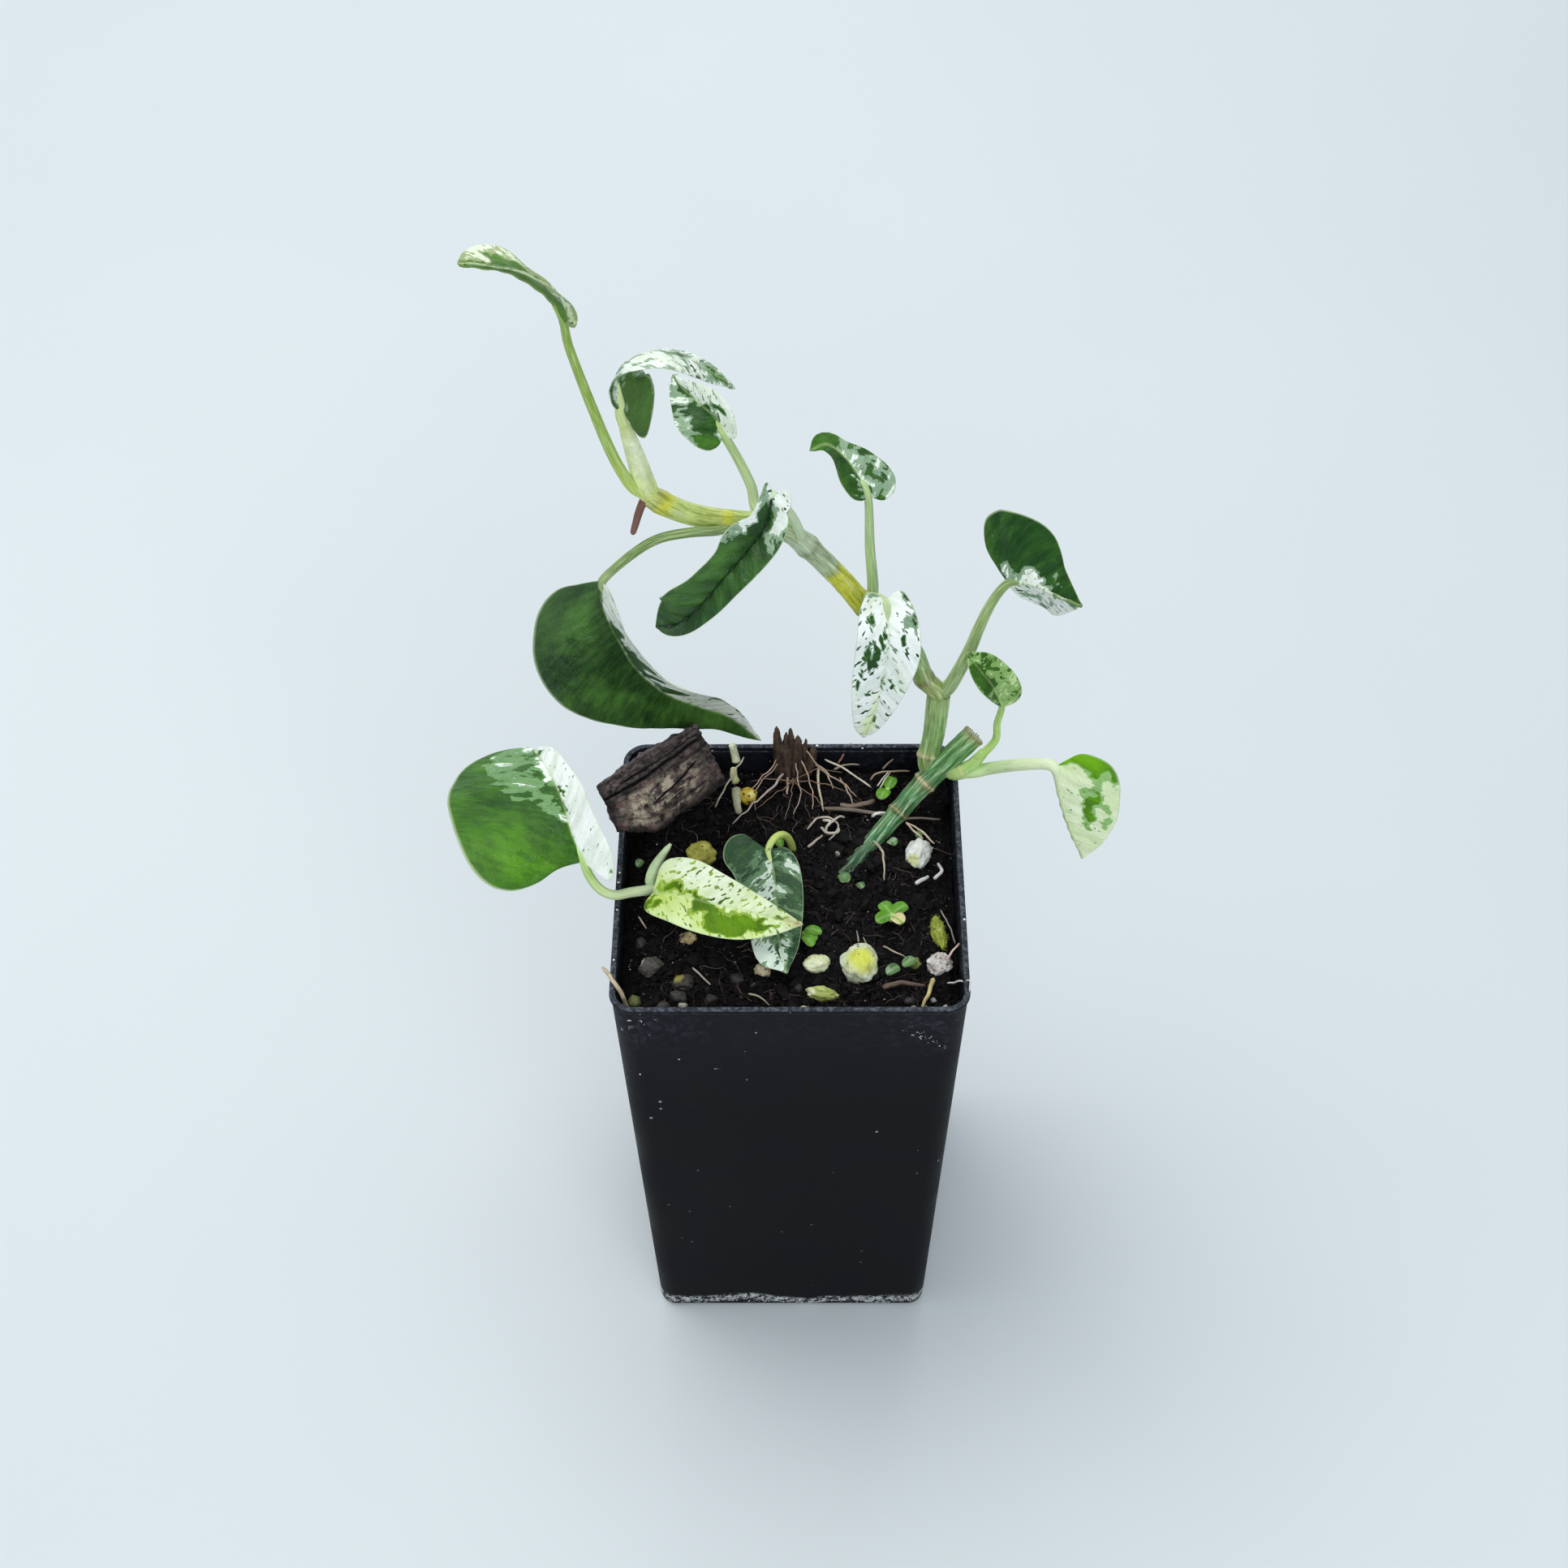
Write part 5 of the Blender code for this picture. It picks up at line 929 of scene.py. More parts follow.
def leafMaterial(name, look):
    material, tree, shader, where = makeMaterial(name)
    along, across, edge = (attribute(tree, key) for key in ("along", "across", "edge"))
    under, brown = attribute(tree, "under"), attribute(tree, "brown")
    values = {key.capitalize(): attribute(tree, key) for key in ("pale", "fleck", "glow")}
    values["Vein place"] = attribute(tree, "veinPlace", "Vector")
    for key in ("dark", "bright", "grey", "white", "cream", "ragged"):
        values[key.capitalize()] = look[key]
    colour = useGroup(tree, variegation, values)["Color"]
    veins = useGroup(tree, sideVeins, {"Along": along, "Across": across, "Spacing": 1.5})
    colour = mixColour(times(veins["Line"], 0.04), colour, look["cream"])
    # a pale midrib line on most leaves; on the folded leaf a dark one, painted shade in its groove
    ribLineAndGrooveShade = step(calc("ABSOLUTE", across), 0.12, 0.5, look["spineAmount"], 0.0)
    colour = mixColour(ribLineAndGrooveShade, colour, look["spine"])
    colour = mixColour(step(edge, 0.965, 0.995, 0.0, 0.6), colour, leafTones["rim"])
    colour = mixColour(times(under, 0.2), colour, leafTones["under"])
    colour = mixColour(brown, colour, leafTones["brown"])
    gloss = step(noiseAt(where, 0.3, 2.0), 0.3, 0.7, 0.27, 0.42)
    fill(shader, {"Base Color": colour, "Roughness": plus(gloss, times(under, 0.2)),
                  "Specular IOR Level": look["sheen"]})
    puckers = times(noiseAt(where, 0.55, 3.0, 0.6), 2.2)
    bump(shader, plus(veins["Height"], puckers), 0.6, 0.0003)
    return material


def outlineRows(half, count):
    path = Path(half, 16, [1, 0.5])
    return [path.at(k / count) for k in range(count + 1)]


def paint(patches, row, side):
    return sum(amount * math.exp(-((row - u) / du) ** 2 - ((side - v) / dv) ** 2)
               for u, v, du, dv, amount in patches)


def squared(upper, ahead):
    # the upper side's direction, made square to the way ahead
    return unit(upper - ahead * np.dot(upper, ahead))


def growBlade(name, leaf, rows, columns, seed):
    # one sheet with the midrib in the middle column; both ends close to a point
    path = Path(leaf["rib"])
    upperSide = Track(leaf["face"])
    middle = np.linspace(0, 1, rows + 1) ** rowCrowding
    points, ids, veinPlace = [], {}, []
    values = {key: [] for key in ("along", "across", "edge", "pale", "fleck", "glow", "brown")}

    def keep(key, point, x, y, edge, row, side):
        ids[key] = len(points)
        points.append(point)
        spot = Vector((x * path.length, y, seed * 3.0))
        drift = sum((noise.noise_vector(spot * scale) * reach for scale, reach in patchDrift), Vector())
        index = 0 if side >= 0 else 1
        row, bent = row + drift.x / path.length, side + drift.y / leaf["width"][index]
        base = leaf["pale"][index] if side else sum(leaf["pale"]) / 2
        pale = base + paint(leaf["palePatches"], row, bent)
        if "sweep" in leaf and side < 0:
            start, slope, amount = leaf["sweep"]
            lean = row - start - slope * abs(bent)
            pale += amount * min(max(lean / 0.05 + 0.5, 0), 1)
        glow = leaf["glow"] + paint(leaf.get("glowPatches", ()), row, bent)
        brown = paint(leaf.get("brownPatches", ()), row, bent)
        found = (x * path.length, y, edge, pale, leaf["fleck"], min(max(glow, 0), 1), brown)
        for column, value in zip(values.values(), found):
            column.append(value)
        veinPlace.append((x * path.length - veinLean * abs(y), y + 20 * seed, seed * 7.0))

    for i in range(rows + 1):
        closed = i in (0, rows)
        keep((i, 0), path.at(middle[i]), middle[i], 0, 1 if closed else 0, i / rows, 0)
    for side, index in ((1, 0), (-1, 1)):
        margin = outlineRows(leaf["half"][index], rows)
        width = leaf["width"][index]
        fold, curl = Track(leaf["fold"][index]), Track(leaf.get("curl", flat)[index])
        for i in range(1, rows):
            for j in range(1, columns + 1):
                share = 0.5 - 0.5 * math.cos(math.pi * j / columns)
                x = middle[i] * (1 - share) + margin[i][0] * share
                y = margin[i][1] * width * share
                inside = min(max(x, 0), 1)
                ahead = path.direction(inside)
                upper = squared(upperSide.at(inside), ahead)
                start, bend = math.radians(fold.at(inside)), math.radians(curl.at(inside))
                if abs(bend) < 1e-3:
                    reach, lift = y * math.cos(start), y * math.sin(start)
                else:
                    end = start + bend * y / width
                    reach = width / bend * (math.sin(end) - math.sin(start))
                    lift = width / bend * (math.cos(start) - math.cos(end))
                point = path.at(inside) + ahead * (x - inside) * path.length
                point = point + side * np.cross(ahead, upper) * reach + upper * lift
                keep((i, side * j), point, x, side * y, share, i / rows, side * share)
    faces = []
    for i in range(rows):
        for side in (1, -1):
            for j in range(columns):
                corners = []
                for a, b in ((i, j), (i + 1, j), (i + 1, j + 1), (i, j + 1)):
                    key = (a, side * b) if 0 < a < rows else (a, 0)
                    corners.append(ids[key])
                corners = list(dict.fromkeys(corners))
                if len(corners) > 2:
                    faces.append(corners if side < 0 else corners[::-1])
    sheet = meshObject(name, points, faces)
    for key, row in values.items():
        writeValues(sheet.data, key, row)
    writeValues(sheet.data, "veinPlace", veinPlace, "FLOAT_VECTOR")
    return sheet


def buildLeaf(name, leaf, seed):
    path, look = Path(leaf["rib"]), lookOf(leaf)
    rows = int(min(max(path.length / cellSize, 44), 110))
    columns = int(min(max(max(leaf["width"]) / cellSize, 14), 38))
    sheet = growBlade(name, leaf, rows, columns, seed)
    applyTree(sheet, leafBlade, {"Thickness": look["thickness"], "Quilting": look["quilting"],
                                 "Ripple": look["ripple"], "Ripple size": look["rippleSize"],
                                 "Vein spacing": 3.0, "Midrib": 0.22, "Material": leafMaterial(name, look)})
    points = list(leaf["petiole"])
    first, last = leaf["diameter"]
    profile = [(0, first), (1, last)]
    stalkLength = Path(points).length
    overlap = leaf.get("overlap", 3.5)
    if overlap:
        # the stalk runs on under the blade and thins out there
        reach = overlap / path.length
        upper = squared(Track(leaf["face"]).at(reach), path.direction(reach))
        points.append(tuple(path.at(reach) - upper * 0.25))
        profile = [(0, first), (round(stalkLength / (stalkLength + overlap), 4), last), (1, 0.7)]
    material = stalkMaterial(name + " stalk", (0.42, 0.55, 0.22), (0.68, 0.8, 0.4), 0.38, 0.55, 0.02)
    rings = int(max(stalkLength / 0.7, 12))
    petiole = growStalk("petiole", points, profile, leaf["stalkTint"], material, rings, 14, 0, 0, 0.03, 2.5)
    return joinPieces(name, [sheet, petiole])


# ---- pot ----

pot = {
    "height": 109.0, "rim": 63.5, "foot": 54.6, "rimCorner": 4.2, "footCorner": 3.2, "wall": 0.9,
    "lip": 1.1, "lipStep": 0.3, "lipRound": 0.35, "footRound": 1.2, "floor": 1.2,
    "hole": 7.0, "holeOffset": 18.5,
    "ringHeights": (1.6, 14, 28, 42, 56, 70, 84, 98), "innerHeights": (105, 84, 56, 28, 3),
    # clusters of dust on the front wall: across, height, reach
    "dust": [(-26.9, 105.3, 1.0), (-25.1, 104.6, 0.8), (-28.4, 105.6, 0.6), (21, 103.7, 0.7),
             (24, 100.4, 1.1), (22.6, 101.6, 1.2), (20.4, 102.6, 0.8), (25.4, 98.8, 0.9),
             (-27.6, 103.6, 1.0), (-24, 105.8, 0.8), (27, 97.3, 0.9), (-24.4, 101.3, 0.5),
             (-26.9, 88.6, 0.4), (-13.1, 90.2, 0.6), (-7.9, 96, 0.4)],
}


potTones = {
    # upper is a painted bluish sheen towards the top of the pot
    "plastic": ((0.002, 0.002, 0.0025), (0.005, 0.005, 0.007)), "upper": (0.01, 0.0105, 0.016),
    # the lip colour stands for worn edges with painted highlight lines
    "haze": (0.05, 0.055, 0.07), "lipWearAndHighlight": (0.16, 0.18, 0.22), "chips": (0.75, 0.76, 0.76),
    "grit": (0.4, 0.42, 0.45),
    "crust": (0.5, 0.52, 0.5), "dust": ((0.38, 0.4, 0.38), (0.7, 0.72, 0.7)),
}


def wallHalf(z):
    foot, top = pot["foot"] / 2, pot["rim"] / 2 - pot["lipStep"]
    return foot + (top - foot) * z / pot["height"]


def wallCorner(z):
    return pot["footCorner"] + (pot["rimCorner"] - pot["footCorner"]) * z / pot["height"]


def squareRing(half, corner, z):
    # rounded square, with a point on each flat just before and after its corner
    ring, steps = [], 12
    for quarter in range(4):
        turn = Matrix.Rotation(quarter * math.pi / 2, 3, "Z")
        spots = [(half, half - corner - 0.6)]
        for k in range(steps + 1):
            angle = math.pi / 2 * k / steps
            spots.append((half - corner + corner * math.cos(angle), half - corner + corner * math.sin(angle)))
        spots.append((half - corner - 0.6, half))
        ring += [tuple(turn @ Vector((x, y, 0)) + Vector((0, 0, z))) for x, y in spots]
    return ring


def loft(name, rings):
    count = len(rings[0])
    points = [point for ring in rings for point in ring]
    faces = [list(range(count))[::-1]]
    for r in range(len(rings) - 1):
        for k in range(count):
            after = (k + 1) % count
            faces.append((r * count + k, r * count + after, (r + 1) * count + after, (r + 1) * count + k))
    last = (len(rings) - 1) * count
    faces.append([last + k for k in range(count)])
    return meshObject(name, points, faces)


def smoothShade(item, angle):
    item.data.shade_smooth()
    item.data.set_sharp_from_angle(angle=math.radians(angle))


def potMaterial():
    # charcoal plastic: painted sheen near the top, worn and chipped lip with painted highlight lines, dust near
    # the top, mineral crust along the foot
    material, tree, shader, where = makeMaterial("pot plastic")
    xyz = addNode(tree, "ShaderNodeSeparateXYZ", {0: where}).outputs
    cloud = noiseAt(where, 0.07, 3.0)
    fine = noiseAt(where, 1.4, 3.0, 0.6)
    colour = mixColour(step(cloud, 0.3, 0.7), *potTones["plastic"])
    # painted reflection: towards the top the plastic turns to a bluish sheen
    high = step(xyz[2], 70.0, 109.0, 0.0, 0.5)
    colour = mixColour(high, colour, potTones["upper"])
    smears = step(noiseAt(where, 0.5, 5.0, 0.72, 0.6), 0.46, 0.72)
    haze = times(step(xyz[2], 92.0, 107.0, 0.0, 0.7), smears)
    haze = times(haze, step(calc("ABSOLUTE", xyz[0]), 6.0, 31.0, 0.2, 1.0))
    colour = mixColour(haze, colour, potTones["haze"])
    # painted highlight lines along the two edges of the lip, broken up by noise as if worn
    lowLine = times(step(xyz[2], 107.7, 107.95), step(xyz[2], 108.0, 108.2, 1.0, 0.0))
    topLine = step(xyz[2], 108.7, 108.95)
    lipWearAndHighlight = times(calc("MAXIMUM", lowLine, topLine), step(fine, 0.42, 0.66, 0.12, 0.6))
    colour = mixColour(lipWearAndHighlight, colour, potTones["lipWearAndHighlight"])
    chips = useGroup(tree, specks, {"Place": where, "Scale": 0.8, "Amount": 0.12, "Size": 0.16})["Mask"]
    onLip = step(xyz[2], 107.6, 108.0)
    colour = mixColour(times(chips, onLip), colour, potTones["chips"])
    grit = useGroup(tree, specks, {"Place": where, "Scale": 0.5, "Amount": 0.09, "Size": 0.12})["Mask"]
    colour = mixColour(times(grit, step(xyz[2], 20, 90, 0.1, 0.8)), colour, potTones["grit"])
    crustLevel = plus(xyz[2], times(minus(cloud, 0.5), 7.0))
    band = times(step(crustLevel, 1.0, 1.9), step(crustLevel, 3.0, 4.6, 1.0, 0.0))
    crust = times(band, step(noiseAt(where, 0.8, 4.0, 0.7), 0.43, 0.6))
    colour = mixColour(crust, colour, potTones["crust"])
    fill(shader, {"Base Color": colour, "Roughness": step(cloud, 0.3, 0.7, 0.42, 0.56),
                  "Specular IOR Level": 0.06})
    bump(shader, fine, 0.18, 0.0002)
    return material


def buildPot():
    high, rim, corner = pot["height"], pot["rim"] / 2, pot["rimCorner"]
    lipBottom, edge, bend = high - pot["lip"], pot["lipRound"], pot["footRound"]
    outer = []
    for k in range(7):
        angle = math.pi / 2 * k / 6
        out, up = math.sin(angle), 1 - math.cos(angle)
        outer.append((wallHalf(0) - bend + bend * out, bend * up, 2.2 + out))
    outer += [(wallHalf(z), z, wallCorner(z)) for z in (*pot["ringHeights"], lipBottom - 0.4, lipBottom)]
    outer += [(rim - 0.06, lipBottom + 0.12, corner + 0.24), (rim, lipBottom + 0.26, corner + 0.3),
              (rim, high - 0.4, corner + 0.3)]
    for k in range(1, 5):
        angle = math.pi / 2 * k / 4
        back = edge * (1 - math.cos(angle))
        outer.append((rim - back, high - edge + edge * math.sin(angle), corner + 0.3 - back))
    inner = [(rim - 0.8, high, corner - 0.5), (rim - 1.02, high - 0.12, corner - 0.7),
             (rim - 1.12, high - 0.4, corner - 0.8)]
    inner += [(wallHalf(z) - pot["wall"], z, wallCorner(z) - pot["wall"])
              for z in (*pot["innerHeights"], pot["floor"])]
    item = loft("pot", [squareRing(half, turn, z) for half, z, turn in outer + inner])
    offset, radius = pot["holeOffset"], pot["hole"] / 2
    angles = [2 * math.pi * k / 32 for k in range(32)]
    for x in (-offset, offset):
        for y in (-offset, offset):
            rings = [[(x + radius * math.cos(a), y + radius * math.sin(a), z) for a in angles]
                     for z in (-2, pot["floor"] + 1.5)]
            subtract(item, loft("hole", rings))
    item.data.materials.clear()
    item.data.materials.append(potMaterial())
    smoothShade(item, 30)
    return item


def dustMaterial():
    material, tree, shader, where = makeMaterial("mineral dust")
    shade = attribute(tree, "shade")
    fill(shader, {"Base Color": mixColour(shade, *potTones["dust"]), "Roughness": 0.9})
    return material


def buildPotDust():
    # grains that cling in loose clusters to the front wall and along its foot
    points, faces = [], []
    patches = [(x, z, reach) for x, z, reach in pot["dust"]]
    patches += [(x, 2.2 + 0.9 * math.sin(x * 0.9), 2.4) for x in range(-24, 26, 4)]
    for x, z, reach in patches:
        base = len(points)
        for a, b in ((-1, -1), (1, -1), (1, 1), (-1, 1)):
            high = max(z + 0.5 * reach * b, 1.4)
            points.append((x + reach * a, -wallHalf(high) + 0.02, high))
        faces.append((base, base + 1, base + 2, base + 3))
    sheet = meshObject("pot dust", points, faces)
    return applyTree(sheet, crumbs, {"Density": 7.0, "Seed": 4, "Smallest": 0.03, "Largest": 0.17,
                                     "Flatness": 0.5, "Rough": 0.06, "Material": dustMaterial()})


# ---- soil ----

soil = {"level": 103.6, "bottom": 4.0, "rough": 0.9, "cells": 150, "patchCells": 46}


soilTones = {
    "low": (0.0005, 0.0004, 0.0005), "high": (0.006, 0.0045, 0.005), "thread": (0.024, 0.018, 0.02),
    "glint": (0.3, 0.29, 0.3), "film": (0.02, 0.015, 0.01),
}


def soilHeight(x, y):
    edge = max(abs(x), abs(y)) / 30
    broad = noise.noise(Vector((x * 0.09, y * 0.09, 3.1)))
    fine = noise.noise(Vector((x * 0.31, y * 0.31, 8.4)))
    return soil["level"] + soil["rough"] * (broad * 1.1 + fine * 0.8) - 0.8 * edge ** 6


def soilMaterial():
    material, tree, shader, where = makeMaterial("peaty soil")
    grain = useGroup(tree, lumpyGrain, {"Place": where, "Size": 0.55, "Low": soilTones["low"],
                                        "High": soilTones["high"], "Contrast": 0.45})
    thread = noiseAt(vectorCalc("MULTIPLY", where, (0.5, 2.4, 1.0)), 0.9, 3.0, 0.6, 1.2)
    colour = mixColour(step(thread, 0.6, 0.72, 0.0, 0.4), grain["Color"], soilTones["thread"])
    glint = useGroup(tree, specks, {"Place": where, "Scale": 1.5, "Amount": 0.05, "Size": 0.16})["Mask"]
    colour = mixColour(glint, colour, soilTones["glint"])
    fill(shader, {"Base Color": colour, "Roughness": step(grain["Mask"], 0.0, 1.0, 0.6, 0.3),
                  "Specular IOR Level": 0.12})
    bump(shader, grain["Height"], 1.0, 0.0009)
    return material


def buildSoil():
    count = soil["cells"]
    points = []
    half = wallHalf(soil["level"]) - pot["wall"] - 0.15
    corner = wallCorner(soil["level"]) - pot["wall"]
    for i in range(count + 1):
        for j in range(count + 1):
            x, y = (2 * i / count - 1) * half, (2 * j / count - 1) * half
            overX, overY = abs(x) - (half - corner), abs(y) - (half - corner)
            if overX > 0 and overY > 0 and math.hypot(overX, overY) > 0:
                pull = max(overX, overY) / math.hypot(overX, overY)
                x = math.copysign(half - corner + overX * pull, x)
                y = math.copysign(half - corner + overY * pull, y)
            rough = noise.noise(Vector((x * 0.9, y * 0.9, 2.0))) * 0.5
            rough += noise.noise(Vector((x * 2.3, y * 2.3, 5))) * 0.34
            clod = max(0.0, 0.5 - noise.voronoi(Vector((x * 0.36, y * 0.36, 1.7)))[0][0]) * 2.4
            points.append((x, y, soilHeight(x, y) + rough + clod - 0.15))
    faces, border = gridFaces(count, count), gridBorder(count, count)
    below = len(points)
    squeeze = (wallHalf(soil["bottom"]) - pot["wall"] - 0.3) / half
    points += [(points[a][0] * squeeze, points[a][1] * squeeze, soil["bottom"]) for a, b in border]
    for k, (a, b) in enumerate(border):
        faces.append((a, below + k, below + (k + 1) % len(border), b))
    faces.append([below + k for k in range(len(border))][::-1])
    item = meshObject("soil", points, faces)
    item.data.materials.append(soilMaterial())
    smoothShade(item, 60)
    return item


def soilPatch(name, keepOut):
    # bare copy of the soil's top for strewing on, clear of the wall
    count = soil["patchCells"]
    half = wallHalf(soil["level"]) - pot["wall"] - keepOut
    spots = [(2 * k / count - 1) * half for k in range(count + 1)]
    points = [(x, y, soilHeight(x, y) - 0.05) for x in spots for y in spots]
    return meshObject(name, points, gridFaces(count, count))


def bitsMaterial(name, dark, light, rough=0.85):
    material, tree, shader, where = makeMaterial(name)
    shade = attribute(tree, "shade")
    grain = useGroup(tree, lumpyGrain, {"Place": where, "Size": 0.5, "Contrast": 0.5})
    mixture = plus(times(shade, 0.55), times(grain["Mask"], 0.45))
    fill(shader, {"Base Color": mixColour(mixture, dark, light), "Roughness": rough,
                  "Specular IOR Level": 0.12})
    bump(shader, grain["Height"], 0.8, 0.0005)
    return material


strewn = {
    # density per square millimetre, seed, smallest, largest, dark and light colours
    "peat clods": (0.14, 2, 0.5, 2.1, (0.0005, 0.0004, 0.0005), (0.005, 0.004, 0.004)),
    "peat crumbs": (1.6, 3, 0.1, 0.8, (0.0005, 0.0004, 0.0005), (0.009, 0.007, 0.0075)),
    "brown crumbs": (0.22, 8, 0.08, 0.4, (0.02, 0.013, 0.012), (0.1, 0.075, 0.08)),
    "pale grit": (0.045, 21, 0.05, 0.22, (0.3, 0.28, 0.26), (0.75, 0.75, 0.72)),
}
strewnFibres = {
    # density, seed, shortest, longest, thickness, bend, dark and light colours
    "dark fibres": (0.6, 5, 1.2, 5.0, 0.07, 2.6, (0.003, 0.0025, 0.003), (0.04, 0.03, 0.032)),
    "pale fibres": (0.1, 9, 1.5, 7.0, 0.045, 3.2, (0.06, 0.04, 0.035), (0.36, 0.27, 0.23)),
}


def strewCrumbs():
    items = []
    for name, (density, seed, smallest, largest, dark, light) in strewn.items():
        sheet = soilPatch(name, 0.9 + largest)
        items.append(applyTree(sheet, crumbs, {"Density": density, "Seed": seed, "Smallest": smallest,
                                               "Largest": largest, "Flatness": 0.8, "Rough": 0.5 * largest,
                                               "Material": bitsMaterial(name, dark, light, 0.5)}))
    return joinPieces("soil crumbs", items)


def strewFibres():
    items = []
    for name, (density, seed, shortest, longest, thick, bend, dark, light) in strewnFibres.items():
        sheet = soilPatch(name, 5.0)
        items.append(applyTree(sheet, fibres, {"Density": density, "Seed": seed, "Shortest": shortest,
                                               "Longest": longest, "Thick": thick, "Bend": bend, "Rise": 0.22,
                                               "Material": bitsMaterial(name, dark, light, 0.6)}))
    return joinPieces("soil fibres", items)


# ---- stems ----

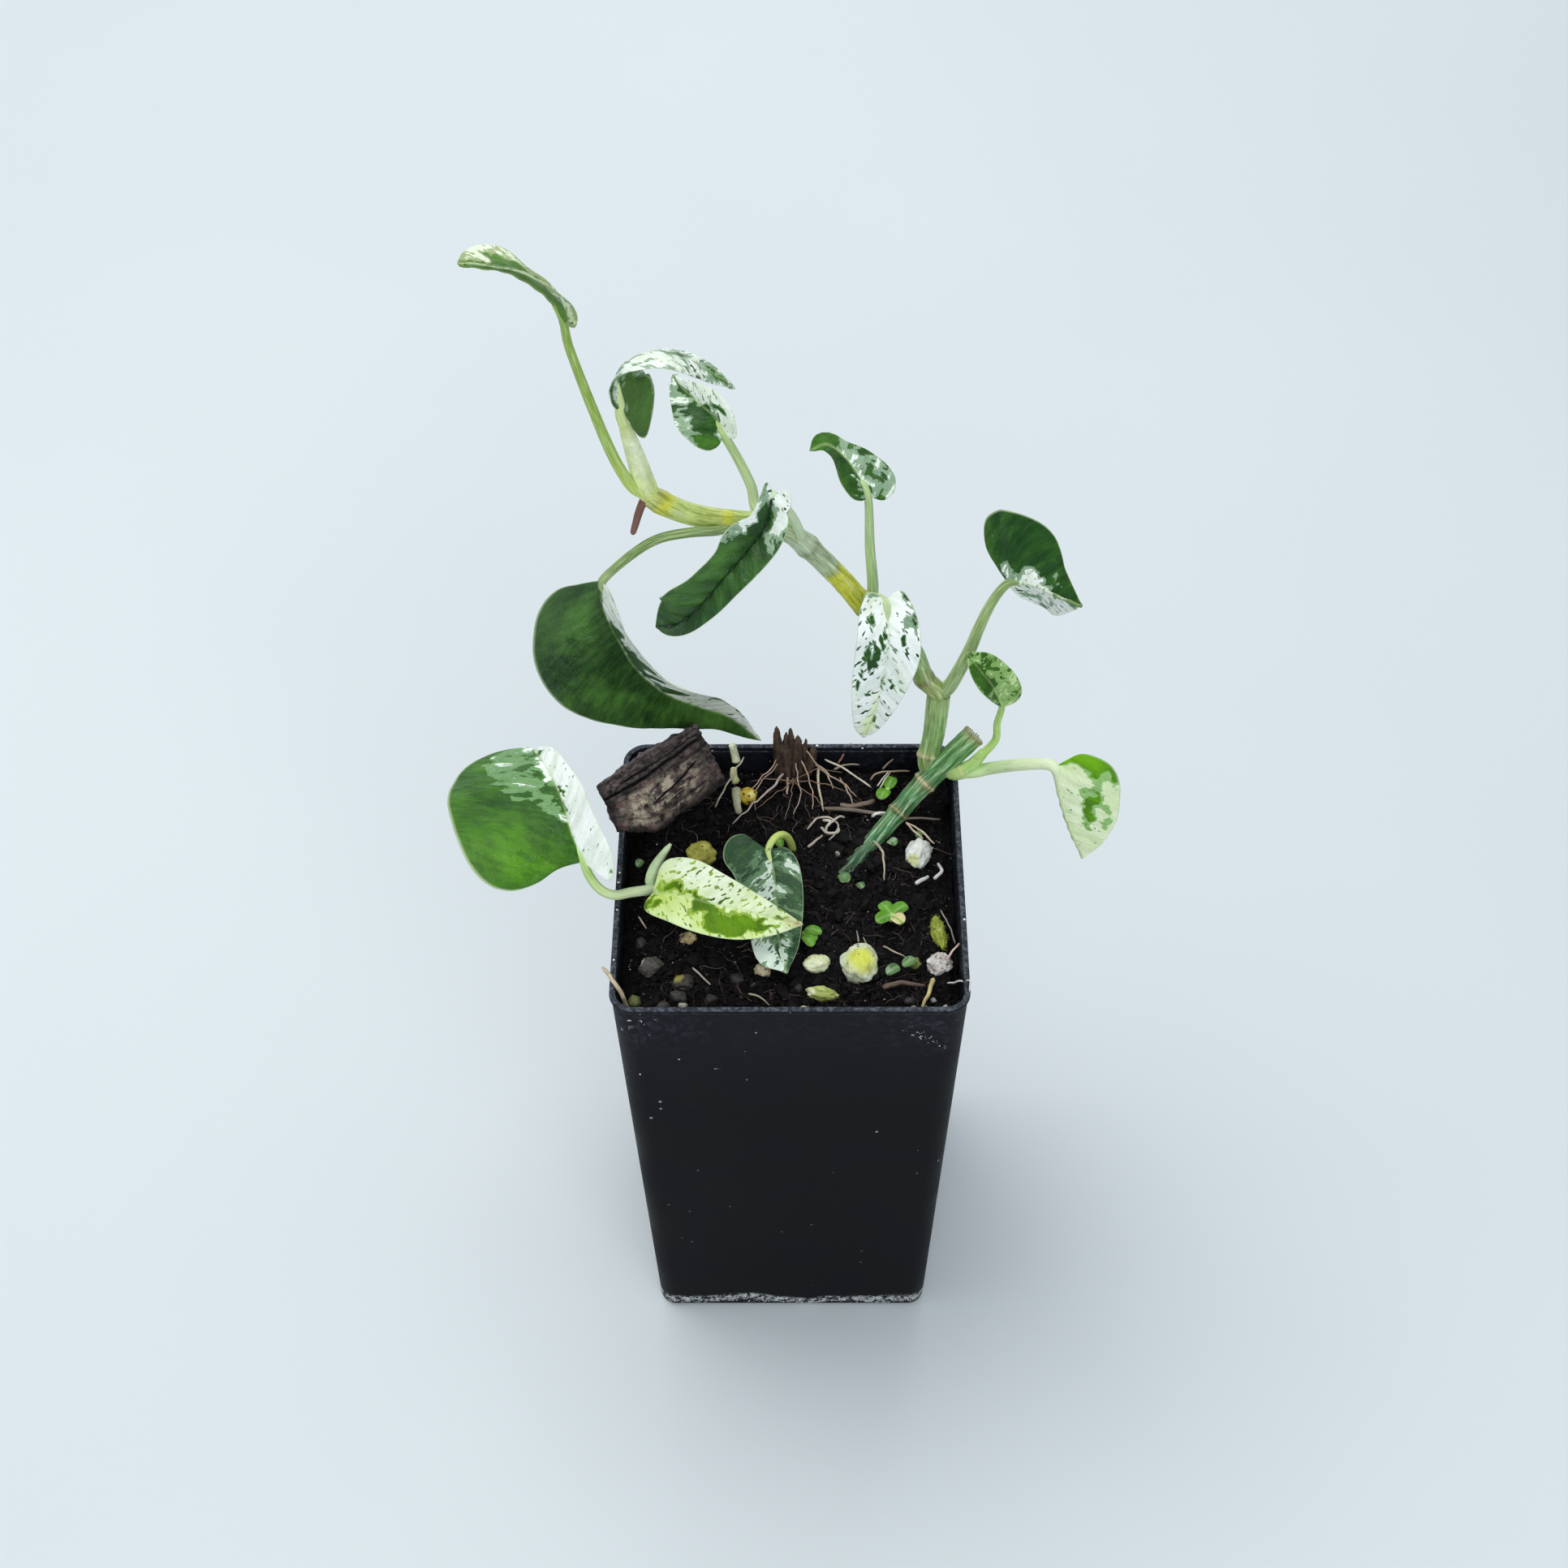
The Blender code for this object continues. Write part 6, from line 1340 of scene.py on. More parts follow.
# profile gives the diameter and tints the colour, by fraction of the length
stems = {
    "old_stem": {
        "points": [(9.5, 3.5, 102.5), (16, 12, 103.8), (20.5, 17, 106), (25.5, 20.5, 110.5),
            (34.5, 25.5, 118)],
        "profile": [(0, 3), (0.42, 3.6), (0.445, 3.9), (0.46, 4.4), (0.475, 4.1), (0.5, 3.8), (0.62, 4),
            (0.645, 4.3), (0.66, 4.8), (0.675, 4.5), (0.7, 4.2), (0.98, 4.4), (1, 4.1)],
        "tints": [(0, (0.03, 0.06, 0.035)), (0.16, (0.05, 0.14, 0.07)), (0.3, (0.09, 0.25, 0.11)),
            (0.44, (0.08, 0.22, 0.08)), (0.455, (0.16, 0.17, 0.07)), (0.462, (0.42, 0.34, 0.18)),
            (0.47, (0.12, 0.14, 0.05)), (0.49, (0.07, 0.2, 0.08)), (0.56, (0.11, 0.3, 0.12)),
            (0.65, (0.13, 0.26, 0.09)), (0.657, (0.5, 0.4, 0.22)), (0.664, (0.66, 0.55, 0.34)),
            (0.672, (0.3, 0.3, 0.12)), (0.68, (0.08, 0.2, 0.07)), (0.75, (0.13, 0.32, 0.12)),
            (0.95, (0.17, 0.38, 0.12)), (0.985, (0.34, 0.42, 0.18)), (0.995, (0.34, 0.32, 0.14)),
            (1, (0.45, 0.52, 0.3))],
        "dark": (0.18, 0.36, 0.2), "light": (0.5, 0.66, 0.42), "streak": 0.85, "rings": 90, "sides": 72,
        "ribs": 7, "ribDepth": 0.02, "lumps": 0.14,
    },
    "shoot": {
        "points": [(26.6, 21.6, 111.6), (26, 23.6, 113.4), (27, 26, 118.5), (27.5, 27, 127.5)],
        "profile": [(0, 3.8), (0.17, 4.2), (0.2, 4.8), (0.24, 4.3), (0.3, 4), (0.85, 4.4), (1, 4.4)],
        "tints": [(0, (0.2, 0.28, 0.1)), (0.17, (0.22, 0.34, 0.1)), (0.2, (0.55, 0.46, 0.25)),
            (0.24, (0.24, 0.36, 0.12)), (0.4, (0.22, 0.4, 0.12)), (0.8, (0.36, 0.52, 0.2)),
            (1, (0.34, 0.46, 0.16))],
        "dark": (0.35, 0.6, 0.3), "light": (0.55, 0.7, 0.42), "streak": 0.7, "rings": 50, "sides": 48,
        "ribs": 8, "ribDepth": 0.02, "lumps": 0.06,
    },
    "vine": {
        "points": [(27.5, 27, 125.5), (27, 27, 128.5), (24.5, 27, 132), (22, 25, 141), (17.5, 22, 150.5),
            (12.5, 20, 158), (8, 18, 166.5), (1, 15, 178), (-4, 13, 182.5), (-8.5, 12, 184),
            (-14.5, 11, 186), (-19, 10.5, 188.5), (-22.5, 10, 191.5)],
        "profile": [(0, 3.6), (0.06, 3.7), (0.08, 4.1), (0.1, 3.8), (0.36, 3.8), (0.385, 4.1), (0.4, 4.6),
            (0.42, 4.1), (0.45, 3.8), (0.6, 3.7), (0.625, 3.9), (0.64, 4.3), (0.66, 3.8), (0.68, 3.6),
            (0.86, 3.5), (0.95, 3.8), (0.97, 4.1), (1, 3.4)],
        "tints": [(0, (0.34, 0.46, 0.16)), (0.07, (0.36, 0.42, 0.15)), (0.085, (0.22, 0.22, 0.09)),
            (0.1, (0.28, 0.38, 0.12)), (0.14, (0.28, 0.44, 0.16)), (0.34, (0.33, 0.46, 0.18)),
            (0.38, (0.26, 0.3, 0.1)), (0.395, (0.5, 0.46, 0.2)), (0.41, (0.5, 0.5, 0.06)),
            (0.44, (0.7, 0.68, 0.04)), (0.54, (0.68, 0.68, 0.06)), (0.555, (0.4, 0.46, 0.16)),
            (0.57, (0.46, 0.56, 0.36)), (0.63, (0.4, 0.5, 0.3)), (0.64, (0.28, 0.34, 0.2)),
            (0.65, (0.42, 0.52, 0.36)), (0.7, (0.5, 0.6, 0.4)), (0.76, (0.42, 0.56, 0.2)),
            (0.82, (0.58, 0.7, 0.2)), (0.84, (0.74, 0.74, 0.06)), (0.86, (0.64, 0.74, 0.2)),
            (0.94, (0.66, 0.78, 0.26)), (0.97, (0.74, 0.72, 0.05)), (0.985, (0.5, 0.54, 0.14)),
            (1, (0.68, 0.76, 0.3))],
        "dark": (0.4, 0.52, 0.3), "light": (0.72, 0.8, 0.5), "streak": 0.7, "rings": 190, "sides": 40,
        "ribs": 5, "ribDepth": 0.01, "lumps": 0.1,
    },
    "sheath": {
        "points": [(-21.5, 10, 190.5), (-22.8, 10.2, 193), (-24, 10.5, 198.5), (-25.5, 10.5, 205.5)],
        "profile": [(0, 3), (0.2, 3.7), (0.6, 3), (0.92, 2.2), (1, 1.7)],
        "tints": [(0, (0.66, 0.72, 0.12)), (0.15, (0.7, 0.8, 0.3)), (0.5, (0.82, 0.9, 0.56)),
            (0.8, (0.84, 0.92, 0.62)), (1, (0.66, 0.76, 0.3))],
        "dark": (0.75, 0.8, 0.5), "light": (0.86, 0.9, 0.62), "streak": 0.5, "rings": 40, "sides": 36,
        "ribs": 5, "ribDepth": 0.05, "lumps": 0.08,
    },
    "cutting": {
        "points": [(-16, -1.5, 99), (-19.5, -3.5, 105), (-22.5, -4.7, 108.5), (-24.5, -5.2, 110.3)],
        "profile": [(0, 3), (0.6, 3.2), (0.82, 3.6), (0.86, 3.9), (0.9, 3.5), (0.98, 3.0), (1, 2.5)],
        "tints": [(0, (0.1, 0.12, 0.06)), (0.5, (0.12, 0.22, 0.08)), (0.8, (0.2, 0.36, 0.12)),
            (0.86, (0.42, 0.42, 0.22)), (1, (0.3, 0.45, 0.18))],
        "dark": (0.3, 0.5, 0.28), "light": (0.4, 0.55, 0.3), "streak": 0.7, "rings": 40, "sides": 36,
        "ribs": 7, "ribDepth": 0.03, "lumps": 0.08,
    },
    "stipule": {
        "points": [(-23.5, -5, 109), (-25.2, -4.2, 111), (-24, -1.8, 113.2), (-21.5, 0.3, 116.3)],
        "profile": [(0, 1.8), (0.5, 2), (0.9, 1.1), (1, 0.5)],
        "tints": [(0, (0.5, 0.64, 0.34)), (0.5, (0.58, 0.76, 0.42)), (1, (0.66, 0.8, 0.5))],
        "dark": (0.7, 0.85, 0.6), "light": (0.8, 0.9, 0.7), "streak": 0.4, "rings": 26, "sides": 20,
        "ribs": 3, "ribDepth": 0.1, "lumps": 0.04,
    },
    "young_shoot": {
        "points": [(28.6, 22.2, 113), (30.8, 21, 112.3), (33.5, 21, 114), (36, 21, 118)],
        "profile": [(0, 2.6), (0.36, 2.9), (0.4, 3.1), (0.45, 2.8), (1, 1.8)],
        "tints": [(0, (0.4, 0.5, 0.2)), (0.36, (0.42, 0.6, 0.2)), (0.4, (0.55, 0.56, 0.26)),
            (0.5, (0.46, 0.7, 0.22)), (1, (0.5, 0.74, 0.24))],
        "dark": (0.6, 0.85, 0.4), "light": (0.65, 0.84, 0.45), "streak": 0.4, "rings": 34, "sides": 24,
        "ribs": 5, "ribDepth": 0.03, "lumps": 0.04,
    },
    "aerial_root": {
        "points": [(-22.5, 10, 191.3), (-23.6, 8.6, 190), (-25, 6, 186.5)],
        "profile": [(0, 1.5), (0.5, 1.3), (0.8, 1.15), (0.95, 0.95), (1, 0.4)],
        "tints": [(0, (0.2, 0.12, 0.06)), (0.4, (0.15, 0.06, 0.05)), (1, (0.2, 0.09, 0.08))],
        "dark": (0.5, 0.4, 0.35), "light": (0.3, 0.17, 0.14), "streak": 0.4, "rings": 24, "sides": 16,
        "ribs": 0, "ribDepth": 0.0, "lumps": 0.08,
    },
}


def growStem(name):
    row = stems[name]
    material = stalkMaterial(name.replace("_", " "), row["dark"], row["light"], 0.42, row["streak"], 0.2)
    return growStalk(name, row["points"], row["profile"], row["tints"], material, row["rings"], row["sides"],
                     row["ribs"], row["ribDepth"], row["lumps"], 1.6)


def raggedCut():
    # torn skin round the old stem's cut end
    curve = smoothCurve(stems["old_stem"]["points"])
    ahead = unit(curve[-1] - curve[-6])
    across = unit(np.cross(ahead, (0.31, 0.2, 0.93)))
    upright = np.cross(ahead, across)
    material = stalkMaterial("torn skin", (0.4, 0.36, 0.2), (0.5, 0.5, 0.3), 0.7, 0.5, 0.2)
    profile = [(0, 0.5), (0.6, 0.42), (1, 0.1)]
    tints = [(0, (0.3, 0.36, 0.16)), (1, (0.4, 0.3, 0.18))]
    items, count = [], 26
    for k in range(count):
        angle = 2 * math.pi * k / count
        out = across * math.cos(angle) + upright * math.sin(angle)
        long = 0.25 + 0.75 * abs(noise.noise(Vector((k * 1.7, 2.0, 1.0))))
        start = curve[-1] + out * 2.02 - ahead * 0.5
        tip = curve[-1] + out * (1.95 + 0.3 * long) + ahead * long * 0.55
        points = [tuple(start), tuple((start + tip) / 2 + out * 0.08), tuple(tip)]
        items.append(growStalk("torn", points, profile, tints, material, 5, 6))
    return joinPieces("torn", items)


# ---- bark ----

bark = {
    "upper": [(-36, 17, 113), (-28, 20.5, 117.5), (-17.5, 24, 123)],
    "lower": [(-32, 8.8, 109.9), (-25, 13.6, 103.6), (-12.2, 25.6, 104.4)],
    "depth": [(-0.6, 3, -2.6), (-0.4, 4.4, -3), (0, 2.4, -2.4)],
    "normal": (0.14, -0.84, 0.53), "columns": 120, "rows": 84,
    # start down the face, slope, first and last fraction along it, width, depth
    "cracks": [(0.3, -0.06, 0.0, 1.0, 0.022, 1.3), (0.18, -0.02, 0.2, 1.0, 0.012, 0.6),
               (0.86, -0.42, 0.5, 0.92, 0.01, 0.6)],
}


barkTones = {
    "low": (0.007, 0.005, 0.005), "skin": (0.17, 0.13, 0.12), "pink": (0.34, 0.2, 0.19), "tan": (0.85, 0.72, 0.55),
    "pore": (0.01, 0.007, 0.006), "scar": (0.014, 0.01, 0.009), "foot": (0.012, 0.009, 0.009),
    "end": (0.008, 0.006, 0.006), "crack": (0.003, 0.002, 0.002),
}


def fromKnots(values, fraction):
    return between(values, np.linspace(0, 1, len(values)), fraction)


def barkMaterial():
    material, tree, shader, where = makeMaterial("layered bark")
    along, down = attribute(tree, "barkAlong"), attribute(tree, "barkDown")
    crack = attribute(tree, "crack")
    flat = combine(tree, times(along, 2.2), times(down, 9.0), 0.0)
    stripes = noiseAt(flat, 2.4, 4.0, 0.7, 0.4)
    grain = useGroup(tree, lumpyGrain, {"Place": where, "Size": 0.55, "Low": barkTones["low"],
                                        "High": barkTones["skin"], "Contrast": 0.7})
    skin = mixColour(step(stripes, 0.42, 0.7, 0.0, 0.6), grain["Color"], barkTones["skin"])
    pink = mixColour(step(noiseAt(where, 0.35, 3.0), 0.48, 0.62, 0.0, 0.75), skin, barkTones["pink"])
    tan = noiseAt(where, 0.55, 4.0, 0.65)
    middle = times(step(along, 0.08, 0.4), step(along, 0.75, 0.98, 1.0, 0.0))
    lower = times(step(down, 0.34, 0.46), step(down, 0.82, 0.97, 1.0, 0.0))
    patch = times(times(middle, lower), step(tan, 0.4, 0.6))
    face = mixColour(times(patch, 0.9), pink, barkTones["tan"])
    colour = mixColour(step(down, 0.26, 0.34), skin, face)
    pores = useGroup(tree, specks, {"Place": where, "Scale": 1.5, "Amount": 0.22, "Size": 0.22})["Mask"]
    colour = mixColour(times(pores, 0.85), colour, barkTones["pore"])
    scars = noiseAt(flat, 1.1, 5.0, 0.75, 0.8)
    colour = mixColour(step(scars, 0.36, 0.5, 0.85, 0.0), colour, barkTones["scar"])
    colour = mixColour(step(down, 0.86, 1.0, 0.0, 0.8), colour, barkTones["foot"])
    colour = mixColour(step(along, 0.0, 0.14, 0.85, 0.0), colour, barkTones["end"])
    colour = mixColour(step(crack, 0.05, 0.55), colour, barkTones["crack"])
    fill(shader, {"Base Color": colour, "Roughness": 0.85})
    height = plus(grain["Height"], times(stripes, 0.8))
    bump(shader, height, 1.0, 0.0008)
    return material


def buildBarkChunk():
    columns, rows = bark["columns"], bark["rows"]
    normal = np.array(bark["normal"])
    points, marks = [], {"barkAlong": [], "barkDown": [], "crack": []}
    for layer in (0, 1):
        for i in range(columns + 1):
            u = i / columns
            high, low, back = (fromKnots(bark[key], u) for key in ("upper", "lower", "depth"))
            for j in range(rows + 1):
                v = j / rows
                base = high * (1 - v) + low * v + back * layer * (0.55 + 0.45 * v)
                rough = noise.noise(Vector(base) * 0.42) * 0.7 + noise.noise(Vector((u * 2, v * 9, 5))) * 0.9
                ledge = 0.8 * math.sin(v * 9.5 + u * 1.8)
                spot = base + normal * ((rough + ledge * 0.7) * (1 if layer == 0 else 0.3))
                fine = noise.noise(Vector(base) * 1.3) * 0.3 + noise.noise(Vector((u * 7, v * 30, 2))) * 0.3
                fine += noise.noise(Vector(base) * 3.1) * 0.14
                crack = 0
                for start, slope, first, last, wide, deep in bark["cracks"]:
                    middle = start + slope * u + 0.02 * noise.noise(Vector((u * 6, start * 9, 0)))
                    inside = 1
                    if first:
                        inside = min(max((u - first) / 0.06, 0), 1) * min(max((last - u) / 0.06, 0), 1)
                    cut = math.exp(-((v - middle) / wide) ** 2) * inside
                    fine -= cut * deep
                    crack = max(crack, cut)
                rim = min(u, 1 - u, v, 1 - v)
                if rim < 0.03:
                    jag = Vector(spot) * 0.9
                    spot = spot + np.array((noise.noise(jag), 0, noise.noise(jag + Vector(normal)))) * 0.5
                    crack *= 0.5
                if layer == 0:
                    spot = spot + normal * fine
                points.append(spot)
                marks["barkAlong"].append(u)
                marks["barkDown"].append(v if layer == 0 else 0.1)
                marks["crack"].append(crack if layer == 0 else 0)
    stride, total = rows + 1, (columns + 1) * (rows + 1)
    faces = []
    for i in range(columns):
        for j in range(rows):
            a = i * stride + j
            b, c, d = a + 1, a + stride + 1, a + stride
            faces += [(a, b, c, d), (total + a, total + d, total + c, total + b)]
    border = [i * stride for i in range(columns, 0, -1)] + list(range(rows))
    border += [i * stride + rows for i in range(columns)] + [columns * stride + j for j in range(rows, 0, -1)]
    for k, a in enumerate(border):
        b = border[(k + 1) % len(border)]
        faces.append((b, a, total + a, total + b))
    item = meshObject("bark chunk", points, faces)
    for key, row in marks.items():
        writeValues(item.data, key, row)
    item.data.materials.append(barkMaterial())
    smoothShade(item, 55)
    return item


splinters = [
    ([(-0.6, 27.9, 100), (-0.8, 28, 108), (-1, 28.4, 113.5)], [(0, 3.8), (0.5, 3.2), (0.85, 2.6), (1, 0.6)]),
    ([(-2, 28, 101), (-2.3, 28.2, 110), (-2.5, 28.7, 117)], [(0, 1.6), (0.7, 1.7), (0.92, 1.1), (1, 0.2)]),
    ([(-0.6, 27.2, 101), (-0.9, 27.6, 109), (-0.7, 28.4, 115.6)],
     [(0, 1.8), (0.7, 1.5), (0.94, 0.8), (1, 0.2)]),
    ([(0.5, 28.2, 101), (0.3, 28.4, 110), (0.1, 28.8, 116.4)],
     [(0, 1.8), (0.75, 1.6), (0.95, 0.7), (1, 0.2)]),
    ([(1.4, 27.7, 100), (1.3, 28, 108), (1.5, 28.6, 114.6)], [(0, 3), (0.6, 2.3), (0.9, 1.5), (1, 0.3)]),
    ([(2.3, 28.3, 101), (2.6, 28.4, 108), (3, 28.8, 113.4)], [(0, 1.8), (0.7, 1.4), (1, 0.3)]),
    ([(1, 27.8, 101), (3.6, 28, 106.5), (4.6, 28.6, 111.6)], [(0, 2.2), (0.6, 2), (0.92, 1.2), (1, 0.3)]),
]


def buildBarkStub():
    material = stalkMaterial("old bark splinters", (0.2, 0.16, 0.15), (0.1, 0.06, 0.055), 0.8, 0.9, 0.4)
    tints = [(0, (0.008, 0.005, 0.004)), (0.6, (0.03, 0.017, 0.014)), (1, (0.09, 0.05, 0.04))]
    items = [growStalk("splinter", points, profile, tints, material, 46, 24, 5, 0.12, 0.3, 1.1)
             for points, profile in splinters]
    return joinPieces("bark stub", items)


# ---- stones and moss ----

# patch is a stain: its place from the middle, its reach and its colour
stones = {
    "stone_yellow": {
        "place": (12.5, -18), "half": (3.3, 3.9, 2.6), "turn": 10, "rough": 0.1, "pits": 0.12,
        "low": (0.36, 0.4, 0.2), "high": (0.78, 0.82, 0.66), "patch": (0.3, -0.6, 2.7, (0.6, 0.64, 0.03)),
        "specks": 0.12,
    },
    "stone_front_right": {
        "place": (27, -17.5), "half": (2.4, 2.2, 1.9), "turn": 30, "rough": 0.2, "pits": 0.8,
        "low": (0.3, 0.24, 0.21), "high": (0.85, 0.83, 0.8), "patch": (0, -0.6, 0.6, (0.12, 0.06, 0.05)),
        "specks": 0.55,
    },
    "stone_white": {
        "place": (24, 8), "half": (2.3, 3.2, 2.1), "turn": -15, "rough": 0.1, "pits": 0.1,
        "low": (0.5, 0.53, 0.45), "high": (0.8, 0.82, 0.78), "patch": (-1.5, -2.9, 1.6, (0.6, 0.62, 0.25)),
        "specks": 0.2,
    },
    "stone_pale": {
        "place": (4.8, -18), "half": (2.5, 1.8, 1.6), "turn": 5, "rough": 0.08, "pits": 0.1,
        "low": (0.45, 0.52, 0.2), "high": (0.82, 0.85, 0.62), "patch": (0, 1.4, 0.9, (0.16, 0.08, 0.04)),
        "specks": 0.1,
    },
    "stone_beige": {
        "place": (-4.6, -18.6), "half": (2, 1.4, 1.3), "turn": 0, "rough": 0.12, "pits": 0.1,
        "low": (0.45, 0.36, 0.2), "high": (0.74, 0.66, 0.45), "patch": (1.2, -0.6, 0.6, (0.3, 0.2, 0.1)),
        "specks": 0.15,
    },
    "stone_hooked": {
        "place": (5.8, -24.2), "half": (2.9, 1.4, 1.4), "turn": -12, "rough": 0.14, "pits": 0.12,
        "low": (0.25, 0.32, 0.05), "high": (0.56, 0.64, 0.2),
        "patch": (-2.2, -0.2, 0.9, (0.75, 0.72, 0.5)), "specks": 0.2, "slot": "mossy",
    },
    "stone_tiny": {
        "place": (2.6, -28), "half": (1.4, 1.1, 1.1), "turn": 0, "rough": 0.08, "pits": 0.06,
        "low": (0.5, 0.54, 0.2), "high": (0.76, 0.78, 0.42), "patch": (0, 0, 0.3, (0.7, 0.7, 0.4)),
        "specks": 0.05,
    },
    "stone_left": {
        "place": (-18.5, -11.5), "half": (1.6, 1.3, 1.2), "turn": 25, "rough": 0.14, "pits": 0.1,
        "low": (0.3, 0.2, 0.08), "high": (0.72, 0.58, 0.3), "patch": (-0.8, 0.3, 0.8, (0.2, 0.12, 0.06)),
        "specks": 0.2,
    },
    "stone_lump": {
        "place": (-25, -18), "half": (2.2, 1.8, 1.5), "turn": 40, "rough": 0.2, "pits": 0.3,
        "low": (0.02, 0.017, 0.015), "high": (0.09, 0.08, 0.065),
        "patch": (-2.2, 0.5, 1.0, (0.6, 0.64, 0.62)), "specks": 0.35,
    },
    "stone_dark": {
        "place": (-19, -21.5), "half": (1.9, 1.6, 1.4), "turn": 0, "rough": 0.25, "pits": 0.3,
        "low": (0.012, 0.01, 0.008), "high": (0.05, 0.04, 0.035),
        "patch": (-1.0, 0.6, 1.1, (0.3, 0.27, 0.05)), "specks": 0.3,
    },
    "moss_tuft": {
        "place": (-16.5, 8), "half": (2.7, 2.7, 1.9), "turn": 0, "rough": 0.12, "pits": 0.1,
        "low": (0.22, 0.2, 0.03), "high": (0.62, 0.58, 0.1), "patch": (0.6, 0.6, 1.0, (0.7, 0.64, 0.14)),
        "specks": 0.3, "slot": "mossy",
    },
    "moss_streak": {
        "place": (27, -10.5), "half": (1.3, 3.5, 1.4), "turn": 12, "rough": 0.2, "pits": 0.1,
        "low": (0.22, 0.27, 0.03), "high": (0.46, 0.5, 0.06), "patch": (0, 0, 0.5, (0.6, 0.62, 0.2)),
        "specks": 0.2, "slot": "mossy", "fuzz": (9.0, 0.2, 0.7),
    },
    "spotted_pellet": {
        "place": (-8, 22.5), "half": (1.8, 1.8, 1.7), "turn": 0, "rough": 0.02, "pits": 0.03,
        "low": (0.45, 0.28, 0.015), "high": (0.7, 0.52, 0.04),
        "patch": (0.7, -0.6, 0.8, (0.85, 0.78, 0.3)), "specks": 0.75, "dot": 0.36,
    },
}
pebbles = [
    # place, half sizes, colour
    ((-19, -26.5), (0.9, 0.7, 0.6), (0.62, 0.6, 0.5)), ((-19.5, -10.5), (0.8, 0.6, 0.5), (0.6, 0.56, 0.42)),
    ((9, 8.5), (0.7, 0.6, 0.5), (0.5, 0.52, 0.4)), ((27.6, -27), (0.7, 0.7, 0.5), (0.6, 0.58, 0.52)),
    ((25.5, -25.5), (0.6, 0.5, 0.5), (0.66, 0.64, 0.6)), ((24, -27), (0.5, 0.5, 0.4), (0.5, 0.5, 0.44)),
    ((13.7, -27), (0.8, 0.6, 0.5), (0.55, 0.55, 0.4)), ((17.3, -27.5), (0.6, 0.5, 0.4), (0.6, 0.6, 0.5)),
    ((22, -27.6), (0.7, 0.5, 0.4), (0.55, 0.5, 0.4)), ((-19.8, -25), (1.6, 1.2, 1.1), (0.04, 0.036, 0.032)),
    ((-22.5, -26.5), (1.2, 0.9, 0.8), (0.064, 0.06, 0.056)),
    ((-14, -25.5), (1.3, 1, 0.9), (0.02, 0.016, 0.014)),
    ((-27, -12.5), (1.2, 1, 0.8), (0.032, 0.024, 0.02)),
    ((1.5, -22.5), (1.0, 0.8, 0.7), (0.024, 0.02, 0.016)),
    ((-9.5, -21), (1.4, 1.1, 1), (0.014, 0.011, 0.01)),
    ((21.3, -26.3), (1.1, 0.9, 0.8), (0.016, 0.013, 0.012)),
    ((22.3, -17.2), (1.2, 1.2, 1.1), (0.2, 0.26, 0.05)), ((-27.6, -25.8), (1.3, 1.2, 1), (0.16, 0.2, 0.05)),
]


def stoneMaterial(name, stone, ground):
    material, tree, shader, where = makeMaterial(name.replace("_", " "))
    grain = useGroup(tree, lumpyGrain, {"Place": where, "Size": 0.9, "Low": stone["low"],
                                        "High": stone["high"], "Contrast": 0.35})
    dx, dy, reach, tone = stone["patch"]
    x, y = stone["place"]
    centre = (x + dx, y + dy, ground + stone["half"][2])
    gap = vectorCalc("DISTANCE", where, centre)
    uneven = plus(gap, times(minus(grain["Height"], 0.5), 1.6))
    colour = mixColour(step(uneven, reach * 0.5, reach * 1.3, 0.9, 0.0), grain["Color"], tone)
    dots = useGroup(tree, specks, {"Place": where, "Scale": 1.15, "Amount": stone["specks"],
                                   "Size": stone.get("dot", 0.24)})["Mask"]
    colour = mixColour(times(dots, 0.85), colour, (0.03, 0.022, 0.015))
    low = addNode(tree, "ShaderNodeSeparateXYZ", {0: where}).outputs[2]
    soiled = step(minus(low, times(grain["Height"], 0.9)), ground - 0.5, ground + 0.5, 0.85, 0.0)
    colour = mixColour(soiled, colour, soilTones["film"])
    fill(shader, {"Base Color": colour, "Roughness": 0.6})
    bump(shader, grain["Height"], 0.5, 0.0004)
    return material


def buildStone(name, stone, detail=5):
    x, y = stone["place"]
    a, b, c = stone["half"]
    ground = soilHeight(x, y)
    solid = bmesh.new()
    bmesh.ops.create_icosphere(solid, subdivisions=detail, radius=1)
    seed = a * 7.3 + x
    for vertex in solid.verts:
        out = vertex.co.normalized()
        scale = 1 + 0.22 * noise.noise(out * 1.6 + Vector((seed, y, 0)))
        coarse = noise.noise(out * 4.0 + Vector((seed, 1, 4)))
        scale += stone["rough"] * (coarse * 0.7 + noise.noise(out * 9.0) * 0.3)
        pit = max(0.0, 0.34 - noise.voronoi(out * 2.6 + Vector((seed, 0, 3)))[0][0])
        scale -= stone["pits"] * pit
        vertex.co = Vector((out.x * a, out.y * b, out.z * c)) * scale
    lifted = Matrix.Translation((x, y, ground + c * 0.35))
    solid.transform(lifted @ Matrix.Rotation(math.radians(stone["turn"]), 4, "Z"))
    mesh = bpy.data.meshes.new(name)
    solid.to_mesh(mesh)
    solid.free()
    item = addObject(name, mesh)
    mesh.materials.append(stoneMaterial(name, stone, ground))
    mesh.shade_smooth()
    if "fuzz" in stone:
        density, shortest, longest = stone["fuzz"]
        hairs = addObject("fuzz", mesh.copy())
        look = bitsMaterial("moss hairs", (0.2, 0.26, 0.03), (0.55, 0.62, 0.15))
        applyTree(hairs, fibres, {"Density": density, "Seed": 3, "Shortest": shortest, "Longest": longest,
                                  "Thick": 0.035, "Bend": 0.3, "Rise": 1.4, "Material": look})
        item = joinPieces(name, [item, hairs])
    return item


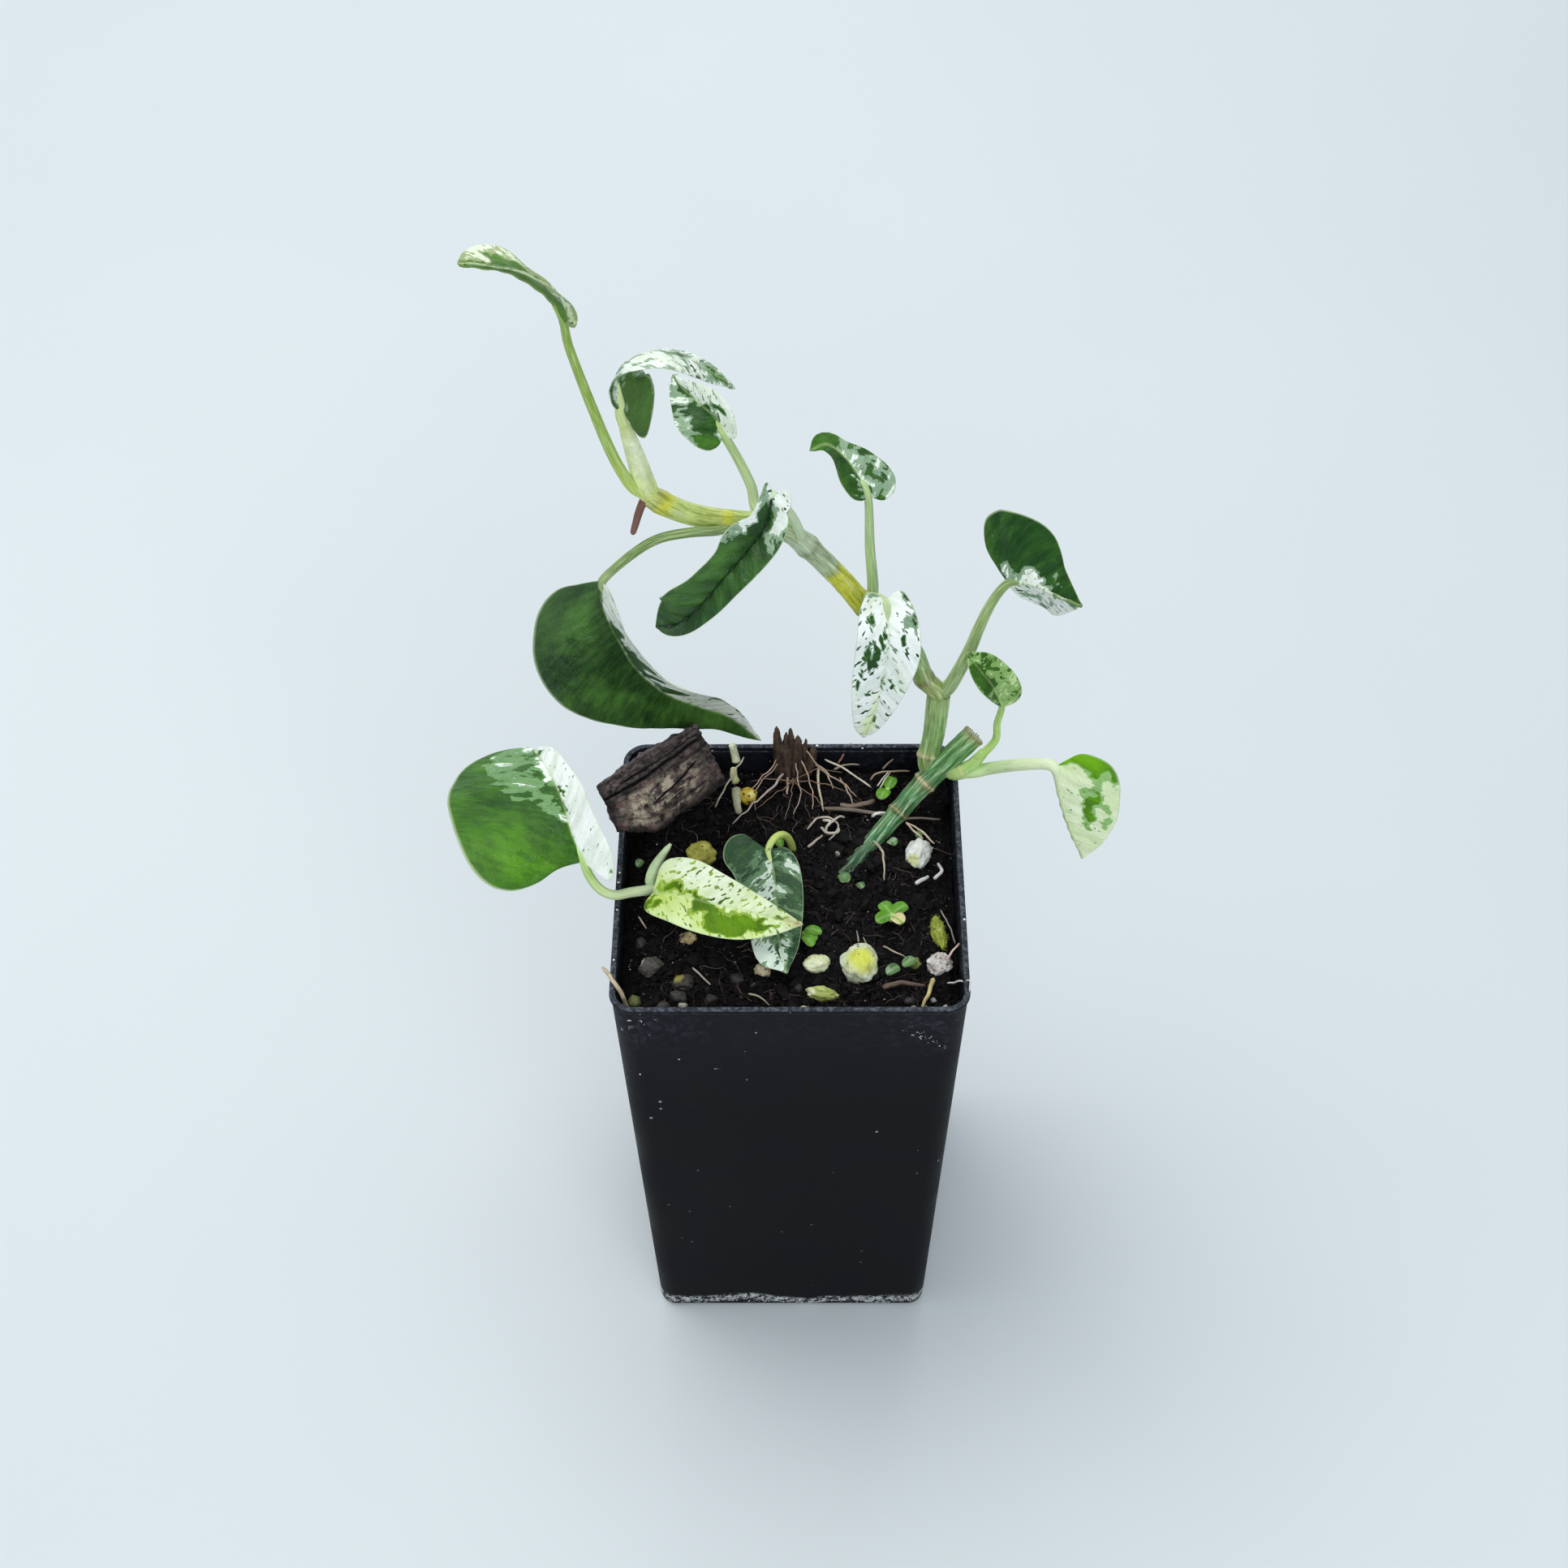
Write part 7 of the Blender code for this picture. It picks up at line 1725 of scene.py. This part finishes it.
def buildPebbles():
    items = []
    for k, (spot, half, colour) in enumerate(pebbles):
        dull = tuple(c * 0.45 for c in colour)
        stone = {"place": spot, "half": half, "turn": 37 * k, "rough": 0.32, "pits": 0.4, "low": dull,
                 "high": colour, "patch": (0, 0, 0.2, colour), "specks": 0.2}
        items.append(buildStone("pebble " + str(k), stone, 3))
    return joinPieces("pebbles", items)


# ---- thin dry pieces and roots ----

strawLooks = {
    "straw_left": ([(-28.6, -27.4, 103.2), (-29.6, -27, 107.5), (-30.6, -26.4, 110.2), (-33, -23.6, 111)],
                   (0.9, 0.7), (0.6, 0.5, 0.32), "straw"),
    "straw_right": ([(25.6, -21.4, 104.6), (25, -24, 105.2), (23.4, -28, 104.6)], (0.9, 0.6),
                    (0.62, 0.52, 0.22), "straw"),
    "twig": ([(9.5, 19.8, 104.8), (12, 19.2, 104.9), (14.5, 19.8, 105.2), (16, 20.8, 104.8)], (1, 0.8),
             (0.16, 0.11, 0.08), "straw"),
    "curled_root": ([(3.2, 13.8, 104.6), (5.2, 16, 105.1), (8, 15.8, 105), (8.9, 13.2, 105),
                     (7.2, 11, 104.7)],
                    (0.42, 0.32), (0.5, 0.45, 0.37), "root_pale"),
}
rootHub = (0.5, 25.6, 105.2)
rootEnds = [
    [(-3, 25, 106.4), (-7.5, 25.6, 105)], [(-3, 21.5, 105.8), (-6.5, 18.8, 104.7)],
    [(0, 20.5, 105.8), (-1, 16, 104.7)], [(4, 21, 106), (7.5, 18, 104.7)],
    [(5.5, 24, 106.4), (11.5, 22.6, 104.9)], [(5, 27, 106.6), (10, 27.6, 105.2)],
]
threads = {
    # slot: (points, first and last diameter, colour)
    "root_pale": [
        ([(-11.2, 31.3, 109.4), (-10.8, 30.6, 108), (-10.3, 29.2, 106.2)], (1.5, 1.7), (0.62, 0.68, 0.45)),
        ([(-10.8, 28.2, 106), (-10.8, 26.4, 105.4), (-10.2, 25.1, 105)], (1.3, 1.6), (0.7, 0.74, 0.36)),
        ([(-10.3, 23.7, 105), (-10, 20.7, 104.8), (-9.6, 17.9, 104.4)], (1.9, 1.3), (0.5, 0.52, 0.34)),
        ([(-8.9, 30, 107), (-12.4, 23.7, 105.6), (-14.2, 19.3, 104.7)], (0.35, 0.3), (0.62, 0.58, 0.46)),
        ([(-1, 27.2, 106), (-4.1, 22.6, 105.4), (-7.9, 18.7, 105), (-10.9, 15.2, 104.5)],
         (0.5, 0.25), (0.6, 0.5, 0.48)),
        ([(1.4, 29.4, 113), (0.7, 29, 108), (-0.3, 27.1, 105.6), (-0.6, 22.5, 104.7)],
         (0.45, 0.5), (0.66, 0.46, 0.36)),
        ([(1.8, 29.5, 113.2), (2.6, 28.8, 109.5), (5.4, 28, 106.4)], (0.4, 0.5), (0.62, 0.46, 0.3)),
        ([(5.4, 28, 106.4), (5.5, 24, 105.4), (6.3, 18.4, 104.6)], (0.55, 0.35), (0.6, 0.52, 0.38)),
        ([(5.4, 28, 106.4), (7.1, 26.8, 105.4), (8.2, 23.9, 104.6)], (0.45, 0.2), (0.5, 0.42, 0.3)),
        ([(6.6, 29.6, 106.8), (11.1, 27.4, 105.8), (15.4, 24.1, 104.9)], (0.4, 0.35), (0.66, 0.6, 0.5)),
        ([(9.5, 26.3, 105.2), (10.9, 22.8, 105), (12.4, 19, 104.4)], (0.35, 0.25), (0.4, 0.32, 0.24)),
        ([(5.8, 14.3, 104.6), (7, 12.6, 105), (8.9, 12.6, 105.1), (9.2, 13.7, 105)],
         (0.55, 0.5), (0.55, 0.5, 0.42)),
        ([(6.2, 15.9, 104.8), (7.5, 15.2, 105.3), (6.8, 14.1, 105), (6.8, 13, 104.8)],
         (0.6, 0.5), (0.6, 0.55, 0.48)),
        ([(7.5, 15, 105), (9.2, 16.1, 105.6), (10.3, 16.4, 105)], (0.55, 0.4), (0.5, 0.46, 0.4)),
        ([(15.4, 16.8, 104.8), (16.4, 16.9, 105.5), (18.1, 17, 105.3), (20, 16.5, 104.8)],
         (0.6, 0.5), (0.82, 0.8, 0.74)),
        ([(21.8, 14.6, 105.6), (23.1, 11.8, 106.4), (24.7, 9.7, 106.8)], (0.4, 0.35), (0.7, 0.56, 0.42)),
        ([(22.1, 14.4, 105.6), (24.4, 12.1, 106.2), (26.9, 9.4, 105.6)], (0.4, 0.35), (0.66, 0.55, 0.4)),
        ([(15.6, 10.2, 105.4), (16.9, 8.6, 105.2), (17.4, 6.1, 104.8), (17.4, 1.5, 104.4)],
         (0.55, 0.3), (0.5, 0.42, 0.32)),
        ([(3.3, 9.6, 104.4), (4.8, 10.6, 105), (6.1, 12.3, 104.7)], (0.6, 0.3), (0.6, 0.5, 0.42)),
        ([(23.1, 0.5, 104.6), (24.5, 1, 105.3), (25.6, 2.3, 104.6)], (0.8, 0.6), (0.72, 0.72, 0.7)),
        ([(26.6, 1.8, 104.4), (28.1, 3.1, 105.2), (27.4, 5.3, 104.8)], (0.7, 0.6), (0.6, 0.6, 0.58)),
        ([(28, -22.8, 105.2), (30.1, -24, 107.4), (31.6, -25.6, 109.5), (31.5, -27.8, 109.4)],
         (0.35, 0.3), (0.8, 0.8, 0.76)),
        ([(0.6, 29, 114), (-2.8, 27.6, 109), (-6.5, 24, 105.6), (-9.5, 21, 104.8)],
         (0.3, 0.2), (0.52, 0.34, 0.26)),
        ([(0.2, 28.8, 112), (1.6, 26, 107), (1.9, 21.5, 105), (0.6, 17.5, 104.8)],
         (0.32, 0.2), (0.5, 0.36, 0.3)),
        ([(1, 28.8, 111), (3.4, 25.4, 106.6), (4.4, 21, 105), (4.2, 18.6, 104.8)],
         (0.3, 0.18), (0.6, 0.42, 0.32)),
        ([(2, 28.8, 112), (6, 26.6, 107.4), (9.6, 25.2, 105.6), (12.6, 21.6, 105)],
         (0.3, 0.2), (0.55, 0.38, 0.28)),
        ([(-0.4, 28.4, 110), (-4.2, 26.2, 106), (-6.8, 22.4, 105), (-6.6, 18.4, 104.8)],
         (0.28, 0.18), (0.45, 0.34, 0.28)),
        ([(-7.3, -24.5, 104.4), (-5.5, -25.5, 104.9), (-3.6, -26.9, 104.2)],
         (0.4, 0.25), (0.5, 0.46, 0.34)),
    ],
    "straw": [
        ([(16.6, 24.6, 104.6), (18.8, 26.8, 106.4)], (0.3, 0.2), (0.8, 0.78, 0.66)),
        ([(17.1, 24.1, 104.6), (19.2, 26.8, 106.4)], (0.3, 0.2), (0.8, 0.78, 0.66)),
        ([(9.2, 30, 105.2), (10.6, 30.9, 107.8), (11.6, 31.2, 109.6)], (0.4, 0.3), (0.34, 0.17, 0.13)),
        ([(17.7, 28.8, 104.8), (19.8, 29.8, 106.6)], (0.5, 0.3), (0.2, 0.16, 0.12)),
        ([(15.3, 26, 104.8), (17, 27.5, 105.4), (22.9, 27.9, 105.2)], (0.4, 0.35), (0.3, 0.22, 0.15)),
        ([(8.4, 28.8, 104.8), (10.5, 29.4, 105.4), (13.3, 29.8, 105)], (0.45, 0.3), (0.36, 0.3, 0.22)),
        ([(6.5, 18.9, 104.8), (12.4, 18.2, 105), (20.5, 16, 105.4), (28.2, 15.9, 105)],
         (0.8, 0.4), (0.14, 0.11, 0.09)),
        ([(28, -18.2, 106), (29.4, -16.6, 106.8), (30.4, -15.4, 107.2)], (0.45, 0.35), (0.72, 0.5, 0.46)),
        ([(16.8, -14, 104.6), (20.7, -16.9, 105.2)], (0.35, 0.25), (0.42, 0.36, 0.26)),
        ([(27.5, -6, 105), (29, -10, 104.9), (29.8, -13.5, 104.7)], (0.3, 0.25), (0.34, 0.3, 0.28)),
        ([(16.6, -23.2, 104.4), (20, -22.6, 105), (24.1, -22.9, 104.6)], (1.1, 0.5), (0.1, 0.06, 0.045)),
        ([(12.4, -13.8, 105.6), (12, -12.4, 107.2)], (0.35, 0.2), (0.45, 0.42, 0.34)),
        ([(14.2, -15.1, 105.2), (13.2, -13.6, 106.8)], (0.35, 0.2), (0.42, 0.4, 0.3)),
        ([(-27.6, -7.3, 104.8), (-26.1, -9.9, 104.6)], (0.35, 0.25), (0.6, 0.5, 0.42)),
        ([(-17.4, -19, 104.8), (-15.9, -21, 105), (-14.1, -22.5, 104.4)], (0.4, 0.3), (0.42, 0.36, 0.32)),
    ],
}


def wander(points):
    # the same path with small bends of its own, its ends unmoved
    path = Path(points, 5)
    reach = min(0.05 * path.length, 0.6)
    bent = []
    for point, distance in zip(path.curve, path.distances):
        share = distance / path.length
        push = noise.noise_vector(Vector(tuple(point * 0.55)))
        bent.append(tuple(point + np.array(push) * reach * 4 * share * (1 - share)))
    return bent


def growThread(points, ends, colour, material, sides=8):
    points = wander(points)
    profile = [(0, ends[0] * 0.6), (0.06, ends[0]), (0.94, ends[1]), (1, ends[1] * 0.5)]
    tints = [(0, colour), (0.5, tuple(min(1, c * 1.1) for c in colour)), (1, tuple(c * 0.85 for c in colour))]
    return growStalk("thread", points, profile, tints, material, 18, sides, 0, 0, 0.05, 1.4)


def threadMaterial(name):
    return stalkMaterial(name, (0.45, 0.38, 0.34), (0.75, 0.66, 0.56), 0.55, 0.3, 0.35)


def buildFanRoots():
    material = threadMaterial("pale roots")
    x, y, z = rootHub
    colour = (0.26, 0.155, 0.1)
    foot = [(x, y + 0.6, z - 4), (x, y + 0.3, z - 1), (x, y, z + 0.5)]
    items = [growThread(foot, (0.6, 0.5), colour, material, 10)]
    items += [growThread([rootHub] + ends, (0.22, 0.1), colour, material, 10) for ends in rootEnds]
    return joinPieces("fan roots", items)


# ---- seedlings and small green bits ----

seedlings = {
    # place, then the turn, length and look of each leaflet
    "seedling_front": ((18.5, -7.5), [(35, 3.4, "green"), (130, 3, "green"), (215, 3.4, "green"),
                                      (310, 3, "peach")]),
    "seedling_back": ((18.6, 24), [(70, 2.8, "green"), (240, 3.2, "green")]),
}
leafletLooks = {
    "green": {"pale": (0.1, 0.1), "dark": (0.04, 0.16, 0.008), "bright": (0.17, 0.44, 0.03), "glow": 0.6,
              "palePatches": [(0.6, 0, 0.3, 0.5, 0.1)]},
    "peach": {"pale": (0.7, 0.7), "dark": (0.2, 0.3, 0.05), "bright": (0.3, 0.6, 0.05), "glow": 0.1,
              "white": (0.74, 0.56, 0.34), "grey": (0.35, 0.55, 0.08),
              "palePatches": [(0.85, 0, 0.25, 2, -0.6)]},
    "moss": {"pale": (0.2, 0.2), "dark": (0.04, 0.13, 0.05), "bright": (0.2, 0.34, 0.12), "glow": 0.4,
             "palePatches": [(0.5, 0, 0.3, 0.5, 0.2)]},
}
roundLeaflet = [(0, 0), (0.02, 0.3), (0.14, 0.72), (0.42, 1), (0.74, 0.92), (0.94, 0.55), (1, 0)]
looseGreen = [
    # small leaves lying on the soil: rib ends, half width, look
    ((2.2, -11.4, 105.4), (4.9, -13, 105.2), 1.2, "green"),
    ((2.6, -11, 105.6), (5.8, -11.8, 105.7), 1.0, "green"),
    ((2.4, -12.2, 105.6), (4.2, -14.6, 105.4), 1.1, "green"),
    ((9.2, 2.6, 104.8), (10.8, 0.6, 105.1), 1.1, "moss"),
    ((10.4, 3, 104.8), (9.6, 0.4, 105.2), 0.9, "moss"),
    ((12.6, 0.6, 104.6), (13.3, -0.8, 104.9), 0.8, "moss"),
    ((18.4, 10.8, 104.8), (19.8, 9.4, 105.3), 1.0, "moss"),
    ((-28.4, 4.5, 104.8), (-27.4, 5.9, 105), 0.8, "moss"),
    ((23.6, 11.6, 105), (24.8, 12.4, 105.2), 0.7, "moss"),
    ((17.2, -20.6, 105), (19.6, -19.2, 105.3), 1.1, "moss"),
    ((20.2, -19, 105.2), (22.4, -17.6, 105.6), 1.0, "moss"),
    ((-2.6, 10.1, 106.4), (-1.6, 8, 106.2), 0.9, "green"),
]


def growLeaflet(start, end, half, look, seed):
    start, end = Vector(start), Vector(end)
    middle = (start + end) / 2 + Vector((0, 0, 0.35))
    leaf = {"rib": [tuple(start), tuple(middle), tuple(end)], "face": [(0, 0, 1)], "width": (half, half),
            "fold": [(14, 14), (14, 14)], "half": (roundLeaflet, roundLeaflet),
            "fleck": 0.0, **leafletLooks[look]}
    sheet = growBlade("leaflet", leaf, 16, 7, seed)
    values = {"Thickness": 0.4, "Quilting": 0.0, "Ripple": 0.25, "Ripple size": 1.6, "Vein spacing": 2.0,
              "Midrib": 0.1, "Material": leafletMaterials[look]}
    return applyTree(sheet, leafBlade, values)


def buildSeedling(name):
    (x, y), leaflets = seedlings[name]
    ground = soilHeight(x, y)
    title = name.replace("_", " ") + " stem"
    material = stalkMaterial(title, (0.6, 0.8, 0.5), (0.6, 0.75, 0.35), 0.4, 0.3, 0.0)
    items = [growStalk("stem", [(x, y, ground - 1.6), (x, y, ground + 2)], [(0, 1), (1, 0.9)],
                       [(0, (0.35, 0.5, 0.2)), (1, (0.3, 0.6, 0.12))], material, 8, 12)]
    for k, (angle, length, look) in enumerate(leaflets):
        turn = math.radians(angle)
        along = Vector((math.cos(turn), math.sin(turn), 0))
        start = Vector((x, y, ground + 1.7)) + along * 0.1
        items.append(growLeaflet(start, start + along * length + Vector((0, 0, 0.5)), 1.35, look, 40 + k))
    return joinPieces(name, items)


# ---- everything in place ----

buildStage()
place(buildPot(), ["pot"], "pot_plastic", "pot_shell")
place(buildPotDust(), [], "pot_plastic", "pot_mineral_dust")
place(buildSoil(), ["soil"], "soil_mix", "soil_body")
place(strewCrumbs(), [], "soil_mix", "soil_litter")
place(strewFibres(), [], "soil_mix", "soil_fibres")
print("pot and soil ready")

place(buildBarkChunk(), ["bark_chunk"], "bark", "bark_slab")
place(buildBarkStub(), ["bark_stub"], "bark", "bark_splinters")
for name, stone in stones.items():
    place(buildStone(name, stone), [name], stone.get("slot", "pumice"), name + "_lump")
place(buildPebbles(), [], "pumice", "small_pebbles")
for name, (points, ends, colour, slot) in strawLooks.items():
    strand = growThread(points, ends, colour, threadMaterial(name.replace("_", " ")), 10)
    place(strand, [name], slot, name + "_strand")
place(buildFanRoots(), ["fan_roots"], "root_pale", "fan_of_roots")
for slot, rows in threads.items():
    material = threadMaterial("loose " + slot.replace("_", " "))
    place(joinPieces("threads", [growThread(*row, material) for row in rows]), [], slot, "loose_" + slot)
print("bark, stones and roots ready")

oldStem = [growStem("old_stem"), raggedCut()]
place(joinPieces("old stem", oldStem), ["old_stem"], "stem_green", "old_stem_skin")
vine = [growStem(part) for part in ("vine", "shoot", "sheath")]
place(joinPieces("vine", vine), ["climbing_vine"], "vine_green", "climbing_vine_skin")
cutting = [growStem(part) for part in ("cutting", "stipule")]
place(joinPieces("cutting", cutting), ["rooted_cutting"], "stem_green", "rooted_cutting_skin")
place(growStem("young_shoot"), ["young_shoot"], "vine_green", "young_side_shoot")
place(growStem("aerial_root"), ["aerial_root"], "root_brown", "aerial_root_strand")
print("stems ready")

for seed, (name, leaf) in enumerate(leaves.items(), 1):
    place(buildLeaf(name, leaf, seed), [name], leaf["slot"], name + "_blade")
leafletMaterials = {look: leafMaterial(look + " leaflet", lookOf(row)) for look, row in leafletLooks.items()}
for name in seedlings:
    place(buildSeedling(name), [name], "seedling_green", name + "_plant")
greens = [growLeaflet(*row, 60 + k) for k, row in enumerate(looseGreen)]
place(joinPieces("loose green", greens), [], "seedling_green", "small_green_leaves")
print("leaves ready")
